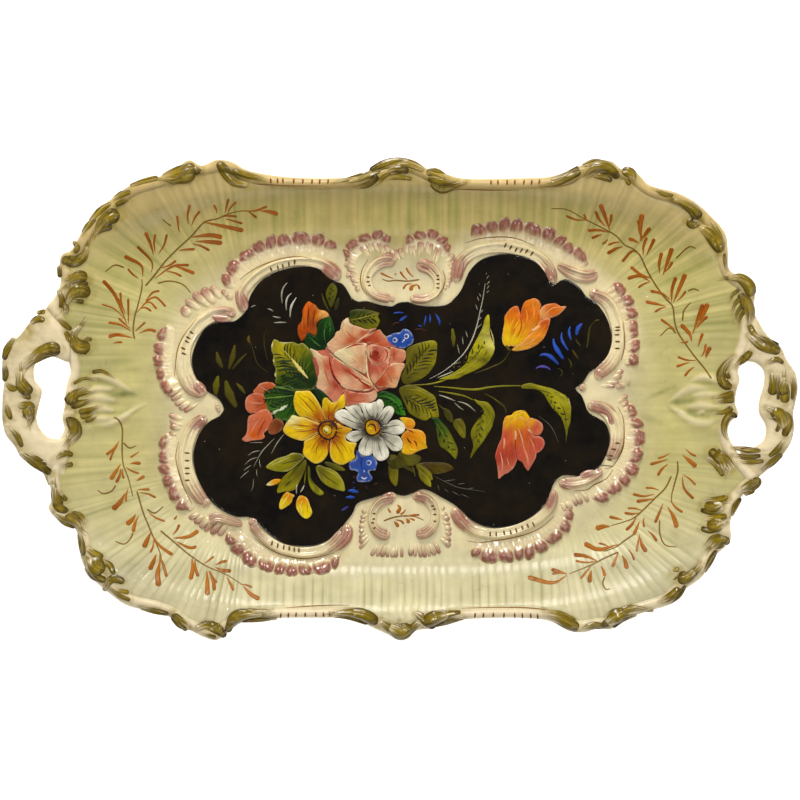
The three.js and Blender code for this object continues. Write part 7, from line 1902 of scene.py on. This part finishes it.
              (-18.1, -35.2), (-18.5, -30.2), (-17.4, -23)], (-18, -18.5), [(-12, -36.6, "f0ebd8"), (-13.6, -31, "c6c2ae"), (-15, -25, "575348")],
             "f2edda"),
            ([(-23.8, -15.8), (-21.9, -12.8), (-18.9, -12), (-15.5, -13.6), (-14, -16.6), (-12.8, -19.6), (-12.1, -21.5),
              (-14.4, -24.2), (-17.4, -23.8), (-20.8, -23), (-23.4, -19.6)], (-18, -18.5),
             [(-22, -18, "c9a010"), (-18, -21.6, "c9980e"), (-14, -19, "b36a0c"), (-18, -15, "a8780c")], "2a1500"),
        ],
        "strokes": [
            ([(-21.6, -17.7), (-19.7, -16), (-16.9, -16.8), (-15.9, -21.1)], 0.6, "2a1500", "3a1c02"),
            ([(-21.4, -19.8), (-19.6, -18.8), (-18, -20)], 0.9, "e4c424", "d8b018"),
            ([(-39, -10.6), (-33, -13.4), (-27, -16)], 0.4, "86847a", "6a685e"), ([(-37, -8.4), (-32, -11), (-27, -14.6)], 0.4, "f8f6ec", "bdb9a5"),
            ([(-23, -4), (-21.6, -8), (-20.4, -11.4)], 0.4, "86847a", "6a685e"), ([(-18.6, -4), (-18.6, -8), (-18.4, -11)], 0.4, "f8f6ec", "bdb9a5"),
            ([(-7, -6.6), (-9.4, -10), (-12, -14)], 0.4, "86847a", "6a685e"), ([(0, -16.4), (-5, -17), (-10, -18.6)], 0.4, "86847a", "6a685e"),
            ([(-1, -20), (-6, -20), (-10.6, -19.8)], 0.4, "f8f6ec", "bdb9a5"), ([(-12, -37), (-13.4, -32), (-14.8, -27)], 0.4, "86847a", "6a685e"),
            ([(-15, -37), (-16, -32), (-16.4, -27)], 0.4, "f8f6ec", "bdb9a5"), ([(-23, -34), (-22.6, -30), (-21, -25.6)], 0.4, "86847a", "6a685e"),
            ([(-2, -31), (-6, -28.6), (-11, -24.6)], 0.4, "86847a", "6a685e"), ([(-32, -24.4), (-28, -23), (-24, -21.6)], 0.4, "86847a", "6a685e"),
            ([(-31, -5), (-28, -8.6), (-25, -12.4)], 0.4, "86847a", "6a685e"),
        ],
    },
    "lower_blue_florets": {
        "petals": [
            ([(-28.7, -33.3), (-27.2, -34), (-25.3, -36.3), (-18.9, -35.9), (-16.6, -38.2), (-15.1, -40.5), (-15.5, -43.9),
              (-16.6, -46.5), (-19.3, -46.5), (-20.4, -47.3), (-18.9, -49.9), (-18.1, -51.8), (-20, -53.7), (-24.2, -54.1),
              (-28, -53.7), (-28.7, -51.4), (-27.6, -48), (-29.5, -46.5), (-32.5, -46.1), (-33.7, -42.7), (-32.5, -40.1),
              (-29.1, -38.6)], (-24, -44), [(-29, -42, "34509f"), (-20, -41, "3c5cb0"), (-23, -50, "34509f"), (-26, -37, "2c4490")], "d8dfe8"),
        ],
        "strokes": [
            ([(-29.6, -42.3), (-28.2, -42.3)], 1.0, "6a4a1c", "5a3a14"), ([(-22.4, -41.4), (-20.6, -39.8), (-19, -41.4), (-20.6, -43), (-22.2, -41.6)], 0.45, "dfe4ea", "c8d0dc"),
            ([(-21.2, -41.4), (-20.2, -41.4)], 0.9, "6a4a1c", "5a3a14"), ([(-24.4, -49.5), (-22.8, -49.5)], 1.1, "6a4a1c", "5a3a14"),
            ([(-25.8, -50.6), (-23.6, -52), (-21.6, -50.8)], 0.5, "eef0f0", "dfe4ea"), ([(-23.6, -48), (-23.6, -46.1)], 0.4, "eef0f0", "c8d0dc"),
            ([(-25.4, -38), (-25.6, -43), (-25, -46)], 0.4, "1a2c66", "1a2c66"), ([(-34.4, -59.8), (-31, -59.9), (-27.2, -60.9)], 1.4, "3a5cb8", "2c4694"),
            ([(-36, -64.3), (-33, -64), (-29.5, -64.3)], 1.1, "3a5cb8", "2c4694"), ([(-39, -73), (-36.6, -71.8), (-34, -70)], 0.9, "4a4690", "3a3a84"),
            ([(-31, -54.6), (-30.2, -54.4)], 0.8, "3a5cb8", "2c4694"), ([(-30.8, -58), (-29.8, -57.8)], 0.7, "3a5cb8", "2c4694"),
            ([(-31, -50), (-29, -52)], 0.9, "3a1c10", "33180e"), ([(-18, -56), (-14.6, -55)], 0.9, "33180e", "2c150c"), ([(-24, -57), (-20, -58.6)], 0.9, "3a1c10", "2c150c"),
        ],
    },
    "lower_leaves": {
        "petals": [
            ([(-50, -41), (-44, -41.5), (-38, -44), (-36, -46.5), (-41, -46.5), (-47, -44.5)], (-50, -41),
             [(-47, -42.6, "4a480e"), (-38, -45, "5c5a12")], None),
            ([(-88.4, -44.4), (-85.3, -41.1), (-80.8, -38.5), (-75.5, -37), (-70.9, -34.9), (-65.3, -35.5), (-63, -37.7),
              (-65.3, -40.4), (-70.2, -44.9), (-74, -47), (-80.4, -47.2), (-85.3, -46.1)], (-63, -38),
             [(-85, -44, "9a942a"), (-75, -41, "86800f"), (-66, -38, "5c560a")], "c8c478"),
            ([(-62.2, -39.2), (-68.3, -44.2), (-74, -48), (-77.8, -51.7), (-80.4, -57), (-80.8, -61.2), (-76.6, -60.5),
              (-72.1, -60.1), (-68.3, -58.2), (-66.4, -54.4), (-63, -46.8), (-61.5, -42.3)], (-62, -39.5),
             [(-66, -45, "5c560a"), (-74, -54, "7c7510"), (-79, -60, "8f8824")], None),
            ([(-59.2, -46.1), (-58.8, -51.4), (-56.9, -54.8), (-53.1, -58.2), (-50.1, -61.6), (-52.4, -62.9), (-55.8, -61.6),
              (-58.8, -58.2), (-60.7, -52.5), (-60.4, -43)], (-60, -43), [(-60, -47, "5c5a10"), (-56, -58, "7d7a14"), (-51, -62, "8f8c2c")], None),
            ([(-55.4, -44), (-53.5, -50.6), (-50.5, -54.8), (-46.3, -57.4), (-39.9, -59.7), (-36.5, -60), (-36.3, -58), (-37.5, -53.5),
              (-40, -49.5), (-44, -46), (-50, -44), (-53, -43)], (-55, -44),
             [(-52, -47, "66600c"), (-44, -52, "8a8216"), (-37, -58, "9a942a")], "b0aa58"),
            ([(-88.2, -56.1), (-85.3, -53.3), (-82.3, -52.1), (-78.5, -52.5), (-80, -54.8), (-85.3, -56.5)], (-79, -53),
             [(-87, -56, "ecd890"), (-82, -54, "e09a20")], None),
            ([(-74.5, -60.6), (-77, -62.7), (-79.3, -67.3), (-79.5, -71.1), (-78.5, -72.2), (-74.7, -70.3), (-71.7, -67.7),
              (-70.6, -64.6), (-69.4, -63.1), (-72.1, -61.6)], (-71, -61), [(-73, -63, "d88a14"), (-77, -69, "e8c81c")], "f4e27a"),
            ([(-66.2, -63.1), (-68.3, -66.9), (-68.3, -71.1), (-66.4, -74.8), (-63.8, -77.5), (-61.5, -78.3), (-58.8, -76.4),
              (-57.9, -74.1), (-59.2, -69.9), (-61.1, -65), (-63, -63.5)], (-64, -63),
             [(-64, -65, "d88a14"), (-63, -73, "e8c81c"), (-60, -76, "ecd030")], "f4e27a"),
        ],
        "strokes": [
            ([(-71.5, -53), (-73.5, -54.8), (-75.8, -57)], 0.6, "3a3808", "4a460a"), ([(-64, -38.6), (-70, -40), (-78, -42.4)], 0.5, "3a3808", "5c560a"),
            ([(-64, -41), (-69, -46), (-74, -52)], 0.45, "3a3808", "55500c"), ([(-67.7, -55.2), (-68.3, -58), (-68.3, -62)], 0.5, "d8d6c0", "b9b6a4"),
            ([(-63, -55.9), (-64.9, -59.7), (-66, -61)], 0.5, "d8d6c0", "b9b6a4"), ([(-54, -46), (-48, -51), (-40, -56.6)], 0.5, "4f4a0a", "66600f"),
            ([(-59.6, -46), (-58.6, -53), (-53.6, -60)], 0.35, "4a480c", "5c5a10"), ([(-50, -46), (-44, -48.6), (-39.6, -53)], 0.4, "b0aa4a", "a09a3a"),
            ([(-85, -43.4), (-79, -40.4), (-72, -37.6)], 0.4, "d0cc88", "b8b260"), ([(-73, -62), (-75.6, -66), (-77.6, -70)], 0.5, "f4e060", "f4e27a"),
            ([(-64, -66), (-65.6, -70), (-64.6, -74.6)], 0.5, "f4e060", "f4e27a"), ([(-61.6, -67), (-61, -71), (-61.4, -75)], 0.5, "d89a18", "dcae1c"),
        ],
    },
}


# Leaves with dark feathering: the midrib's root and tip, the reach of the strokes, their number and colour.
HATCHED = {
    "leaves_right_of_hub": [
        ((2, 12), (22, 37), 9, 16, "262204"), ((30, 16), (60, 40), 3.6, 12, "4c480a"), ((1, 4), (24, -9), 8, 14, "262204"),
        ((22, -13), (36, -36), 4, 8, "16280a"),
    ],
    "long_leaf": [((96, 7), (110, -16), 3.4, 10, "3c3a0a"), ((56, -3), (50, -30), 3.6, 10, "3a380a")],
    "leaf_above_rose": [((-33, 52.6), (-15, 54.5), 5, 10, "161e04"), ((-45.6, 62), (-45, 75), 2.6, 6, "26240a")],
    "dark_leaves_by_rose": [((-14, 2), (3, -8), 5, 10, "0a1a06")],
    "big_leaf_left": [((-58, 10), (-80, 33), 11, 18, "12260a"), ((-58, 9), (-78, 18), 8, 12, "0a1a04")],
    "feathery_leaf_left": [((-69, 5), (-91, 2), 9, 16, "0c1e06"), ((-69, 2), (-84, -7), 6, 10, "0a1a04")],
    "orange_bud": [((-50, 33), (-46.6, 52), 4, 8, "081a06"), ((-50, 34), (-61, 41), 4, 8, "081a06")],
}


def inside_ring(x, y, ring):
    """Whether points lie inside a closed ring, by counting the edges to their right."""
    x0, y0 = ring.T
    x1, y1 = np.roll(ring, -1, axis=0).T
    crosses = (y0[None] > y[:, None]) != (y1[None] > y[:, None])
    slope = (x1 - x0) / np.where(y1 == y0, 1e-9, y1 - y0)
    at = x0[None] + (y[:, None] - y0[None]) * slope[None]
    return (crosses & (x[:, None] < at)).sum(axis=1) % 2 == 1


def edge_distance(points, ring):
    """Distance of each point from a closed ring."""
    a, b = ring, np.roll(ring, -1, axis=0)
    d = b - a
    t = clip01(((points[:, None] - a[None]) * d[None]).sum(axis=2) / ((d * d).sum(axis=1) + 1e-9)[None])
    near = a[None] + t[..., None] * d[None]
    return np.linalg.norm(points[:, None] - near, axis=2).min(axis=1)


def richer(tints, gain=1.08):
    """Colours moved away from grey by the amount that the gloss over them takes back."""
    grey = tints.mean(axis=-1, keepdims=True)
    return np.clip(grey + (tints - grey) * gain - 0.005, 0.001, 0.95)


def hatching(shapes, surface, root, tip, half, count, code, seed):
    """Short feathered strokes that slant outwards from a leaf's midrib."""
    root, tip = np.array(root, float), np.array(tip, float)
    length = np.linalg.norm(tip - root)
    ahead = (tip - root) / length
    side = np.array([-ahead[1], ahead[0]])
    for i in range(count):
        t = 0.08 + 0.8 * (i + 0.5) / count
        way = side if i % 2 else -side
        reach = half * (0.4 + 0.6 * math.sin(math.pi * t)) * (0.85 + 0.25 * math.sin(3.7 * i + seed))
        start = root + ahead * length * t + way * 0.05 * half
        middle = start + ahead * reach * 0.5 + way * reach * 0.35
        end = start + ahead * reach * 0.85 + way * reach * 0.85
        wide = 0.5 + 0.2 * math.sin(2.9 * i + seed)
        stroke = with_widths([start, middle, end], 0.35 * wide, wide, 0.2 * wide)
        lay_stroke(shapes, surface, stroke, 0.12, rgb(code), rgb(code), seed + i, 0.85, 0.7)


# Fine strokes round a flower's middle: centre, inner and outer radius, how many, colour.
RADIATING = {
    "yellow_narcissus": [((-47.6, -19.8), 6.2, 10.6, 30, "6a3204")],
    "daisy": [((-18, -18), 5.4, 11.5, 40, "4c4638")],
}
# Thin dark rings round a flower's middle: centre, radius, half width, colour.
MIDDLE_RINGS = {
    "yellow_narcissus": [((-47.6, -19.8), 6.0, 0.6, "3a1602"), ((-48, -19.6), 3.4, 0.32, "6a3204")],
    "daisy": [((-18, -18), 5.2, 0.6, "2a1500")],
}


def flower_middle(shapes, surface, name, seed):
    """The fine dark strokes and rings that a flower's middle is drawn with."""
    for centre, inner, outer, count, code in RADIATING.get(name, []):
        for i in range(count):
            turn = 2 * math.pi * (i + 0.35 * math.sin(5 * i + seed)) / count
            way = np.array([math.cos(turn), math.sin(turn)])
            reach = outer * (0.8 + 0.2 * math.sin(3.1 * i + seed))
            points = [np.array(centre) + way * r for r in (inner, (inner + reach) / 2, reach)]
            lay_stroke(shapes, surface, with_widths(points, 0.42, 0.3, 0.1), 0.1, rgb(code), rgb(code), i, 0.85, 0.7)
    for centre, radius, half, code in MIDDLE_RINGS.get(name, []):
        turns = np.linspace(0, 6.2, 19)
        wobble = radius * (1 + 0.04 * np.sin(3 * turns + seed))
        points = np.column_stack([centre[0] + wobble * np.cos(turns), centre[1] + wobble * np.sin(turns)])
        lay_stroke(shapes, surface, with_widths(points, half, half, half), 0.14, rgb(code), rgb(code), seed, 0.85, 0.7)


def painted_petal(shapes, outline, root, spots, rim, level, seed):
    """A flat painted petal or leaf: an even net of points, so that its colours can change anywhere."""
    spacing = 0.85
    ring = smooth_path(outline, spacing, closed=True)
    low, high = ring.min(axis=0), ring.max(axis=0)
    rows, columns = np.ceil((high - low)[::-1] / spacing).astype(int) + 1
    j, i = np.meshgrid(np.arange(rows), np.arange(columns), indexing="ij")
    x = (low[0] + (i + 0.5 * (j % 2)) * spacing).ravel()
    y = (low[1] + j * spacing).ravel()
    keep = inside_ring(x, y, ring)
    net = np.column_stack([x, y])[keep]
    net = net[edge_distance(net, ring) > 0.5 * spacing]
    count = len(ring)
    edges = [(k, (k + 1) % count) for k in range(count)]
    plan = [Vector(p) for p in np.vstack([ring, net]).tolist()]
    found, _, faces, _, _, _ = delaunay_2d_cdt(plan, edges, [], 1, 1e-5)
    points = np.array([tuple(p) for p in found])
    total = len(points)
    depth = edge_distance(points, ring)
    away = points - np.array(root, float)
    radius = np.linalg.norm(away, axis=1)
    turn = np.arctan2(away[:, 1], away[:, 0])
    weights = np.stack([1 / (np.hypot(points[:, 0] - sx, points[:, 1] - sy) + 0.6) ** 2.6 for sx, sy, _ in spots])
    weights /= weights.sum(axis=0)
    tints = sum(w[:, None] * rgb(code) for w, (_, _, code) in zip(weights, spots))
    tints = richer(tints, 1.04 if rim else 1.1)
    hairs = waver(turn * 9 + 0.25 * radius + seed, seed)
    strength = 0.16 if rim else 0.34
    tints = tints * (1 + strength * hairs * fade(radius, 0, 6))[:, None]
    if rim:
        tints = mix(tints, rgb(rim), clip01(fade(depth, 1.2, 0.2) * (0.36 + 0.5 * waver(turn * 6, seed + 1))))
    top = level + 0.3 * fade(depth, -0.6, 2.2) + 0.05 * hairs
    vertices = np.vstack([np.column_stack([points, top]), np.column_stack([points, np.full(total, GROUND_TOP - 0.3)])])
    used = {}
    for face in faces:
        for a, b in zip(face, (*face[1:], face[0])):
            used[(a, b)] = used.get((b, a), 0)
    walls = [(a, b, b + total, a + total) for a, b in used if (b, a) not in used]
    closed = [tuple(face) for face in faces] + [tuple(k + total for k in reversed(face)) for face in faces]
    brushes = np.column_stack([radius + 13 * seed, turn * 14, np.zeros(total)])
    shapes.add(vertices, closed + walls, np.vstack([tints, tints]), np.vstack([brushes, brushes]))


def paint_bouquet():
    for rank, (name, part) in enumerate(BOUQUET.items()):
        petals = Shapes()
        for i, (outline, root, spots, rim) in enumerate(part["petals"]):
            painted_petal(petals, outline, root, spots, rim, GROUND_TOP + 0.12 + 0.06 * rank + 0.16 * i, rank + 0.37 * i)
        surface = Surface(petals, ground) if part["petals"] else Surface(ground)
        for i, (points, half, start, end) in enumerate(part["strokes"]):
            stations = with_widths(densified(points, 9), 0.25 * half, 0.95 * half, 0.45 * half)
            lay_stroke(petals, surface, stations, 0.16 + 0.04 * half, richer(rgb(start)), richer(rgb(end)), rank + i, 0.85, 0.7)
        for i, (root, tip, half, count, code) in enumerate(HATCHED.get(name, [])):
            hatching(petals, surface, root, tip, half, count, code, rank + i)
        flower_middle(petals, surface, name, rank)
        make_piece(name, petals, PAINT)


paint_bouquet()

# ------------------------------------------------------------------ floor, camera and light


def studio():
    bpy.ops.mesh.primitive_plane_add(size=6)
    floor = bpy.context.object
    floor.name = "studio_floor"
    material, _, _, shader = new_material("pale_floor")
    shader.inputs["Base Color"].default_value = (0.94, 0.94, 0.94, 1)
    shader.inputs["Roughness"].default_value = 0.9
    shader.inputs["Emission Color"].default_value = (1, 1, 1, 1)
    shader.inputs["Emission Strength"].default_value = 0.6
    floor.data.materials.append(material)

    lens = bpy.data.cameras.new("photo_camera")
    lens.lens = 200
    lens.sensor_width = 36
    camera = bpy.data.objects.new("photo_camera", lens)
    camera.location = (0, 0, 0.5232 / 0.18 + 0.038)
    bpy.context.scene.collection.objects.link(camera)
    bpy.context.scene.camera = camera

    def lamp(name, place, size, power, colour):
        light = bpy.data.lights.new(name, "AREA")
        light.shape = "DISK"
        light.size = size
        light.energy = power
        light.color = colour
        made = bpy.data.objects.new(name, light)
        made.location = place
        made.rotation_euler = (-Vector(place)).to_track_quat("-Z", "Y").to_euler()
        bpy.context.scene.collection.objects.link(made)

    lamp("key", (-0.2, 1.5, 0.95), 0.7, 21.5, (1, 0.96, 0.88))
    lamp("fill", (0.3, -1.5, 1.3), 1.0, 5.5, (1, 0.98, 0.95))
    lamp("side_left", (-1.6, 0.1, 1.1), 1.0, 3.8, (1, 0.98, 0.95))
    lamp("side_right", (1.6, 0.1, 1.1), 1.0, 4.2, (1, 0.98, 0.95))
    lamp("glint_0", (0.35, 0.6, 1.9), 0.1, 4.5, (1, 1, 1))
    for i, place in enumerate([(-0.55, 0.8, 1.5), (0.6, -0.45, 1.7), (-0.5, -0.5, 1.8), (0.75, 0.75, 1.3)]):
        lamp(f"glint_{i + 1}", place, 0.06, 1.6, (1, 1, 1))
    world = bpy.data.worlds.new("studio")
    world.use_nodes = True
    world.node_tree.nodes["Background"].inputs["Color"].default_value = (1, 0.985, 0.96, 1)
    world.node_tree.nodes["Background"].inputs["Strength"].default_value = 0.17
    bpy.context.scene.world = world
    bpy.context.scene.view_settings.view_transform = "Standard"


studio()
